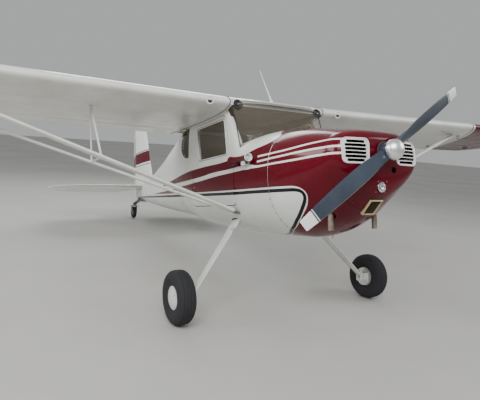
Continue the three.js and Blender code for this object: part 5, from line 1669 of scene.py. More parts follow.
@dataclass
class NoseFittings:
    """Grilles, lamp, air filter, exhaust stacks and the engine behind them."""

    slots: int = 6
    slot_pitch: float = 0.0258
    slot_half: float = 0.0098
    slot_reach: tuple[float, float] = (0.0935, 0.078)
    filter_out: float = 0.014
    lamp_z: float = 0.831
    cylinders: tuple[float, ...] = (0.64, 0.79, 0.94)
    fins: int = 9
    fin_pitch: float = 0.0195
    wire_pitch: float = 0.0043
    cross_pitch: float = 0.0042
    wire_radius: float = 0.0008
    pipe_mouth: tuple[Point, ...] = ((0.0175, 0.0), (0.0215, 0.0), (0.0222, 0.004), (0.0215, 0.012),
                                     (0.0175, 0.012), (0.0175, 0.0))
    pipe_collar: tuple[Point, ...] = ((0.021, 0.0), (0.026, 0.002), (0.026, 0.012), (0.021, 0.014))
    lamp_bowl: tuple[Point, ...] = ((0.0365, 0.0), (0.0355, -0.002), (0.028, -0.012),
                                    (0.016, -0.020), (0.004, -0.0235), (0.0, -0.0235))
    lamp_rim: tuple[Point, ...] = ((0.034, -0.004), (0.0385, -0.002), (0.039, 0.002),
                                   (0.036, 0.004), (0.034, 0.002), (0.034, -0.004))
    lamp_glass: tuple[Point, ...] = ((0.0345, -0.001), (0.031, 0.009), (0.024, 0.0155),
                                     (0.013, 0.0195), (0.0, 0.0205), (0.0, 0.0185), (0.013, 0.0175),
                                     (0.024, 0.0135), (0.031, 0.007), (0.0345, -0.003),
                                     (0.0345, -0.001))
    lamp_screws: tuple[Point, ...] = ((0.042, 0.036), (-0.042, 0.036), (0.042, -0.036),
                                      (-0.042, -0.036))
    filter_window: tuple[Point, ...] = ((-0.062, -0.052), (-0.062, 0.052), (0.062, 0.052),
                                        (0.062, -0.052))
    filter_backing: tuple[Point, ...] = ((-0.0618, -0.0518), (-0.0618, 0.0518), (0.0618, 0.0518),
                                         (0.0618, -0.0518))
    filter_slot: tuple[Point, ...] = ((-0.083, -0.062), (-0.083, 0.062), (-0.0735, 0.062),
                                      (-0.0735, -0.062))

    def build(self) -> None:
        """Builds every fitting of the nose."""
        for side in Side:
            self.grille(side)
            self.exhaust(side)
        self.lamp()
        self.air_filter()
        self.engine()

    def surface(self, side: Side, proud: float) -> Form:
        """The bowl's surface over an inlet, a little proud of the skin.

        Args:
            side: Side of the airframe.
            proud: How far outside the skin.

        Returns:
            The open sheet.
        """
        ys = side.value * (INLET_Y + np.linspace(-0.135, 0.135, 37))
        zs = INLET_Z + np.linspace(-0.100, 0.100, 33)
        rows = np.array([[(bowl_x(y, z) + proud, y, z) for y in ys] for z in zs])
        return Form().sheet(rows)

    def grille(self, side: Side) -> None:
        """A white slotted plate with a raised rounded surround.

        Args:
            side: Side of the airframe.
        """
        plate = self.surface(side, 0.001).facing(0).thickened(0.008)
        plate.cut(Cut.COMMON, Form().prism(inlet_outline(side, -0.001), front_view, 0.98, 1.40))
        slots = []
        for k in range(self.slots):
            z = INLET_Z - 0.002 + (k - (self.slots - 1) / 2) * self.slot_pitch
            reach = self.slot_reach[1] if k in (0, self.slots - 1) else self.slot_reach[0]
            middle = side.value * INLET_Y
            corners = [(middle - reach, z - self.slot_half), (middle + reach, z - self.slot_half),
                       (middle + reach, z + self.slot_half), (middle - reach, z + self.slot_half)]
            slots.append(Form().prism(rounded_outline(corners, 0.0096, 6), front_view, 0.98, 1.40))
        plate.cut(Cut.AWAY, *slots)
        rim = [(bowl_x(y, z) + 0.002, y, z) for y, z in inlet_outline(side, 0.001)]
        plate.tube(rim, 0.0055, sides=10, closed=True)
        put(plate, f"cooling_grille_{side.suffix}", WHITE_ENAMEL,
            replaces=[f"grille_{side.suffix}"])

    def exhaust(self, side: Side) -> None:
        """An open stack with a rolled lip, rising to the engine.

        Args:
            side: Side of the airframe.
        """
        x, y = STACK_X, side.value * STACK_Y
        riser = side.value * (STACK_Y - 0.008)
        path = [(x - 0.008, riser, 0.829), (x - 0.007, riser, 0.79),
                (x - 0.004, side.value * (STACK_Y - 0.004), 0.735), (x - 0.001, y, 0.695),
                (x, y, 0.66), (x, y, 0.60), (x, y, 0.535)]
        pipe = Form().tube(smooth_line(path, 0.012), 0.021, sides=28)
        pipe.lathe(self.pipe_mouth, (0, 0, 1), (x, y, 0.526), 28)
        pipe.lathe(self.pipe_collar, (0, 0, 1), (x, y, 0.665), 28)
        put(pipe, f"exhaust_pipe_{side.suffix}", EXHAUST, replaces=[f"exhaust_stack_{side.suffix}"])
        # A black disc just inside the mouth closes the bore: soot, and painted shade for the dark
        # inside of the pipe
        soot_and_bore_shade = Form().rod((x, y, 0.5265), (x, y, 0.5285), 0.0174, sides=24)
        put(soot_and_bore_shade, f"exhaust_mouth_{side.suffix}", GASKET_AND_SHADE)

    def lamp(self) -> None:
        """The landing lamp: a bright bowl behind a domed glass, with its screws."""
        front = bowl_x(0, self.lamp_z)
        bowl = Form().lathe(self.lamp_bowl, (1, 0, 0), (front - 0.002, 0, self.lamp_z), 40)
        bowl.ball((front - 0.016, 0, self.lamp_z), (0.008, 0.006, 0.006), 16)
        bowl.lathe(self.lamp_rim, (1, 0, 0), (front, 0, self.lamp_z), 40)
        put(bowl, "landing_lamp_bowl", POLISHED, replaces=["landing_light"])
        glass = Form().lathe(self.lamp_glass, (1, 0, 0), (front, 0, self.lamp_z), 40)
        put(glass, "landing_lamp_glass", LENS)
        screws = Form()
        for y, z in self.lamp_screws:
            x = bowl_x(y, self.lamp_z + z)
            out = HULL.normal(x, self.lamp_z + z) * (1, 0.4 * math.copysign(1, y), 1)
            fastener_row(screws, [(np.array((x, y, self.lamp_z + z)), unit(out))], 0.0045, 0.0015)
        put(screws, "lamp_screws", STEEL)

    def air_filter(self) -> None:
        """The wire-mesh filter in its brass-coloured frame on the sloping chin."""
        frame = filter_block(0.0, self.filter_out)
        frame.cut(Cut.AWAY, Form().prism(self.filter_window, filter_place, -0.001, 0.06))
        frame.rounded(0.0015)
        put(frame, "air_filter_frame", BRASS, replaces=["air_filter"])
        mesh = Form()
        for k in range(-14, 15):
            a = k * self.wire_pitch
            mesh.tube([filter_place(a, y, 0.0045 + 0.0012 * math.cos(y * 730 + math.pi * k))
                       for y in np.linspace(-0.052, 0.052, 25)], self.wire_radius, sides=4)
        for k in range(-12, 13):
            y = k * self.cross_pitch
            mesh.tube([filter_place(a, y, 0.0045 - 0.0012 * math.cos(a * 730 + math.pi * k))
                       for a in np.linspace(-0.061, 0.061, 29)], self.wire_radius, sides=4)
        mesh.prism(self.filter_backing, filter_place, -0.0008, 0.0018)
        put(mesh, "air_filter_mesh", FILTER_MESH)
        slot = Form().prism(self.filter_slot, filter_place, -0.018, 0.006)
        put(slot.rounded(0.001), "air_filter_slot", GASKET_AND_SHADE)

    def engine(self) -> None:
        """A plain engine block with cooling fins, its shaft, and black plates behind the grilles
        that paint the shade inside the cowling.
        """
        block = Form()
        for x in self.cylinders:
            for k in range(self.fins):
                y = 0.155 + self.fin_pitch * k
                block.block((x - 0.058, y, 0.842), (x + 0.058, y + 0.006, 1.120), 0.004, 1)
            block.block((x - 0.045, 0.14, 0.87), (x + 0.045, 0.318, 1.09), 0.02)
        block.both_sides().block((0.532, -0.15, 0.86), (1.015, 0.15, 1.13), 0.012)
        block.rod((1.005, 0, SHAFT_Z), (1.2436, 0, SHAFT_Z), 0.040, sides=32, round_by=0.002)
        put(block, "engine_block", CAST_METAL, replaces=["engine"])
        # Black plates just behind the grille slots: painted shade for the dark inside of the
        # cowling
        grille_shade_plate = Form().block((1.035, 0.09, 0.955), (1.040, 0.335, 1.20), 0.002, 1)
        put(grille_shade_plate.both_sides(), "grille_shade_plates", GASKET_AND_SHADE)


@dataclass
class Glazing:
    """Windshield and side windows, with their seals and strips."""

    glass: float = 0.006
    top_x: float = -0.030
    top_z: float = 1.697
    bulge: float = 0.055
    top_sweep: float = 0.040
    foot_z: float = 1.250
    foot_rise: float = 0.116
    # The head strip reaches this far down the glass, so that it also paints the shade along the
    # windshield's head
    strip_from: float = 0.905

    def build(self) -> None:
        """Builds the windshield and the rear side windows."""
        self.windshield()
        for side in Side:
            self.quarter_window(side)

    def shield_point(self, u: float, v: float, depth: float = 0.0) -> np.ndarray:
        """Point of the windshield by its share across and up.

        Args:
            u: Share across, from -1 to starboard to 1 to port.
            v: Share up, from the foot to the head.
            depth: How far inside the outer surface.

        Returns:
            The point.
        """
        y = u * (WINDSHIELD_HALF + 0.004 - depth)
        foot = windshield_foot(y) - depth
        foot_z = self.foot_z + self.foot_rise * (1 - abs(u) ** 2.6)
        out = self.bulge * math.sin(math.pi * v) * (1 - u * u)
        head = self.top_x - self.top_sweep * abs(u) ** 6 - depth
        return np.array((foot + (head - foot) * v + out, y,
                         foot_z + (self.top_z - foot_z) * v))

    def windshield(self) -> None:
        """One curved sheet, with strips along its foot and head and a screwed post each side."""
        across, up = np.linspace(-1, 1, 49), np.linspace(0, 1, 21)
        outer = [[self.shield_point(u, v) for u in across] for v in up]
        sheet = Form().sheet(np.array(outer)).facing(0)
        put(sheet.thickened(self.glass), "windshield_glass", ACRYLIC, replaces=["windshield"])
        seal = Form().tube([self.shield_point(u, 0.0, -0.001) for u in across], 0.005, sides=8)
        seal.tube([self.shield_point(u, 0.035, -0.002) for u in across], 0.002, sides=6)
        put(seal, "windshield_foot_seal", GASKET_AND_SHADE)
        # Grey strip over the windshield's head: trim, and painted shade along the head of the glass
        strip = Form()
        rows = []
        for u in across:
            low, high = (self.shield_point(u, v, -0.003) for v in (self.strip_from, 1.0))
            rows.append([low + (high - low) * t for t in np.linspace(0, 1, 4)])
        strip.sheet(np.array(rows)).bm.normal_update()
        put(strip.thickened(0.003), "windshield_head_strip", TRIM_AND_SHADE_STRIP)
        posts = Form()
        for u in (-0.985, 0.985):
            posts.tube([self.shield_point(u, v, -0.003) for v in np.linspace(0, 1, 12)],
                       0.004, sides=8)
        put(posts, "windshield_post_seals", GASKET_AND_SHADE)

    def quarter_window(self, side: Side) -> None:
        """The D-shaped rear window with its seal.

        Args:
            side: Side of the airframe.
        """
        outline = quarter_outline(0.001)
        pane = side_pane(outline, 0.008, 0.005)
        put(pane.mirrored(side), f"quarter_glass_{side.suffix}", ACRYLIC,
            replaces=[f"quarter_window_{side.suffix}"])
        seal = edge_line(Form(), quarter_outline(-0.001), 0.004, 0.0)
        put(seal.mirrored(side), f"quarter_seal_{side.suffix}", GASKET_AND_SHADE)


def side_surface(low_x: float, high_x: float, low_z: float, high_z: float, depth: float,
                 step: float = 0.02) -> Form:
    """A sheet of the fuselage's port side between stations and heights, facing out.

    Args:
        low_x: Station of its rear edge.
        high_x: Station of its front edge.
        low_z: Height of its lower edge.
        high_z: Height of its upper edge.
        depth: How far inside the skin it lies.
        step: Spacing of its points.

    Returns:
        The open sheet.
    """
    xs = np.linspace(high_x, low_x, int((high_x - low_x) / step) + 2)
    zs = np.linspace(low_z, high_z, int((high_z - low_z) / step) + 2)
    rows = []
    for x in xs:
        row = []
        for z in zs:
            point = HULL.at_height(x, min(z, HULL.section(x)[1] - 0.012))
            row.append(point - np.array((0, depth, 0)))
        rows.append(row)
    return Form().sheet(np.array(rows)).facing(1)


def side_pane(outline: Sequence[Point], depth: float, thickness: float) -> Form:
    """A pane that follows the fuselage's side within an outline.

    Args:
        outline: Outline of x and z in metres.
        depth: How far inside the skin it lies.
        thickness: Thickness of the pane.

    Returns:
        The pane, to port.
    """
    corners = np.array(outline)
    low, high = corners.min(axis=0) - 0.03, corners.max(axis=0) + 0.03
    pane = side_surface(low[0], high[0], low[1], min(high[1], 1.60), depth)
    pane.thickened(thickness)
    return pane.cut(Cut.COMMON, side_prism(outline, Side.PORT))


@dataclass
class Door:
    """One cabin door: skin, frame, window, hinges and handle."""

    side: Side
    thickness: float = 0.030
    hinge_x: float = 0.003
    hinge_y: float = 0.521
    hinge_radius: float = 0.005
    hinge_levels: tuple[float, float] = (0.842, 1.112)
    hinge_height: float = 0.028
    grip_line: tuple[Point, ...] = ((-0.852, 0.528, 1.02), (-0.835, 0.535, 1.021),
                                    (-0.80, 0.537, 1.024), (-0.765, 0.535, 1.026))

    def build(self) -> None:
        """Builds the door and everything that swings with it."""
        name, body = self.side.suffix, f"door_{self.side.suffix}"
        outline = rounded_outline(in_metres(shrunk(DOOR_OUTLINE, 6)), 0.055)
        window = rounded_outline(in_metres(DOOR_WINDOW), 0.034)
        panel = side_surface(-0.95, 0.02, 0.70, 1.62, 0.0, 0.016)
        panel.thickened(self.thickness)
        panel.cut(Cut.COMMON, side_prism(outline, Side.PORT))
        panel.cut(Cut.AWAY, side_prism(window, Side.PORT))
        put(panel.mirrored(self.side), f"door_skin_{name}", FLASH_ENAMEL, body,
            replaces=[f"door_{name}"], marks=side_marks,
            linings=lambda c: inside(c, self.thickness), lining=LINING)
        pane = side_pane(rounded_outline(in_metres(shrunk(DOOR_WINDOW, 0.3)), 0.034), 0.008, 0.005)
        put(pane.mirrored(self.side), f"door_glass_{name}", ACRYLIC, body,
            replaces=[f"door_window_{name}"])
        seal = edge_line(Form(), rounded_outline(in_metres(shrunk(DOOR_WINDOW, 1)), 0.033),
                         0.0045, -0.004)
        put(seal.mirrored(self.side), f"door_glass_seal_{name}", GASKET_AND_SHADE, body)
        frame = edge_line(Form(), rounded_outline(in_metres(shrunk(DOOR_WINDOW, -9)), 0.040),
                          0.0055, -0.0015)
        edge = edge_line(Form(), rounded_outline(in_metres(shrunk(DOOR_OUTLINE, 9)), 0.054),
                         0.0022, -0.0006)
        put(frame.joined(edge).mirrored(self.side), f"door_frame_bead_{name}", FLASH_ENAMEL, body,
            marks=side_marks)
        self.hardware(name, body)

    def hardware(self, name: str, body: str) -> None:
        """Hinge knuckles and leaves, the outside handle and the window latch.

        Args:
            name: Ending of the pieces' names.
            body: Body of the door.
        """
        knuckles, leaves = Form(), Form()
        x, y = self.hinge_x, self.hinge_y
        for level in self.hinge_levels:
            low = level + self.hinge_height + 0.0003
            knuckles.rod((x, y, low), (x, y, low + self.hinge_height), self.hinge_radius, sides=16)
            knuckles.block((x - 0.036, y - 0.006, low),
                           (x - 0.001, y - 0.001, low + self.hinge_height), 0.001)
            leaves.rod((x, y, level), (x, y, low - 0.0003), self.hinge_radius, sides=16)
            leaves.block((x + 0.001, y - 0.006, level), (x + 0.036, y - 0.001, low - 0.0003), 0.001)
            for px in (x - 0.026, x - 0.013):
                for pz in (low + 0.007, low + 0.021):
                    knuckles.rod((px, y - 0.002, pz), (px, y + 0.001, pz), 0.003, 0.002, sides=8)
        put(knuckles.mirrored(self.side), f"door_hinges_{name}", FLASH_ENAMEL, body,
            marks=side_marks)
        put(leaves.mirrored(self.side), f"post_hinges_{name}", FLASH_ENAMEL,
            marks=side_marks)
        handle = Form().rod((-0.852, 0.512, 1.02), (-0.852, 0.527, 1.02), 0.016, 0.014, sides=24,
                            round_by=0.002)
        grip = smooth_line(self.grip_line, 0.006)
        handle.tube(grip, 0.0055, sides=10)
        handle.rod((-0.852, 0.508, 0.955), (-0.852, 0.5165, 0.955), 0.0065, sides=20,
                   round_by=0.001)
        put(handle.mirrored(self.side), f"door_handle_{name}", POLISHED, body)
        latch = Form().block((-0.50, 0.470, 1.185), (-0.43, 0.483, 1.200), 0.004)
        latch.rod((-0.465, 0.483, 1.192), (-0.465, 0.458, 1.192), 0.008, sides=16)
        put(latch.mirrored(self.side), f"door_latch_{name}", BLACK_MOULDED, body)


@dataclass
class Interior:
    """What shows through the glass: panel, control yokes, bench seat and its stand."""

    panel_x: float = 0.118
    yoke_y: float = 0.215
    yoke_z: float = 1.088
    cushion: tuple[Point, ...] = ((-840, 705), (-330, 735), (-330, 865), (-840, 835))
    back: tuple[Point, ...] = ((-850, 845), (-985, 1330), (-1085, 1330), (-950, 845))
    gauge_y: tuple[float, ...] = (-0.36, -0.265, -0.17, 0.30, 0.385)
    gauge_z: tuple[float, ...] = (1.190, 1.095)
    gauge_radius: float = 0.040
    small_gauge: float = 0.028
    stand_box: tuple[Point, ...] = ((-0.820, 0.632), (-0.380, 0.632), (-0.380, 0.7316),
                                    (-0.820, 0.7056))
    stand_foot: tuple[Point, ...] = ((-0.800, 0.604), (-0.400, 0.580), (-0.400, 0.640),
                                     (-0.800, 0.640))
    back_plate: tuple[Point, ...] = ((-0.938, 0.788), (-1.050, 1.190), (-1.064, 1.186),
                                     (-0.955, 0.790), (-0.868, 0.640), (-0.818, 0.640),
                                     (-0.818, 0.690), (-0.850, 0.690))

    def build(self) -> None:
        """Builds the panel, the yokes and the seat."""
        self.panel()
        self.yokes()
        self.seat_stand()
        self.bench("seat_cushion", "bench_cushion", self.cushion, 0.045, 0)
        self.bench("seat_back", "bench_back", self.back, 0.040, 1)

    def panel(self) -> None:
        """A crackle-black panel with round blank gauges, switches and a padded shade."""
        x = self.panel_x
        outline = []
        for y, z in HULL.ring(x + 0.01, 120, -0.0245)[:, 1:]:
            outline.append((y, min(max(z, 0.985), 1.262)))
        plate = Form().prism(outline, front_view, x, x + 0.022)
        bmesh.ops.remove_doubles(plate.bm, verts=plate.bm.verts, dist=1e-4)
        put(plate, "panel_plate", BLACK_MOULDED, replaces=["instrument_panel"])
        shade = Form().block((x - 0.030, -0.40, 1.254), (x + 0.032, 0.40, 1.266), 0.005, 3)
        put(shade, "panel_shade", GASKET_AND_SHADE)
        rims, dials, marks = Form(), Form(), Form()
        places = [(y, z, self.gauge_radius) for z in self.gauge_z for y in self.gauge_y]
        places += [(y, 1.10, self.small_gauge) for y in (-0.06, 0.02, 0.10)]
        for y, z, radius in places:
            rims.lathe([(radius * 0.84, 0.001), (radius * 0.9, 0.005), (radius, 0.005),
                        (radius * 1.04, 0.0), (radius * 0.84, 0.0), (radius * 0.84, 0.001)],
                        (-1, 0, 0), (x, y, z), 28)
            dials.rod((x, y, z), (x - 0.0018, y, z), radius * 0.86, sides=28)
            for k in range(12):
                out = radius * np.array((0, math.cos(k * math.pi / 6), math.sin(k * math.pi / 6)))
                middle = np.array((x - 0.0022, y, z))
                marks.rod(middle + 0.66 * out, middle + 0.80 * out, 0.0007, sides=5)
            tilt = 1.1 + y * 9
            marks.rod((x - 0.0026, y, z),
                      (x - 0.0026, y + 0.6 * radius * math.cos(tilt),
                       z + 0.6 * radius * math.sin(tilt)),
                      0.0011, 0.0004, sides=5)
        put(rims, "gauge_bezels", BLACK_ENAMEL)
        put(dials, "gauge_faces", DIAL_FACE)
        put(marks, "gauge_marks", DIAL_MARKS)
        radio = Form()
        for k, z in enumerate((1.225, 1.175)):
            radio.block((x - 0.008, -0.06, z - 0.018), (x + 0.001, 0.14, z + 0.018), 0.002)
            for y in (-0.045, 0.125):
                radio.rod((x - 0.006, y, z), (x - 0.022, y, z), 0.008, 0.007, sides=16,
                          round_by=0.001)
        for y in np.linspace(-0.36, -0.16, 8):
            radio.rod((x + 0.001, y, 1.015), (x - 0.004, y, 1.015), 0.005, sides=10)
            radio.rod((x - 0.002, y, 1.015), (x - 0.017, y, 1.021), 0.0018, 0.0026, sides=8)
        for y in (0.0, 0.045, 0.09):
            radio.rod((x + 0.001, y, 1.022), (x - 0.032, y, 1.022), 0.003, sides=8)
            radio.ball((x - 0.036, y, 1.022), (0.006, 0.010, 0.010), 12)
        put(radio, "radio_and_switches", BLACK_MOULDED)

    def yokes(self) -> None:
        """Two control yokes with moulded horns on steel shafts."""
        bar_x = self.panel_x - 0.228
        wheels, shafts = Form(), Form()
        z = self.yoke_z
        for y in (-self.yoke_y, self.yoke_y):
            shafts.rod((self.panel_x + 0.004, y, 1.080), (bar_x, y, z), 0.011, sides=20)
            shafts.rod((self.panel_x - 0.001, y, 1.080), (self.panel_x - 0.012, y, 1.080), 0.020,
                       0.015, sides=24, round_by=0.002)
            path = [(bar_x + 0.007, y - 0.116, 1.200), (bar_x + 0.003, y - 0.112, 1.150),
                    (bar_x, y - 0.102, 1.105), (bar_x, y - 0.070, z), (bar_x, y, z),
                    (bar_x, y + 0.070, z), (bar_x, y + 0.102, 1.105),
                    (bar_x + 0.003, y + 0.112, 1.150), (bar_x + 0.007, y + 0.116, 1.200)]
            wheels.tube(smooth_line(path, 0.010), 0.0125, sides=14)
            for end in (path[0], path[-1]):
                wheels.ball(end, 0.0125, 14)
            wheels.rod((bar_x + 0.016, y, z), (bar_x - 0.016, y, z), 0.030, 0.026, sides=28,
                       round_by=0.004)
        put(wheels, "control_yokes", BLACK_MOULDED)
        put(shafts, "yoke_shafts", POLISHED)

    def seat_stand(self) -> None:
        """The box under the cushion and the plate that carries the seat back."""
        stand = Form().prism(self.stand_box, side_view, -0.33, 0.33)
        stand.prism(self.stand_foot, side_view, -0.25, 0.25)
        stand.prism(self.back_plate, side_view, -0.33, 0.33)
        stand.rounded(0.003)
        for x in (-0.74, -0.60, -0.46):
            stand.block((x - 0.004, -0.334, 0.640), (x + 0.004, 0.334, 0.70), 0.003, 1)
        put(stand, "seat_stand", BLACK_ENAMEL, replaces=["seat_base"])

    def bench(self, node_name: str, name: str, corners: Sequence[Point], radius: float,
              way: int) -> None:
        """A bench pad: inflated cloth with sewn channels across it.

        Args:
            node_name: Node of the frame that it stands for.
            name: Name of the piece.
            corners: Side outline in millimetres.
            radius: Corner radius in metres.
            way: Direction of the channels' fall: 0 for the cushion and 1 for the back.
        """
        outline = rounded_outline(in_metres(shrunk(corners, 9)), radius, 6)
        pad = Form().prism(outline, side_view, -0.420, 0.420)
        bmesh.ops.triangulate(pad.bm, faces=pad.bm.faces)
        made = put(pad, name, SEAT_VINYL, replaces=[node_name], sharp=180)
        inflate(made)
        sew_channels(made, way)
        piping = Form()
        middle = np.mean(np.array(outline), axis=0)
        for y in (-0.424, 0.424):
            loop = [(middle[0] + (x - middle[0]) * 0.985, y, middle[1] + (z - middle[1]) * 0.985)
                    for x, z in outline]
            piping.tube(loop, 0.0035, sides=8, closed=True)
        put(piping, f"{name}_piping", GASKET_AND_SHADE)


PAD_VOXEL, PAD_PRESSURE, PAD_FRAMES, PAD_REACH = 0.009, 4.0, 20, 0.010


def inflate(pad: bpy.types.Object) -> None:
    """Swells a pad with a short cloth simulation and applies the result.

    Args:
        pad: The pad, as a closed mesh a little smaller than the finished pad.
    """
    scene = bpy.context.scene
    remesh = pad.modifiers.new("even_faces", "REMESH")
    remesh.mode = "VOXEL"
    remesh.voxel_size = PAD_VOXEL
    settle(pad)
    before = np.array([vert.co for vert in pad.data.vertices])
    cloth = pad.modifiers.new("cloth", "CLOTH")
    cloth.settings.use_pressure = True
    cloth.settings.uniform_pressure_force = PAD_PRESSURE
    cloth.settings.effector_weights.gravity = 0.0
    cloth.settings.quality = 4
    for frame in range(1, PAD_FRAMES + 1):
        scene.frame_set(frame)
    settle(pad)
    scene.frame_set(1)
    after = np.array([vert.co for vert in pad.data.vertices])
    move = after - before
    far = np.linalg.norm(move, axis=1, keepdims=True)
    capped = before + move * np.minimum(1.0, PAD_REACH / np.maximum(far, 1e-9))
    pad.data.vertices.foreach_set("co", capped.ravel())
    pad.data.polygons.foreach_set("use_smooth", [True] * len(pad.data.polygons))


def settle(piece: bpy.types.Object) -> None:
    """Applies the modifiers of a piece to its mesh.

    Args:
        piece: Object whose modifiers are applied.
    """
    bpy.context.view_layer.update()
    depsgraph = bpy.context.evaluated_depsgraph_get()
    mesh = bpy.data.meshes.new_from_object(piece.evaluated_get(depsgraph))
    piece.modifiers.clear()
    old = piece.data
    piece.data = mesh
    bpy.data.meshes.remove(old)


def sew_channels(pad: bpy.types.Object, way: int, pitch: float = 0.105,
                 depth: float = 0.006) -> None:
    """Presses even sewn channels into the seating face of a bench pad.

    Args:
        pad: The inflated pad.
        way: 0 for the cushion and 1 for the back.
        pitch: Spacing of the channels.
        depth: Depth of a channel.
    """
    back = PARKED.inverted()
    for vert in pad.data.vertices:
        place = back @ vert.co
        phase = abs((place.y / pitch) % 1.0 - 0.5) * 2
        groove = max(0.0, 1.0 - (1.0 - phase) / 0.16) if phase > 0.84 else 0.0
        normal = vert.normal
        facing = max(normal.z, 0.0) if way == 0 else max(normal.x, 0.0)
        vert.co -= normal * (depth * groove * facing)
    pad.data.update()


@dataclass
class Wing:
    """One wing with its flap, aileron, tip lamp, tank cap and ports."""

    side: Side
    lap_spans: tuple[float, ...] = (0.62, 1.30, 1.98, 2.66, 3.34, 4.02, 4.48)
    lap_shares: tuple[float, float] = (0.26, 0.62)
    bracket_spans: tuple[float, ...] = (2.62, 3.52, 4.42)
    tank_cap_y: float = 1.150
    air_port_y: float = 0.725
    tie_down_y: float = 3.03
    tank_cap: tuple[Point, ...] = ((0.0, 0.012), (0.030, 0.0115), (0.038, 0.009), (0.042, 0.004),
                                   (0.042, -0.012), (0.0, -0.012))
    air_port: tuple[Point, ...] = ((0.021, -0.002), (0.026, 0.002), (0.034, 0.003), (0.038, -0.004),
                                   (0.034, -0.012), (0.021, -0.008), (0.021, -0.002))

    def build(self) -> None:
        """Builds the wing and its moving surfaces."""
        self.skin()
        self.surface("flap", FLAP_SPAN)
        self.surface("aileron", AILERON_SPAN)
        self.fittings()
        self.seams()

    def rows(self, spans: Iterable[float], front: float, rear: float, steps: int) -> np.ndarray:
        """Section loops at spans, between two shares of the chord."""
        loop = foil_loop(front, rear, steps)
        return np.array([[wing_point(s, h, y, wing_chord(y)) for s, h in loop] for y in spans])

    def skin(self) -> None:
        """The fixed part of the wing, with coves for the flap and the aileron."""
        start, end = WING["tip_start"], WING["tip"]
        tip = start + (end - start) * np.sin(np.linspace(0, math.pi / 2, 26))
        spans = np.concatenate([np.linspace(WING["root"] + 0.0004, start, 60)[:-1], tip])
        wing = Form().sheet(self.rows(spans, 0.0, 1.0, 40), around=True, capped=True).outward()
        tools = []
        for start, end in (FLAP_SPAN, AILERON_SPAN):
            a, b = hinge_point(start - RUNNING_GAP), hinge_point(end + RUNNING_GAP)
            tools.append(Form().rod(a, b, HINGE_HALF + RUNNING_GAP, sides=40))
            tools.append(Form().block((a[0] - 0.6, a[1], a[2] - 0.3),
                                      (a[0], b[1], a[2] + 0.3), 0.0001, 1))
        wing.cut(Cut.AWAY, *tools)
        put(wing.mirrored(self.side), f"wing_skin_{self.side.suffix}", WING_ENAMEL,
            replaces=[f"wing_{self.side.suffix}"], marks=panel_marks)

    def surface(self, kind: str, span: tuple[float, float]) -> None:
        """A flap or aileron with a round nose at its hinge and a beaded skin.

        Args:
            kind: The word flap or aileron.
            span: Where it starts and ends.
        """
        name = f"{kind}_{self.side.suffix}"
        spans = np.linspace(span[0], span[1], int((span[1] - span[0]) / 0.03))
        rows = []
        for y in spans:
            chord = wing_chord(y)
            loop = foil_loop(HINGE_AT, 1.0, 14)
            ring = [wing_point(s, h, y, chord) for s, h in loop[:15]]
            centre = hinge_point(y, chord)
            top = ring[-1] - centre
            for turn in np.linspace(0, math.pi, 13)[1:-1]:
                ring.append(centre + np.array((HINGE_HALF * math.sin(turn), 0, 0))
                            + top * math.cos(turn))
            ring += [wing_point(s, h, y, chord) for s, h in loop[15:]]
            rows.append(ring)
        form = Form().sheet(np.array(rows), around=True, capped=True)
        for end, out in ((span[0], -1), (span[1], 1)):
            pin = hinge_point(end)
            form.rod(pin, pin + np.array((0, out * (RUNNING_GAP + 0.011), 0)), 0.007, sides=16)
        put(form.mirrored(self.side), f"{kind}_skin_{self.side.suffix}", WING_ENAMEL, name,
            replaces=[name], marks=panel_marks)
        beads = Form()
        for y in np.arange(span[0] + 0.06, span[1] - 0.03, 0.075 if kind == "flap" else 0.11):
            for sign in (1, -1):
                path = [self.surface_point(s, y, sign)
                        for s in np.linspace(HINGE_AT + 0.03, 0.985, 8)]
                beads.tube(path, 0.0016, sides=6)
        put(beads.mirrored(self.side), f"{kind}_beads_{self.side.suffix}", WING_ENAMEL, name,
            marks=panel_marks)

    def surface_point(self, s: float, y: float, sign: int) -> np.ndarray:
        """Point on the upper or lower skin at a share of the chord.

        Args:
            s: Share of the chord.
            y: Distance from the middle plane.
            sign: 1 for the upper skin and -1 for the lower.

        Returns:
            The point.
        """
        share = np.array(s)
        height = float(camber_height(share) + sign * foil_height(share))
        return wing_point(s, height, y, wing_chord(y))

    def fittings(self) -> None:
        """Tank cap, air port, tip lamp, tie-down ring and the aileron's hinge brackets."""
        suffix = self.side.suffix
        cap = Form()
        top = wing_point(0.3, 0.078, self.tank_cap_y)
        cap.lathe(self.tank_cap, (0, 0, 1), top, 40)
        cap.block(top + np.array((-0.024, -0.005, 0.010)),
                  top + np.array((0.024, 0.005, 0.017)), 0.002)
        put(cap.mirrored(self.side), f"tank_cap_{suffix}", POLISHED)
        port = Form()
        place = self.surface_point(0.004, self.air_port_y, -1)
        port.lathe(self.air_port, (1, 0, -0.15), place, 32)
        put(port.mirrored(self.side), f"air_port_ring_{suffix}", WHITE_ENAMEL)
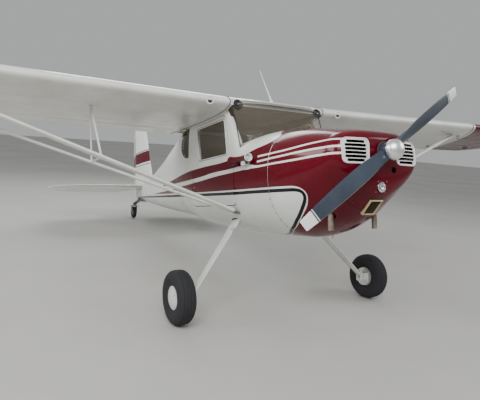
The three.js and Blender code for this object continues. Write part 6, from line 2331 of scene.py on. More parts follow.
        # A black disc fills the port's opening: painted shade for the dark inside of the port
        hole = Form().rod(place + np.array((-0.006, 0, 0)), place + np.array((0.0012, 0, 0)),
                          0.022, sides=28)
        put(hole.mirrored(self.side), f"air_port_mouth_{suffix}", GASKET_AND_SHADE)
        ring = Form()
        foot = self.surface_point(0.18, self.tie_down_y, -1)
        loop = [foot + np.array((0.020 * math.cos(t), 0, -0.018 + 0.020 * math.sin(t)))
                for t in np.linspace(0, 2 * math.pi, 24, endpoint=False)]
        ring.tube(loop, 0.0038, sides=8, closed=True)
        ring.rod(foot + np.array((0, 0, 0.004)), foot + np.array((0, 0, -0.006)), 0.010, sides=16)
        put(ring.mirrored(self.side), f"tie_down_ring_{suffix}", STEEL)
        lamp = Form()
        spot = wing_point(0.32, 0.03, WING["tip"] - 0.055, 1.0)
        lamp.ball(spot, (0.045, 0.030, 0.022), 20)
        put(lamp.mirrored(self.side), f"tip_lamp_{suffix}",
            RED_LENS if self.side is Side.PORT else GREEN_LENS)
        brackets = Form()
        for y in self.bracket_spans:
            under = self.surface_point(0.74, y, -1)
            brackets.block(under + np.array((-0.055, -0.004, -0.022)),
                           under + np.array((0.030, 0.004, 0.003)), 0.003)
        put(brackets.mirrored(self.side), f"aileron_brackets_{suffix}", SHEET_ALUMINIUM)

    def seams(self) -> None:
        """Skin laps along the ribs, above and below, and along the spar."""
        laps = Form()
        for y in self.lap_spans:
            for sign in (1, -1):
                path = [self.surface_point(s, y, sign) for s in np.linspace(0.02, 0.70, 22)]
                laps.tube(path, 0.0013, sides=6)
        for s in self.lap_shares:
            for sign in (1, -1):
                path = [self.surface_point(s, y, sign) for y in np.linspace(0.56, 4.48, 30)]
                laps.tube(path, 0.0011, sides=6)
        put(laps.mirrored(self.side), f"wing_laps_{self.side.suffix}", WING_ENAMEL,
            marks=panel_marks)


STRUT_FOOT = (-0.020, 0.465, 0.680)
STRUT_WING_Y = 2.870


@dataclass
class Struts:
    """One side's lift struts, their fittings and the small struts halfway along them."""

    side: Side
    chord: tuple[float, float] = (0.084, 0.052)
    thickness: tuple[float, float] = (0.034, 0.024)
    jury_share: float = 0.485
    foot_sleeve: tuple[Point, ...] = ((0.020, 0.82), (0.023, 1.05), (0.040, 1.07), (0.044, 0.99))
    head_sleeve: tuple[Point, ...] = ((0.962, 0.99), (0.966, 1.07), (0.988, 1.05), (0.991, 0.82))

    def ends(self) -> tuple[np.ndarray, np.ndarray, np.ndarray, np.ndarray]:
        """Foot and top of the front strut, then of the rear one.

        Returns:
            Front foot, front top, rear foot and rear top.
        """
        front_foot = np.array(STRUT_FOOT)
        rear_foot = front_foot + np.array((-0.060, 0.020, 0.004))
        return (front_foot, wing_point(0.165, -0.052, STRUT_WING_Y),
                rear_foot, wing_point(0.66, -0.036, STRUT_WING_Y - 0.040))

    def oval_bar(self, start: np.ndarray, end: np.ndarray, chord: float, thickness: float,
                 shares: Sequence[tuple[float, float]]) -> Form:
        """A streamlined bar whose section scales by share of its length.

        Args:
            start: Middle of the first end.
            end: Middle of the far end.
            chord: Depth of the section fore and aft.
            thickness: Its thickness.
            shares: Pairs of share along the bar and scale there.

        Returns:
            The bar.
        """
        along = unit(end - start)
        across = unit(np.cross((1.0, 0, 0), along))
        fore = np.cross(along, across)
        turns = np.linspace(0, 2 * math.pi, 32, endpoint=False)
        rows = []
        for share, scale in shares:
            centre, row = start + (end - start) * share, []
            for t in turns:
                drawn = 1.12 if math.cos(t) < 0 else 0.88
                row.append(centre + fore * (chord / 2 * scale * math.cos(t) * drawn)
                           + across * (thickness / 2 * scale * math.sin(t)))
            rows.append(row)
        return Form().sheet(np.array(rows), around=True, capped=True)

    def build(self) -> None:
        """Builds the struts of this side."""
        suffix = self.side.suffix
        front_foot, front_top, rear_foot, rear_top = self.ends()
        spread = [(s, 1.0) for s in np.linspace(0.022, 0.985, 14)]
        front = self.oval_bar(front_foot, front_top, self.chord[0], self.thickness[0], spread)
        rear = self.oval_bar(rear_foot, rear_top, self.chord[1], self.thickness[1], spread)
        put(front.mirrored(self.side), f"lift_strut_front_{suffix}", WHITE_ENAMEL,
            replaces=[f"front_strut_{suffix}"])
        put(rear.mirrored(self.side), f"lift_strut_rear_{suffix}", WHITE_ENAMEL,
            replaces=[f"rear_strut_{suffix}"])
        fittings = Form()
        for foot, top, chord, thick in ((front_foot, front_top, 0.030, 0.016),
                                        (rear_foot, rear_top, 0.024, 0.013)):
            lug = self.oval_bar(foot, top, chord, thick, [(-0.016, 1), (0.024, 1.0)])
            head = self.oval_bar(foot, top, chord * 1.3, thick, [(0.98, 1), (1.004, 1.0)])
            fittings.joined(lug, head)
        fittings.rod(front_foot + np.array((0.016, 0.004, 0.004)),
                     rear_foot + np.array((-0.016, 0.004, 0.004)), 0.007, sides=16, round_by=0.001)
        for foot, top in ((front_foot, front_top), (rear_foot, rear_top)):
            near = foot + (top - foot) * 0.014
            fittings.rod(near + np.array((0.018, 0, 0)), near + np.array((-0.018, 0, 0)), 0.006,
                         sides=12, round_by=0.001)
        put(fittings.mirrored(self.side), f"strut_fittings_{suffix}", STEEL)
        cuffs = Form()
        for foot, top, chord, thick in ((front_foot, front_top, *self.sizes(0)),
                                        (rear_foot, rear_top, *self.sizes(1))):
            cuffs.joined(self.oval_bar(foot, top, chord, thick, self.foot_sleeve))
            cuffs.joined(self.oval_bar(foot, top, chord, thick, self.head_sleeve))
        put(cuffs.mirrored(self.side), f"strut_cuffs_{suffix}", WHITE_ENAMEL)
        self.jury(front_foot, front_top, rear_foot, rear_top)

    def sizes(self, index: int) -> tuple[float, float]:
        """Chord and thickness of the front or rear strut."""
        return self.chord[index], self.thickness[index]

    def jury(self, front_foot: np.ndarray, front_top: np.ndarray, rear_foot: np.ndarray,
             rear_top: np.ndarray) -> None:
        """The slim upright, slanted strut and spreader at the middle of the lift struts.

        Args:
            front_foot: Foot of the front strut.
            front_top: Top of the front strut.
            rear_foot: Foot of the rear strut.
            rear_top: Top of the rear strut.
        """
        on_front = front_foot + (front_top - front_foot) * self.jury_share
        on_rear = rear_foot + (rear_top - rear_foot) * self.jury_share
        spot = wing_point(0.30, -0.03, abs(on_front[1]) + 0.010)
        head = spot + np.array((0, 0, -0.022))
        form = Form().rod(on_front, spot, 0.009, sides=16)
        form.rod(on_rear, head + np.array((-0.024, 0, 0)), 0.008, sides=16)
        form.rod(on_front, on_rear, 0.008, sides=16)
        form.rod(head + np.array((-0.040, 0, 0)), head + np.array((0.014, 0, 0)), 0.012, sides=16,
                 round_by=0.002)
        for spot_on, thick, chord in ((on_front, 0.036, 0.090), (on_rear, 0.026, 0.057)):
            along = unit(front_top - front_foot)
            clamp = self.oval_bar(spot_on - along * 0.016, spot_on + along * 0.016, chord, thick,
                                  [(0, 1.0), (0.5, 1.04), (1, 1.0)])
            form.joined(clamp)
        put(form.mirrored(self.side), f"jury_strut_set_{self.side.suffix}", WHITE_ENAMEL,
            replaces=[f"jury_struts_{self.side.suffix}"])


# Tail

TAIL_HALF_SPAN = 1.460
FIN_FOOT_Z, FIN_TOP_Z = 1.215, 2.370


def tailplane_edges(y: float) -> tuple[float, float, float]:
    """Leading edge, trailing edge and half depth of the tailplane at a span.

    Args:
        y: Distance from the middle plane.

    Returns:
        Two stations and half of the depth.
    """
    share = min(y / TAIL_HALF_SPAN, 1.0)
    curve = 0.0 if share < 0.62 else ((share - 0.62) / 0.38) ** 2.4
    return (-3.650 - 0.060 * share - 0.330 * curve, -4.800 + 0.040 * share + 0.300 * curve,
            0.031 * (1 - 0.45 * share - 0.25 * curve))


def fin_edges(z: float) -> tuple[float, float, float]:
    """Leading edge, trailing edge and half depth of the fin at a height.

    Args:
        z: Height in the airframe.

    Returns:
        Two stations and half of the depth.
    """
    share = (z - FIN_FOOT_Z) / (FIN_TOP_Z - FIN_FOOT_Z)
    up = min(max(share, 0.0), 1.0)
    curve = 0.0 if up < 0.7 else ((up - 0.7) / 0.3) ** 2.3
    down = (-share / 0.16) ** 2 if share < 0 else 0.0
    return (-3.560 - 0.400 * up - 0.230 * curve,
            -5.005 - 0.070 * math.sin(math.pi * up) + 0.060 * up + 0.400 * curve + 0.130 * down,
            0.033 * (1 - 0.4 * up - 0.25 * curve))


def flat_foil(le_x: float, te_x: float, half: float, steps: int = 28) -> list[tuple[float, float]]:
    """Stations and offsets round a symmetric section, from its rear edge and back.

    Args:
        le_x: Station of the leading edge.
        te_x: Station of the trailing edge.
        half: Half of its depth.
        steps: Segments along each side.

    Returns:
        Pairs of station and offset.
    """
    s = (1 + np.cos(np.linspace(0, math.pi, steps + 1))) / 2
    height = foil_height(s, 1.0) / float(foil_height(np.array(0.3), 1.0)) * half
    xs = le_x + (te_x - le_x) * s
    return [*zip(xs, height), *zip(xs[::-1][1:-1], -height[::-1][1:-1])]


@dataclass
class Tail:
    """Fin, rudder, stabilisers and elevator."""

    hinge_x: float = -4.240
    fin_hinge_x: float = -4.350
    plane_z: float = 1.180
    nose: float = 0.028
    droop: float = math.radians(5)
    swing: float = math.radians(12)
    lug_heights: tuple[float, float] = (1.480, 2.020)
    rudder_room: float = 0.084

    def build(self) -> None:
        """Builds every surface of the tail."""
        self.fin()
        self.rudder()
        for side in Side:
            self.stabiliser(side)
        self.elevator()

    def fin_form(self, low: float, high: float = FIN_TOP_Z) -> Form:
        """The whole fin and rudder outline, as one blank.

        Args:
            low: Height of its foot.
            high: Height of its top.

        Returns:
            The blank.
        """
        levels = np.concatenate([np.linspace(low, 2.02, 26)[:-1],
                                 2.02 + 0.35 * np.sin(np.linspace(0, math.pi / 2, 18))])
        rows = [[(x, y, z) for x, y in flat_foil(*fin_edges(min(z, high)))] for z in levels]
        return Form().sheet(np.array(rows), around=True, capped=True).outward()

    def rudder_space(self, radius: float) -> tuple[Form, Form]:
        """The space behind the rudder's hinge and the round cove on it.

        Args:
            radius: Radius of the cove.

        Returns:
            A block behind the hinge line and a rod along it.
        """
        return (Form().block((-5.5, -0.3, 0.8), (self.fin_hinge_x, 0.3, 2.6), 0.0001, 1),
                Form().rod((self.fin_hinge_x, 0, 0.8), (self.fin_hinge_x, 0, 2.6),
                           radius, sides=36))

    def fin(self) -> None:
        """The fixed fin with two hinge lugs."""
        fin = self.fin_form(1.190)
        fin.cut(Cut.AWAY, *self.rudder_space(self.nose + RUNNING_GAP))
        lugs = Form()
        for z in self.lug_heights:
            lugs.block((self.fin_hinge_x, -0.008, z - 0.006),
                       (self.fin_hinge_x + 0.046, 0.008, z + 0.006), 0.001)
            lugs.rod((self.fin_hinge_x, 0, z - 0.006), (self.fin_hinge_x, 0, z + 0.006),
                     0.011, sides=20)
        put(fin, "fin_skin", FIN_ENAMEL, replaces=["fin"], marks=place_marks)
        put(lugs, "rudder_hinge_lugs", STEEL)
        foot = []
        for x, half in flat_foil(-3.575, -4.31, 0.034, 24):
            level = HULL.section(max(x, TAIL_END_X))[1]
            foot.append((x, half * 1.05, level - 0.004))
        put(Form().tube(foot, 0.006, sides=8, closed=True), "fin_fillet", WHITE_ENAMEL)

    def turned(self, form: Form) -> Form:
        """Lays the rudder over to port about its hinge, as it parks."""
        to = Matrix.Translation((self.fin_hinge_x, 0, 0))
        return form.moved(to @ Matrix.Rotation(-self.swing, 4, "Z") @ to.inverted())

    def rudder(self) -> None:
        """The rudder with its beads, slots at the hinges and a ground trim tab."""
        rudder = self.fin_form(1.035)
        behind, round_nose = self.rudder_space(self.nose)
        rudder.cut(Cut.COMMON, behind.cut(Cut.BOTH, round_nose))
        slots = []
        for z in self.lug_heights:
            slots.append(Form().block((self.fin_hinge_x - 0.017, -0.1, z - 0.012),
                                      (self.fin_hinge_x + 0.1, 0.1, z + 0.012), 0.0001, 1))
        rudder.cut(Cut.AWAY, *slots)
        put(self.turned(rudder), "rudder_skin", FIN_ENAMEL, "rudder", replaces=["rudder"],
            marks=place_marks)
        beads = Form()
        for z in np.arange(1.12, 2.16, 0.088):
            le_x, te_x, half = fin_edges(z)
            outline = [p for p in flat_foil(le_x, te_x, half) if p[0] < self.fin_hinge_x - 0.05
                       and p[0] > te_x + 0.03]
            for sign in (1, -1):
                path = [(x, y, z) for x, y in outline if y * sign > 0]
                if len(path) > 2:
                    beads.tube(path, 0.0018, sides=6)
        for z in self.lug_heights:
            beads.rod((self.fin_hinge_x, 0, z - 0.014), (self.fin_hinge_x, 0, z + 0.014),
                      0.005, sides=14)
        put(self.turned(beads), "rudder_beads", FIN_ENAMEL, "rudder",
            marks=place_marks)
        tab = Form().block((-5.075, -0.0012, 1.30), (-5.02, 0.0012, 1.52), 0.0005, 1)
        put(self.turned(tab), "rudder_trim_tab", SHEET_ALUMINIUM, "rudder")
        lamp = Form().ball((-5.045, 0, 1.62), (0.018, 0.012, 0.016), 18)
        put(self.turned(lamp), "tail_lamp", LENS, "rudder")

    def half_plane(self, side: Side, start: float) -> Form:
        """One half of the tailplane with its elevator, as one blank.

        Args:
            side: Side of the airframe.
            start: Distance of its root from the middle plane.

        Returns:
            The blank.
        """
        spans = np.concatenate([np.linspace(start, 0.9, 22)[:-1],
                                0.9 + 0.56 * np.sin(np.linspace(0, math.pi / 2, 22))])
        rows = [[(x, y, self.plane_z + h) for x, h in flat_foil(*tailplane_edges(y))]
                for y in spans]
        return Form().sheet(np.array(rows), around=True, capped=True).outward().mirrored(side)

    def plane_space(self, radius: float) -> tuple[Form, Form]:
        """The space behind the elevator's hinge and the round cove on it.

        Args:
            radius: Radius of the cove.

        Returns:
            The space and the cove.
        """
        z = self.plane_z
        return (Form().block((-5.2, -1.7, z - 0.3), (self.hinge_x, 1.7, z + 0.3), 0.0001, 1),
                Form().rod((self.hinge_x, -1.7, z), (self.hinge_x, 1.7, z), radius, sides=36))

    def stabiliser(self, side: Side) -> None:
        """The fixed half of the tailplane on one side.

        Args:
            side: Side of the airframe.
        """
        half = self.half_plane(side, 0.03)
        half.cut(Cut.AWAY, *self.plane_space(self.nose + RUNNING_GAP))
        put(half, f"stabiliser_skin_{side.suffix}", WHITE_ENAMEL,
            replaces=[f"stabiliser_{side.suffix}"])
        laps = Form()
        for y in (0.40, 0.80, 1.12):
            le_x, te_x, depth = tailplane_edges(y)
            outline = [(x, h) for x, h in flat_foil(le_x, te_x, depth) if x > self.hinge_x + 0.045]
            for sign in (1, -1):
                path = [(x, side.value * y, self.plane_z + h) for x, h in outline if h * sign > 0]
                laps.tube(path, 0.0014, sides=6)
        put(laps, f"stabiliser_laps_{side.suffix}", WHITE_ENAMEL)

    def elevator(self) -> None:
        """Both elevator halves on their torque tube, drooping a little as they park."""
        z = self.plane_z
        behind, round_nose = self.plane_space(self.nose)
        space = behind.cut(Cut.BOTH, round_nose)
        whole = self.half_plane(Side.PORT, 0.03).joined(self.half_plane(Side.STARBOARD, 0.03))
        whole.cut(Cut.COMMON, space)
        room = [(self.hinge_x + 0.2, self.rudder_room), (self.hinge_x - 0.04, self.rudder_room),
                (-5.0, 0.360)]
        outline = room + [(x, -y) for x, y in room[::-1]]
        whole.cut(Cut.AWAY, Form().prism(outline, plan_view, z - 0.2, z + 0.2))
        whole.rod((self.hinge_x, -0.1, z), (self.hinge_x, 0.1, z), 0.014, sides=28)
        beads = Form()
        for y in np.arange(0.20, 1.30, 0.082):
            le_x, te_x, depth = tailplane_edges(y)
            for sign in (1, -1):
                path = [(x, y, z + h) for x, h in flat_foil(le_x, te_x, depth)
                        if te_x + 0.02 < x < self.hinge_x - 0.05 and h * sign > 0
                        and y > self.rudder_room + (self.hinge_x - x) * 0.40]
                if len(path) > 2:
                    beads.tube(path, 0.0016, sides=6)
        beads.both_sides()
        to = Matrix.Translation((self.hinge_x, 0, z))
        droop = to @ Matrix.Rotation(-self.droop, 4, "Y") @ to.inverted()
        put(whole.moved(droop), "elevator_skin", WHITE_ENAMEL, "elevator", replaces=["elevator"])
        put(beads.moved(droop), "elevator_beads", WHITE_ENAMEL, "elevator")


# Propeller

# The blade by share of its radius: chord and thickness in millimetres, then pitch in degrees
BLADE_TABLE = ((0.05, 90, 46, 44), (0.16, 98, 34, 38), (0.32, 113, 22, 30), (0.55, 112, 15, 22),
               (0.78, 99, 10, 17), (0.93, 83, 8, 14), (1.0, 76, 6, 13))


@dataclass
class Propeller:
    """Two-blade fixed-pitch propeller with its hub, plates and polished dome."""

    x: float = 1.290
    z: float = SHAFT_Z
    radius: float = 0.916
    angle: float = math.radians(33.5)
    dome: float = 0.073
    hub: float = 0.062
    back_plate: float = 0.070
    front_plate: float = 0.069

    def build(self) -> None:
        """Builds the blades, the hub and the dome."""
        blades = Form()
        for turn in (self.angle, self.angle + math.pi):
            blades.joined(self.blade(turn))
        blades.rod((self.x - 0.045, 0, self.z), (self.x + 0.036, 0, self.z), self.hub, sides=48,
                   round_by=0.004)
        put(blades, "propeller_blades", BLADE_PAINT, "propeller", replaces=["propeller"],
            marks=self.shares)
        back = Form().rod((self.x - 0.0455, 0, self.z), (self.x - 0.036, 0, self.z),
                          self.back_plate, sides=48, round_by=0.002)
        put(back, "hub_back_plate", CAST_METAL, "propeller")
        plate = Form().rod((self.x + 0.034, 0, self.z), (self.x + 0.0375, 0, self.z),
                           self.front_plate, sides=48, round_by=0.001)
        put(plate, "hub_front_plate", SHEET_ALUMINIUM, "propeller")
        profile = [(self.dome - 0.004, 0.0), (self.dome, 0.001), (self.dome, 0.010)]
        for t in np.linspace(0, math.pi / 2, 22):
            profile.append((self.dome * math.cos(t) if t < math.pi / 2 - 1e-6 else 0.0,
                            0.012 + 0.062 * math.sin(t)))
        profile += [(0.0, 0.0), (self.dome - 0.004, 0.0)]
        dome = Form().lathe(profile, (1, 0, 0), (self.x + 0.0365, 0, self.z), 64)
        put(dome, "spinner_dome", POLISHED, "propeller", replaces=["spinner"])
        screws = Form()
        for k in range(6):
            turn = k * math.pi / 3 + 0.3
            out = np.array((0, math.cos(turn), math.sin(turn)))
            spot = np.array((self.x + 0.0425, 0, self.z)) + out * (self.dome - 0.0006)
            fastener_row(screws, [(spot, out)], 0.0042, 0.0014)
        put(screws, "spinner_screws", STEEL, "propeller")

    def shares(self, places: np.ndarray) -> dict[str, np.ndarray]:
        """Share of the propeller's radius at each vertex.

        Args:
            places: Vertices in airframe metres.

        Returns:
            The attributes that the blade paint reads.
        """
        share = np.hypot(places[:, 1], places[:, 2] - self.z) / self.radius
        table = np.array(BLADE_TABLE)
        chord, pitch = (smooth_column(share, table[:, 0], table[:, k]) for k in (1, 3))
        outward = np.array((math.cos(self.angle), math.sin(self.angle)))
        sign = np.where(places[:, 1:] @ outward - self.z * outward[1] > 0, 1, -1)
        around = sign * ((places[:, 2] - self.z) * outward[0] - places[:, 1] * outward[1])
        turn = np.radians(pitch)
        along = around * np.cos(turn) + (places[:, 0] - self.x) * np.sin(turn)
        return {"radius_share": share, "blade_front": along / (chord * MM / 2)}

    def blade(self, turn: float) -> Form:
        """One twisted blade with a cambered back and a rounded tip.

        Args:
            turn: Angle of the blade from the port side upwards.

        Returns:
            The blade.
        """
        outward = np.array((0, math.cos(turn), math.sin(turn)))
        travel = np.cross((1.0, 0, 0), outward)
        table = np.array(BLADE_TABLE)
        shares = np.concatenate([np.linspace(0.05, 0.985, 52),
                                 0.985 + 0.015 * np.sin(np.linspace(0.2, math.pi / 2, 7))])
        chords, depths, pitches = (smooth_column(shares, table[:, 0], table[:, k])
                                   for k in (1, 2, 3))
        rows = []
        turns = np.linspace(0, 2 * math.pi, 40, endpoint=False)
        for share, chord, depth, pitch in zip(shares, chords, depths, pitches):
            if share > 0.985:
                tip = math.sqrt(max(1 - ((share - 0.985) / 0.0152) ** 2, 0.0))
                chord, depth = chord * (0.80 + 0.20 * tip), depth * max(tip, 0.3)
            lean = math.radians(pitch)
            along = travel * math.cos(lean) + np.array((math.sin(lean), 0, 0))
            face = np.cross(outward, along)
            foil = min(max((share - 0.12) / 0.2, 0.0), 1.0)
            ring = []
            for t in turns:
                a, b = math.cos(t), math.sin(t)
                thick = b * (1 - foil * 0.35 * a * (1 if abs(b) > 0 else 0))
                flat = thick if thick > 0 or foil == 0 else thick * (1 - 0.35 * foil)
                ring.append(np.array((self.x, 0, self.z)) + outward * share * self.radius
                            + along * (chord * MM / 2 * a) + face * (depth * MM / 2 * flat))
            rows.append(ring)
        return Form().sheet(np.array(rows), around=True, capped=True)


def smooth_column(at: np.ndarray, xs: np.ndarray, values: np.ndarray) -> np.ndarray:
    """Reads a table column with gentle curves between its rows."""
    line = smooth_line(np.stack([xs, values * 0.01], axis=1), 0.01)
    return np.interp(at, line[:, 0], line[:, 1] * 100)


# Landing gear

def squared_ring(wide: np.ndarray, thick: np.ndarray, power: float) -> list[np.ndarray]:
    """Offsets round a bar with flat faces and rounded edges.

    Args:
        wide: Half of the bar's width, as a vector.
        thick: Half of its thickness, as a vector.
        power: How sharp its edges are, sharper towards nought.

    Returns:
        One offset from the bar's middle line for each corner of the ring.
    """
    turns = np.linspace(0, 2 * math.pi, 28, endpoint=False)
    return [wide * math.copysign(abs(math.cos(t)) ** power, math.cos(t))
            + thick * math.copysign(abs(math.sin(t)) ** power, math.sin(t)) for t in turns]


@dataclass
class MainGear:
    """One main leg with its step, brake, wheel and tyre."""

    side: Side
    top: tuple[float, float, float] = (-0.150, 0.405, 0.628)
    foot: tuple[float, float, float] = (0.0, 0.922, 0.034)
    track_half: float = 1.055
    radius: float = 0.223
    leg_shares: tuple[float, ...] = (-0.16, 0, 0.5, 1)
    leg_widths: tuple[float, ...] = (0.118, 0.112, 0.084, 0.062)
    leg_depths: tuple[float, ...] = (0.022, 0.022, 0.019, 0.017)
    grooves: tuple[float, ...] = (-0.037, -0.0125, 0.0125, 0.037)
    tyre_half: float = 0.075
    bead: float = 0.0935
    disc_profile: tuple[Point, ...] = ((0.040, 0.0), (0.088, 0.0), (0.089, 0.001), (0.089, 0.005),
                                       (0.088, 0.006), (0.040, 0.006), (0.040, 0.0))

    def build(self) -> None:
        """Builds the leg and all that it carries."""
        self.leg()
        self.brake()
        self.tyre()
        self.wheel()

    def leg(self) -> None:
        """The tapered spring-steel leaf, painted, with rounded edges, and its step peg."""
        suffix = self.side.suffix
        top, foot = np.array(self.top), np.array(self.foot)
        along = unit(foot - top)
        wide = unit(np.array((1.0, 0, 0)) - along * along[0])
        thick = np.cross(along, wide)
        rows = []
        for at in np.linspace(-0.06, 1.0, 18):
            width = np.interp(at, self.leg_shares, self.leg_widths) / 2
            depth = np.interp(at, self.leg_shares, self.leg_depths) / 2
            centre = top + (foot - top) * at
            rows.append([centre + off for off in squared_ring(wide * width, thick * depth, 0.28)])
        leaf = Form().sheet(np.array(rows), around=True, capped=True)
        leaf.block((-0.042, 0.930, -0.042), (0.042, 0.946, 0.060), 0.004)
        leaf.rod((0, 0.930, 0), (0, self.track_half + 0.050, 0), 0.017, sides=24)
        put(leaf.mirrored(self.side), f"main_leg_{suffix}", WHITE_ENAMEL,
            replaces=[f"gear_leg_{suffix}"])
        root = top + (foot - top) * 0.16
        end = root + np.array((0.095, 0.020, 0.010))
        step = Form().rod(root, end, 0.008, sides=16)
        step.rod(root + (end - root) * 0.25, end, 0.011, sides=20, round_by=0.002)
        step.block(root - np.array((0.018, 0.014, 0.016)),
                   root + np.array((0.018, 0.014, 0.016)), 0.004)
        put(step.mirrored(self.side), f"step_peg_{suffix}", WHITE_ENAMEL)
        clamp = Form()
        near = top + (foot - top) * 0.005
        ring = squared_ring(wide * 0.064, thick * 0.017, 0.3)
        rows = [[near + along * shift + off for off in ring] for shift in (-0.014, 0.014)]
        clamp.sheet(np.array(rows), around=True, capped=True)
        put(clamp.mirrored(self.side), f"leg_fairing_{suffix}", GASKET_AND_SHADE)
        line = [top + (foot - top) * t - wide * (0.058 - 0.024 * t) + thick * 0.004
                for t in np.linspace(0.06, 0.93, 16)]
        hose = Form().tube(smooth_line([*line, (0.02, 0.938, 0.055), (0.05, 0.944, 0.045)], 0.02),
                           0.0035, sides=8)
        put(hose.mirrored(self.side), f"brake_line_{suffix}", GASKET_AND_SHADE)

    def brake(self) -> None:
        """The caliper with its cylinders and bolts, and the bright disc."""
        suffix = self.side.suffix
        body = Form().block((0.012, 0.947, -0.034), (0.096, 0.974, 0.040), 0.006, 3)
        for z in (-0.012, 0.020):
            body.rod((0.060, 0.940, z), (0.060, 0.949, z), 0.014, sides=24, round_by=0.002)
            for x in (0.024, 0.086):
                body.rod((x, 0.942, z), (x, 0.949, z), 0.005, sides=6)
        body.block((-0.040, 0.9463, -0.030), (0.040, 0.956, 0.030), 0.003)
        put(body.mirrored(self.side), f"brake_caliper_{suffix}", WHITE_ENAMEL,
            replaces=[f"brake_{suffix}"])
        disc = Form().lathe(self.disc_profile, (0, 1, 0), (0, 0.982, 0), 64)
        put(disc.mirrored(self.side), f"brake_disc_{suffix}", POLISHED, f"main_wheel_{suffix}")

    def tyre(self) -> None:
        """A ribbed tyre with rounded shoulders, sidewall rings and a moulded bead."""
        suffix = self.side.suffix
        profile = [(self.bead, -0.050), (self.bead + 0.006, -0.056), (0.112, -0.061),
                   (0.130, -0.0688), (0.150, -0.0735), (0.165, -self.tyre_half), (0.182, -0.0735),
                   (0.196, -0.069), (0.207, -0.0605), (0.2145, -0.0500)]
        crown = []
        for y in np.linspace(-0.046, 0.046, 47):
            level = self.radius - 0.0072 * (abs(y) / 0.050) ** 2.6
            for groove in self.grooves:
                level -= 0.0045 * max(0.0, 1 - (abs(y - groove) / 0.0036) ** 4)
            crown.append((level, y))
        profile = profile + crown + [(r, -y) for r, y in profile[::-1]] + [(self.bead, -0.050)]
        tyre = Form().lathe(profile, (0, 1, 0), (0, self.track_half, 0), 96)
        turns = np.linspace(0, 2 * math.pi, 72, endpoint=False)
        for sign in (-1, 1):
            for radius, off in ((0.142, 0.0710), (0.187, 0.0705)):
                y = self.track_half + sign * off
                tyre.tube([(radius * math.cos(t), y, radius * math.sin(t)) for t in turns], 0.0013,
                          sides=6, closed=True)
        put(tyre.mirrored(self.side), f"ribbed_tyre_{suffix}", RUBBER, f"main_wheel_{suffix}",
            replaces=[f"tyre_{suffix}"])

    def wheel(self) -> None:
        """A cast rim under a domed white cap with a ring of screws."""
        suffix = self.side.suffix
        rim = [(0.0175, -0.052), (0.060, -0.052), (0.066, -0.044), (0.078, -0.044), (0.086, -0.052),
               (0.0925, -0.0505), (0.0925, 0.052), (0.086, 0.052), (0.078, 0.046), (0.0175, 0.046),
               (0.0175, -0.052)]
        wheel = Form().lathe(rim, (0, 1, 0), (0, self.track_half, 0), 64)
        for k in range(6):
            turn = k * math.pi / 3
            spot = np.array((0.040 * math.cos(turn), self.track_half - 0.052,
                             0.040 * math.sin(turn)))
            wheel.rod(spot, spot - np.array((0, 0.006, 0)), 0.006, sides=6)
        put(wheel.mirrored(self.side), f"wheel_rim_{suffix}", WHITE_ENAMEL, f"main_wheel_{suffix}",
            replaces=[f"wheel_{suffix}"])
        profile = [(0.090, 0.050), (0.0965, 0.052), (0.097, 0.055), (0.094, 0.058)]
        for t in np.linspace(0, 1, 16):
            profile.append((0.092 * (1 - t), 0.0588 + 0.0185 * (1 - (1 - t) ** 2.4)))
        profile += [(0.0, 0.068), (0.085, 0.052), (0.090, 0.050)]
        cap = Form().lathe(profile, (0, 1, 0), (0, self.track_half, 0), 64)
        put(cap.mirrored(self.side), f"hub_cap_{suffix}", WHITE_ENAMEL, f"main_wheel_{suffix}")
        screws = Form()
        for k in range(3):
            turn = k * 2 * math.pi / 3 + 0.4
            spot = np.array((0.078 * math.cos(turn), self.track_half + 0.0655,
                             0.078 * math.sin(turn)))
            facing = unit(np.array((0.25 * math.cos(turn), 1.0, 0.25 * math.sin(turn))))
            fastener_row(screws, [(spot, facing)], 0.0045, 0.0022)
        put(screws.mirrored(self.side), f"cap_screws_{suffix}", STEEL, f"main_wheel_{suffix}")


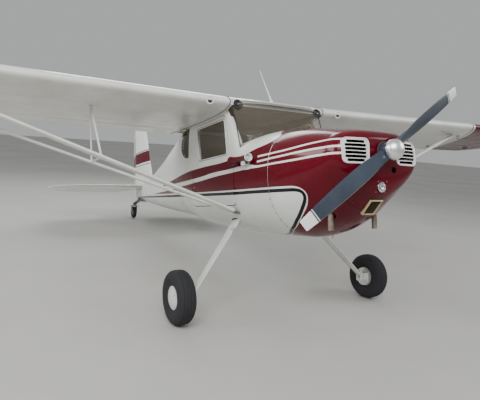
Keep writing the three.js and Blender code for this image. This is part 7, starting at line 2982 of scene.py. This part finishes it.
@dataclass
class TailGear:
    """The tail spring, its swivelling fork and the small wheel."""

    wheel_x: float = -4.626
    wheel_z: float = 0.77057
    clamp_stations: tuple[float, float] = (-4.02, -4.25)
    leaves: tuple[tuple[float, float, float], ...] = (
        (0.0, 1.0, 0.0075), (-0.0078, 0.86, 0.0065), (-0.0146, 0.62, 0.006))
    spring_line: tuple[Point, ...] = ((-3.90, 0.940), (-4.08, 0.962), (-4.25, 0.968),
                                      (-4.42, 0.945), (-4.56, 0.905))
    fork_arm: tuple[Point, ...] = ((-4.640, 0.886), (-4.560, 0.886), (-4.600, 0.748),
                                   (-4.652, 0.748))
    tyre_profile: tuple[Point, ...] = ((0.0445, -0.020), (0.062, -0.0235), (0.080, -0.026),
                                       (0.092, -0.0235), (0.0975, -0.017), (0.0995, -0.008),
                                       (0.0998, -0.003), (0.0970, -0.0015), (0.0970, 0.0015),
                                       (0.0998, 0.003), (0.0995, 0.008), (0.0975, 0.017),
                                       (0.092, 0.0235), (0.080, 0.026), (0.062, 0.0235),
                                       (0.0445, 0.020), (0.0445, -0.020))
    hub_profile: tuple[Point, ...] = ((0.0085, -0.027), (0.018, -0.027), (0.020, -0.020),
                                      (0.036, -0.016), (0.0438, -0.021), (0.0438, 0.021),
                                      (0.036, 0.016), (0.020, 0.020), (0.018, 0.027),
                                      (0.0085, 0.027), (0.0085, -0.027))

    def build(self) -> None:
        """Builds the tail gear from the spring down."""
        self.spring()
        self.fork()
        self.wheel()

    def spring(self) -> None:
        """Three stacked leaves with clamp bolts, the saddle and the pivot head."""
        path = smooth_line(self.spring_line, 0.03)
        spring = Form()
        for drop, share, thick in self.leaves:
            keep = path[:max(3, int(len(path) * share))]
            rows = []
            for x, z in keep:
                half = float(np.interp(-x, (3.9, 4.56), (0.044, 0.034)))
                top = z + 0.009 + drop
                rows.append([(x, half, top), (x, half - 0.002, top + 0.001),
                             (x, -half + 0.002, top + 0.001), (x, -half, top),
                             (x, -half, top - thick), (x, -half + 0.002, top - thick - 0.001),
                             (x, half - 0.002, top - thick - 0.001), (x, half, top - thick)])
            spring.joined(Form().sheet(np.array(rows), around=True, capped=True))
        spring.block((-4.285, -0.032, 0.972), (-4.225, 0.032, 1.050), 0.004)
        spring.rod((-4.566, 0, 0.8905), (-4.566, 0, 0.938), 0.030, sides=32, round_by=0.003)
        spring.rod((-4.566, 0, 0.936), (-4.566, 0, 0.948), 0.012, sides=6)
        for x in self.clamp_stations:
            level = float(np.interp(-x, -path[:, 0], path[:, 1]))
            spring.block((x - 0.016, -0.050, level - 0.020),
                         (x + 0.016, 0.050, level - 0.014), 0.002)
            for y in (-0.044, 0.044):
                spring.rod((x, y, level - 0.028), (x, y, level + 0.024), 0.005, sides=10)
        put(spring, "tail_leaf_spring", STEEL, replaces=["tail_spring"],
            sharp=25)

    def fork(self) -> None:
        """The fork with a rounded yoke, its steering arms and the axle nuts."""
        arm = rounded_outline(self.fork_arm, 0.012)
        fork = Form().prism(arm, side_view, 0.034, 0.046)
        fork.rod((self.wheel_x, 0.046, self.wheel_z), (self.wheel_x, 0.054, self.wheel_z),
                 0.012, sides=6)
        fork.block((-4.572, 0.046, 0.880), (-4.560, 0.088, 0.888), 0.002)
        fork.both_sides().block((-4.640, -0.046, 0.879), (-4.536, 0.046, 0.890), 0.003)
        fork.rod((self.wheel_x, -0.046, self.wheel_z), (self.wheel_x, 0.046, self.wheel_z),
                 0.0078, sides=20)
        put(fork, "tail_wheel_fork", STEEL, "tail_fork", replaces=["tail_fork"])

    def wheel(self) -> None:
        """A small solid tyre with one groove, on a turned hub."""
        centre = (self.wheel_x, 0, self.wheel_z)
        tyre = Form().lathe(self.tyre_profile, (0, 1, 0), centre, 64)
        put(tyre, "tail_wheel_tyre", RUBBER, "tail_wheel", replaces=["tail_tyre"])
        hub = Form().lathe(self.hub_profile, (0, 1, 0), centre, 48)
        put(hub, "tail_wheel_hub", SHEET_ALUMINIUM, "tail_wheel", replaces=["tail_hub"])


@dataclass
class BodyFittings:
    """Venturi tube, roof aerial, drain pipes and cabin air vents."""

    venturi_y: float = -0.560
    venturi_z: float = 1.128
    aerial_foot: tuple[float, float, float] = (-0.141, 0, 1.742)
    aerial_tip: tuple[float, float, float] = (-0.336, 0, 2.103)
    air_vent: tuple[float, float, float] = (-0.012, 0.450, 1.648)
    venturi_shell: tuple[Point, ...] = ((0.0165, 0.225), (0.018, 0.262), (0.0280, 0.285),
                                        (0.0315, 0.284), (0.0305, 0.272), (0.0245, 0.222),
                                        (0.0235, 0.160), (0.0265, 0.080), (0.0335, 0.034),
                                        (0.0405, 0.010), (0.0410, 0.0), (0.0375, 0.0),
                                        (0.0300, 0.034), (0.0225, 0.080), (0.0185, 0.160),
                                        (0.0165, 0.225))
    venturi_mouth: tuple[Point, ...] = ((0.0143, 0.228), (0.0162, 0.263), (0.0262, 0.2880),
                                        (0.0335, 0.2920), (0.0355, 0.2890), (0.0358, 0.2810),
                                        (0.0335, 0.2785), (0.0270, 0.2800), (0.0172, 0.2600),
                                        (0.0160, 0.228), (0.0143, 0.228))
    mast_foot: tuple[Point, ...] = ((0.0, 0.030), (0.011, 0.028), (0.014, 0.018), (0.021, 0.006),
                                    (0.024, 0.0), (0.0, 0.0))
    vent_profile: tuple[Point, ...] = ((0.0, -0.020), (0.034, -0.020), (0.046, -0.004),
                                       (0.047, 0.002), (0.043, 0.003), (0.030, -0.008),
                                       (0.0, -0.010))
    knob_profile: tuple[Point, ...] = ((0.0, 0.008), (0.007, 0.007), (0.010, 0.003),
                                       (0.011, -0.002), (0.009, -0.009), (0.0, -0.010))

    def build(self) -> None:
        """Builds the small outside fittings."""
        self.venturi()
        self.aerial()
        self.underside()

    def venturi(self) -> None:
        """The red venturi tube with its white mouth, bracket and pipe."""
        y, z = self.venturi_y, self.venturi_z
        tube = Form().lathe(self.venturi_shell, (1, 0, 0), (0.040, y, z), 40)
        tube.rod((0.120, y, z), (0.160, y, z), 0.0255, sides=32, round_by=0.001)
        put(tube, "venturi_tube", RED_ENAMEL, replaces=["venturi"])
        mouth = Form().lathe(self.venturi_mouth, (1, 0, 0), (0.040, y, z), 40)
        mouth.rod((0.306, y, z), (0.312, y, z), 0.012, sides=20)
        for turn in (0.0, 2.094, 4.189):
            out = np.array((0, math.cos(turn), math.sin(turn)))
            mouth.rod(np.array((0.309, y, z)), np.array((0.309, y, z)) + out * 0.026,
                      0.0022, sides=8)
        put(mouth, "venturi_mouth", WHITE_ENAMEL)
        bracket = Form().block((0.205, y + 0.006, z - 0.058), (0.262, -0.510, z - 0.050), 0.002)
        bracket.block((0.205, y - 0.004, z - 0.058), (0.262, y + 0.010, z - 0.012), 0.003)
        bracket.block((0.182, -0.522, z - 0.092), (0.262, -0.507, z - 0.030), 0.003)
        put(bracket, "venturi_bracket", WHITE_ENAMEL)
        pipe = smooth_line([(0.135, y, z - 0.016), (0.132, y + 0.004, z - 0.040),
                            (0.118, y + 0.018, z - 0.052), (0.098, y + 0.034, z - 0.040),
                            (0.092, -0.506, z - 0.022)], 0.008)
        put(Form().tube(pipe, 0.0055, sides=12), "venturi_pipe", RED_ENAMEL)

    def aerial(self) -> None:
        """The white whip aerial on its moulded foot."""
        foot, tip = np.array(self.aerial_foot), np.array(self.aerial_tip)
        mast = Form()
        path = [foot + (tip - foot) * t for t in np.linspace(0, 1, 14)]
        for t, (start, end) in enumerate(zip(path, path[1:])):
            mast.rod(start, end, 0.009 - 0.0065 * t / 13, 0.009 - 0.0065 * (t + 1) / 13, sides=14)
        mast.ball(tip, 0.0035, 10)
        mast.lathe(self.mast_foot, (0, 0, 1), (-0.141, 0, 1.732), 28)
        put(mast, "roof_aerial", WHITE_ENAMEL, replaces=["antenna"])

    def underside(self) -> None:
        """Drain pipes under the body and the air vents at the cabin's upper corners."""
        drains = Form()
        for x, y, reach in ((0.62, 0.06, 0.022), (-0.62, 0.20, 0.022)):
            level = HULL.section(x)[2]
            drains.tube(smooth_line([(x, y, level + 0.01), (x - 0.004, y, level - 0.5 * reach),
                                     (x - 0.018, y, level - reach)], 0.006), 0.0045, sides=10)
        put(drains, "drain_pipes", SHEET_ALUMINIUM)
        vent, knob = Form(), Form()
        place = np.array(self.air_vent)
        vent.lathe(self.vent_profile, (1, 0, 0.25), place, 36)
        put(vent.both_sides(), "cabin_air_vents", BLACK_MOULDED)
        knob.lathe(self.knob_profile, (1, 0, 0.25), place, 32)
        put(knob.both_sides(), "air_vent_knobs", STEEL)


@dataclass
class Studio:
    """The plain pale floor, the soft lights and the camera at the photograph's viewpoint."""

    camera_at: tuple[float, float, float] = (5.4252, -2.508, 1.530)
    yaw: float = math.radians(149.77)
    pitch: float = math.radians(-7.43)
    roll: float = math.radians(4.19)
    lens_mm: float = 34.8

    def build(self) -> None:
        """Sets the floor, the sky, the lights and the camera."""
        self.floor()
        self.sky()
        self.lights()
        self.camera()

    def floor(self) -> None:
        """A wide pale floor."""
        bm = bmesh.new()
        bmesh.ops.create_grid(bm, x_segments=8, y_segments=8, size=60.0)
        mesh = bpy.data.meshes.new("studio_floor")
        bm.to_mesh(mesh)
        bm.free()
        mesh.materials.append(CONCRETE.material())
        floor = bpy.data.objects.new("studio_floor", mesh)
        bpy.context.scene.collection.objects.link(floor)

    def sky(self) -> None:
        """A pale even surround."""
        world = bpy.data.worlds.new("pale_studio")
        world.use_nodes = True
        tree = world.node_tree
        tree.nodes.clear()
        shade = node(tree, "Background", {"Color": linear("#dfe1e2"), "Strength": 0.6})
        node(tree, "OutputWorld", {"Surface": shade.outputs[0]})
        bpy.context.scene.world = world

    def lights(self) -> None:
        """Large soft panels over and beside the aircraft."""
        for name, place, target, size, power in (
                ("panel_ahead", (6.5, -3.5, 5.5), (1.5, 0, 1.0), (5.0, 3.0), 480),
                ("panel_side", (-1.0, -8.5, 4.6), (0.5, 0, 0.9), (7.0, 2.5), 620),
                ("panel_far", (5.0, 7.0, 5.0), (2.0, 0, 1.0), (5.0, 3.0), 260),
                ("panel_rear", (-6.5, 2.0, 6.0), (-1.0, 0, 1.2), (6.0, 3.0), 260)):
            lamp = bpy.data.lights.new(name, "AREA")
            lamp.shape = "RECTANGLE"
            lamp.size, lamp.size_y = size
            lamp.energy = power
            made = bpy.data.objects.new(name, lamp)
            made.location = place
            sight = Vector(target) - Vector(place)
            made.rotation_euler = sight.to_track_quat("-Z", "Y").to_euler()
            bpy.context.scene.collection.objects.link(made)

    def camera(self) -> None:
        """The camera, turned by yaw, pitch and roll."""
        ahead = Vector((math.cos(self.pitch) * math.cos(self.yaw),
                        math.cos(self.pitch) * math.sin(self.yaw), math.sin(self.pitch)))
        right = ahead.cross(Vector((0, 0, 1))).normalized()
        up = right.cross(ahead)
        c, s = math.cos(self.roll), math.sin(self.roll)
        across, above = c * right + s * up, c * up - s * right
        lens = bpy.data.cameras.new("photograph_view")
        lens.lens = self.lens_mm
        lens.sensor_width = 36.0
        lens.clip_end = 500.0
        made = bpy.data.objects.new("photograph_view", lens)
        turn = Matrix((across, above, -ahead)).transposed().to_4x4()
        made.matrix_world = Matrix.Translation(self.camera_at) @ turn
        bpy.context.scene.collection.objects.link(made)
        bpy.context.scene.camera = made


def main() -> None:
    """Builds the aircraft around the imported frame, sub-assembly by sub-assembly."""
    logging.basicConfig(level=logging.INFO, format="%(name)s: %(message)s")
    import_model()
    Studio().build()
    parts: list = [Fuselage(), NoseFittings(), Glazing(), Interior(), Tail(), Propeller(),
                   TailGear(), BodyFittings()]
    for side in Side:
        parts += [Door(side), Wing(side), Struts(side), MainGear(side)]
    for part in parts:
        part.build()


if __name__ == "__main__":
    main()
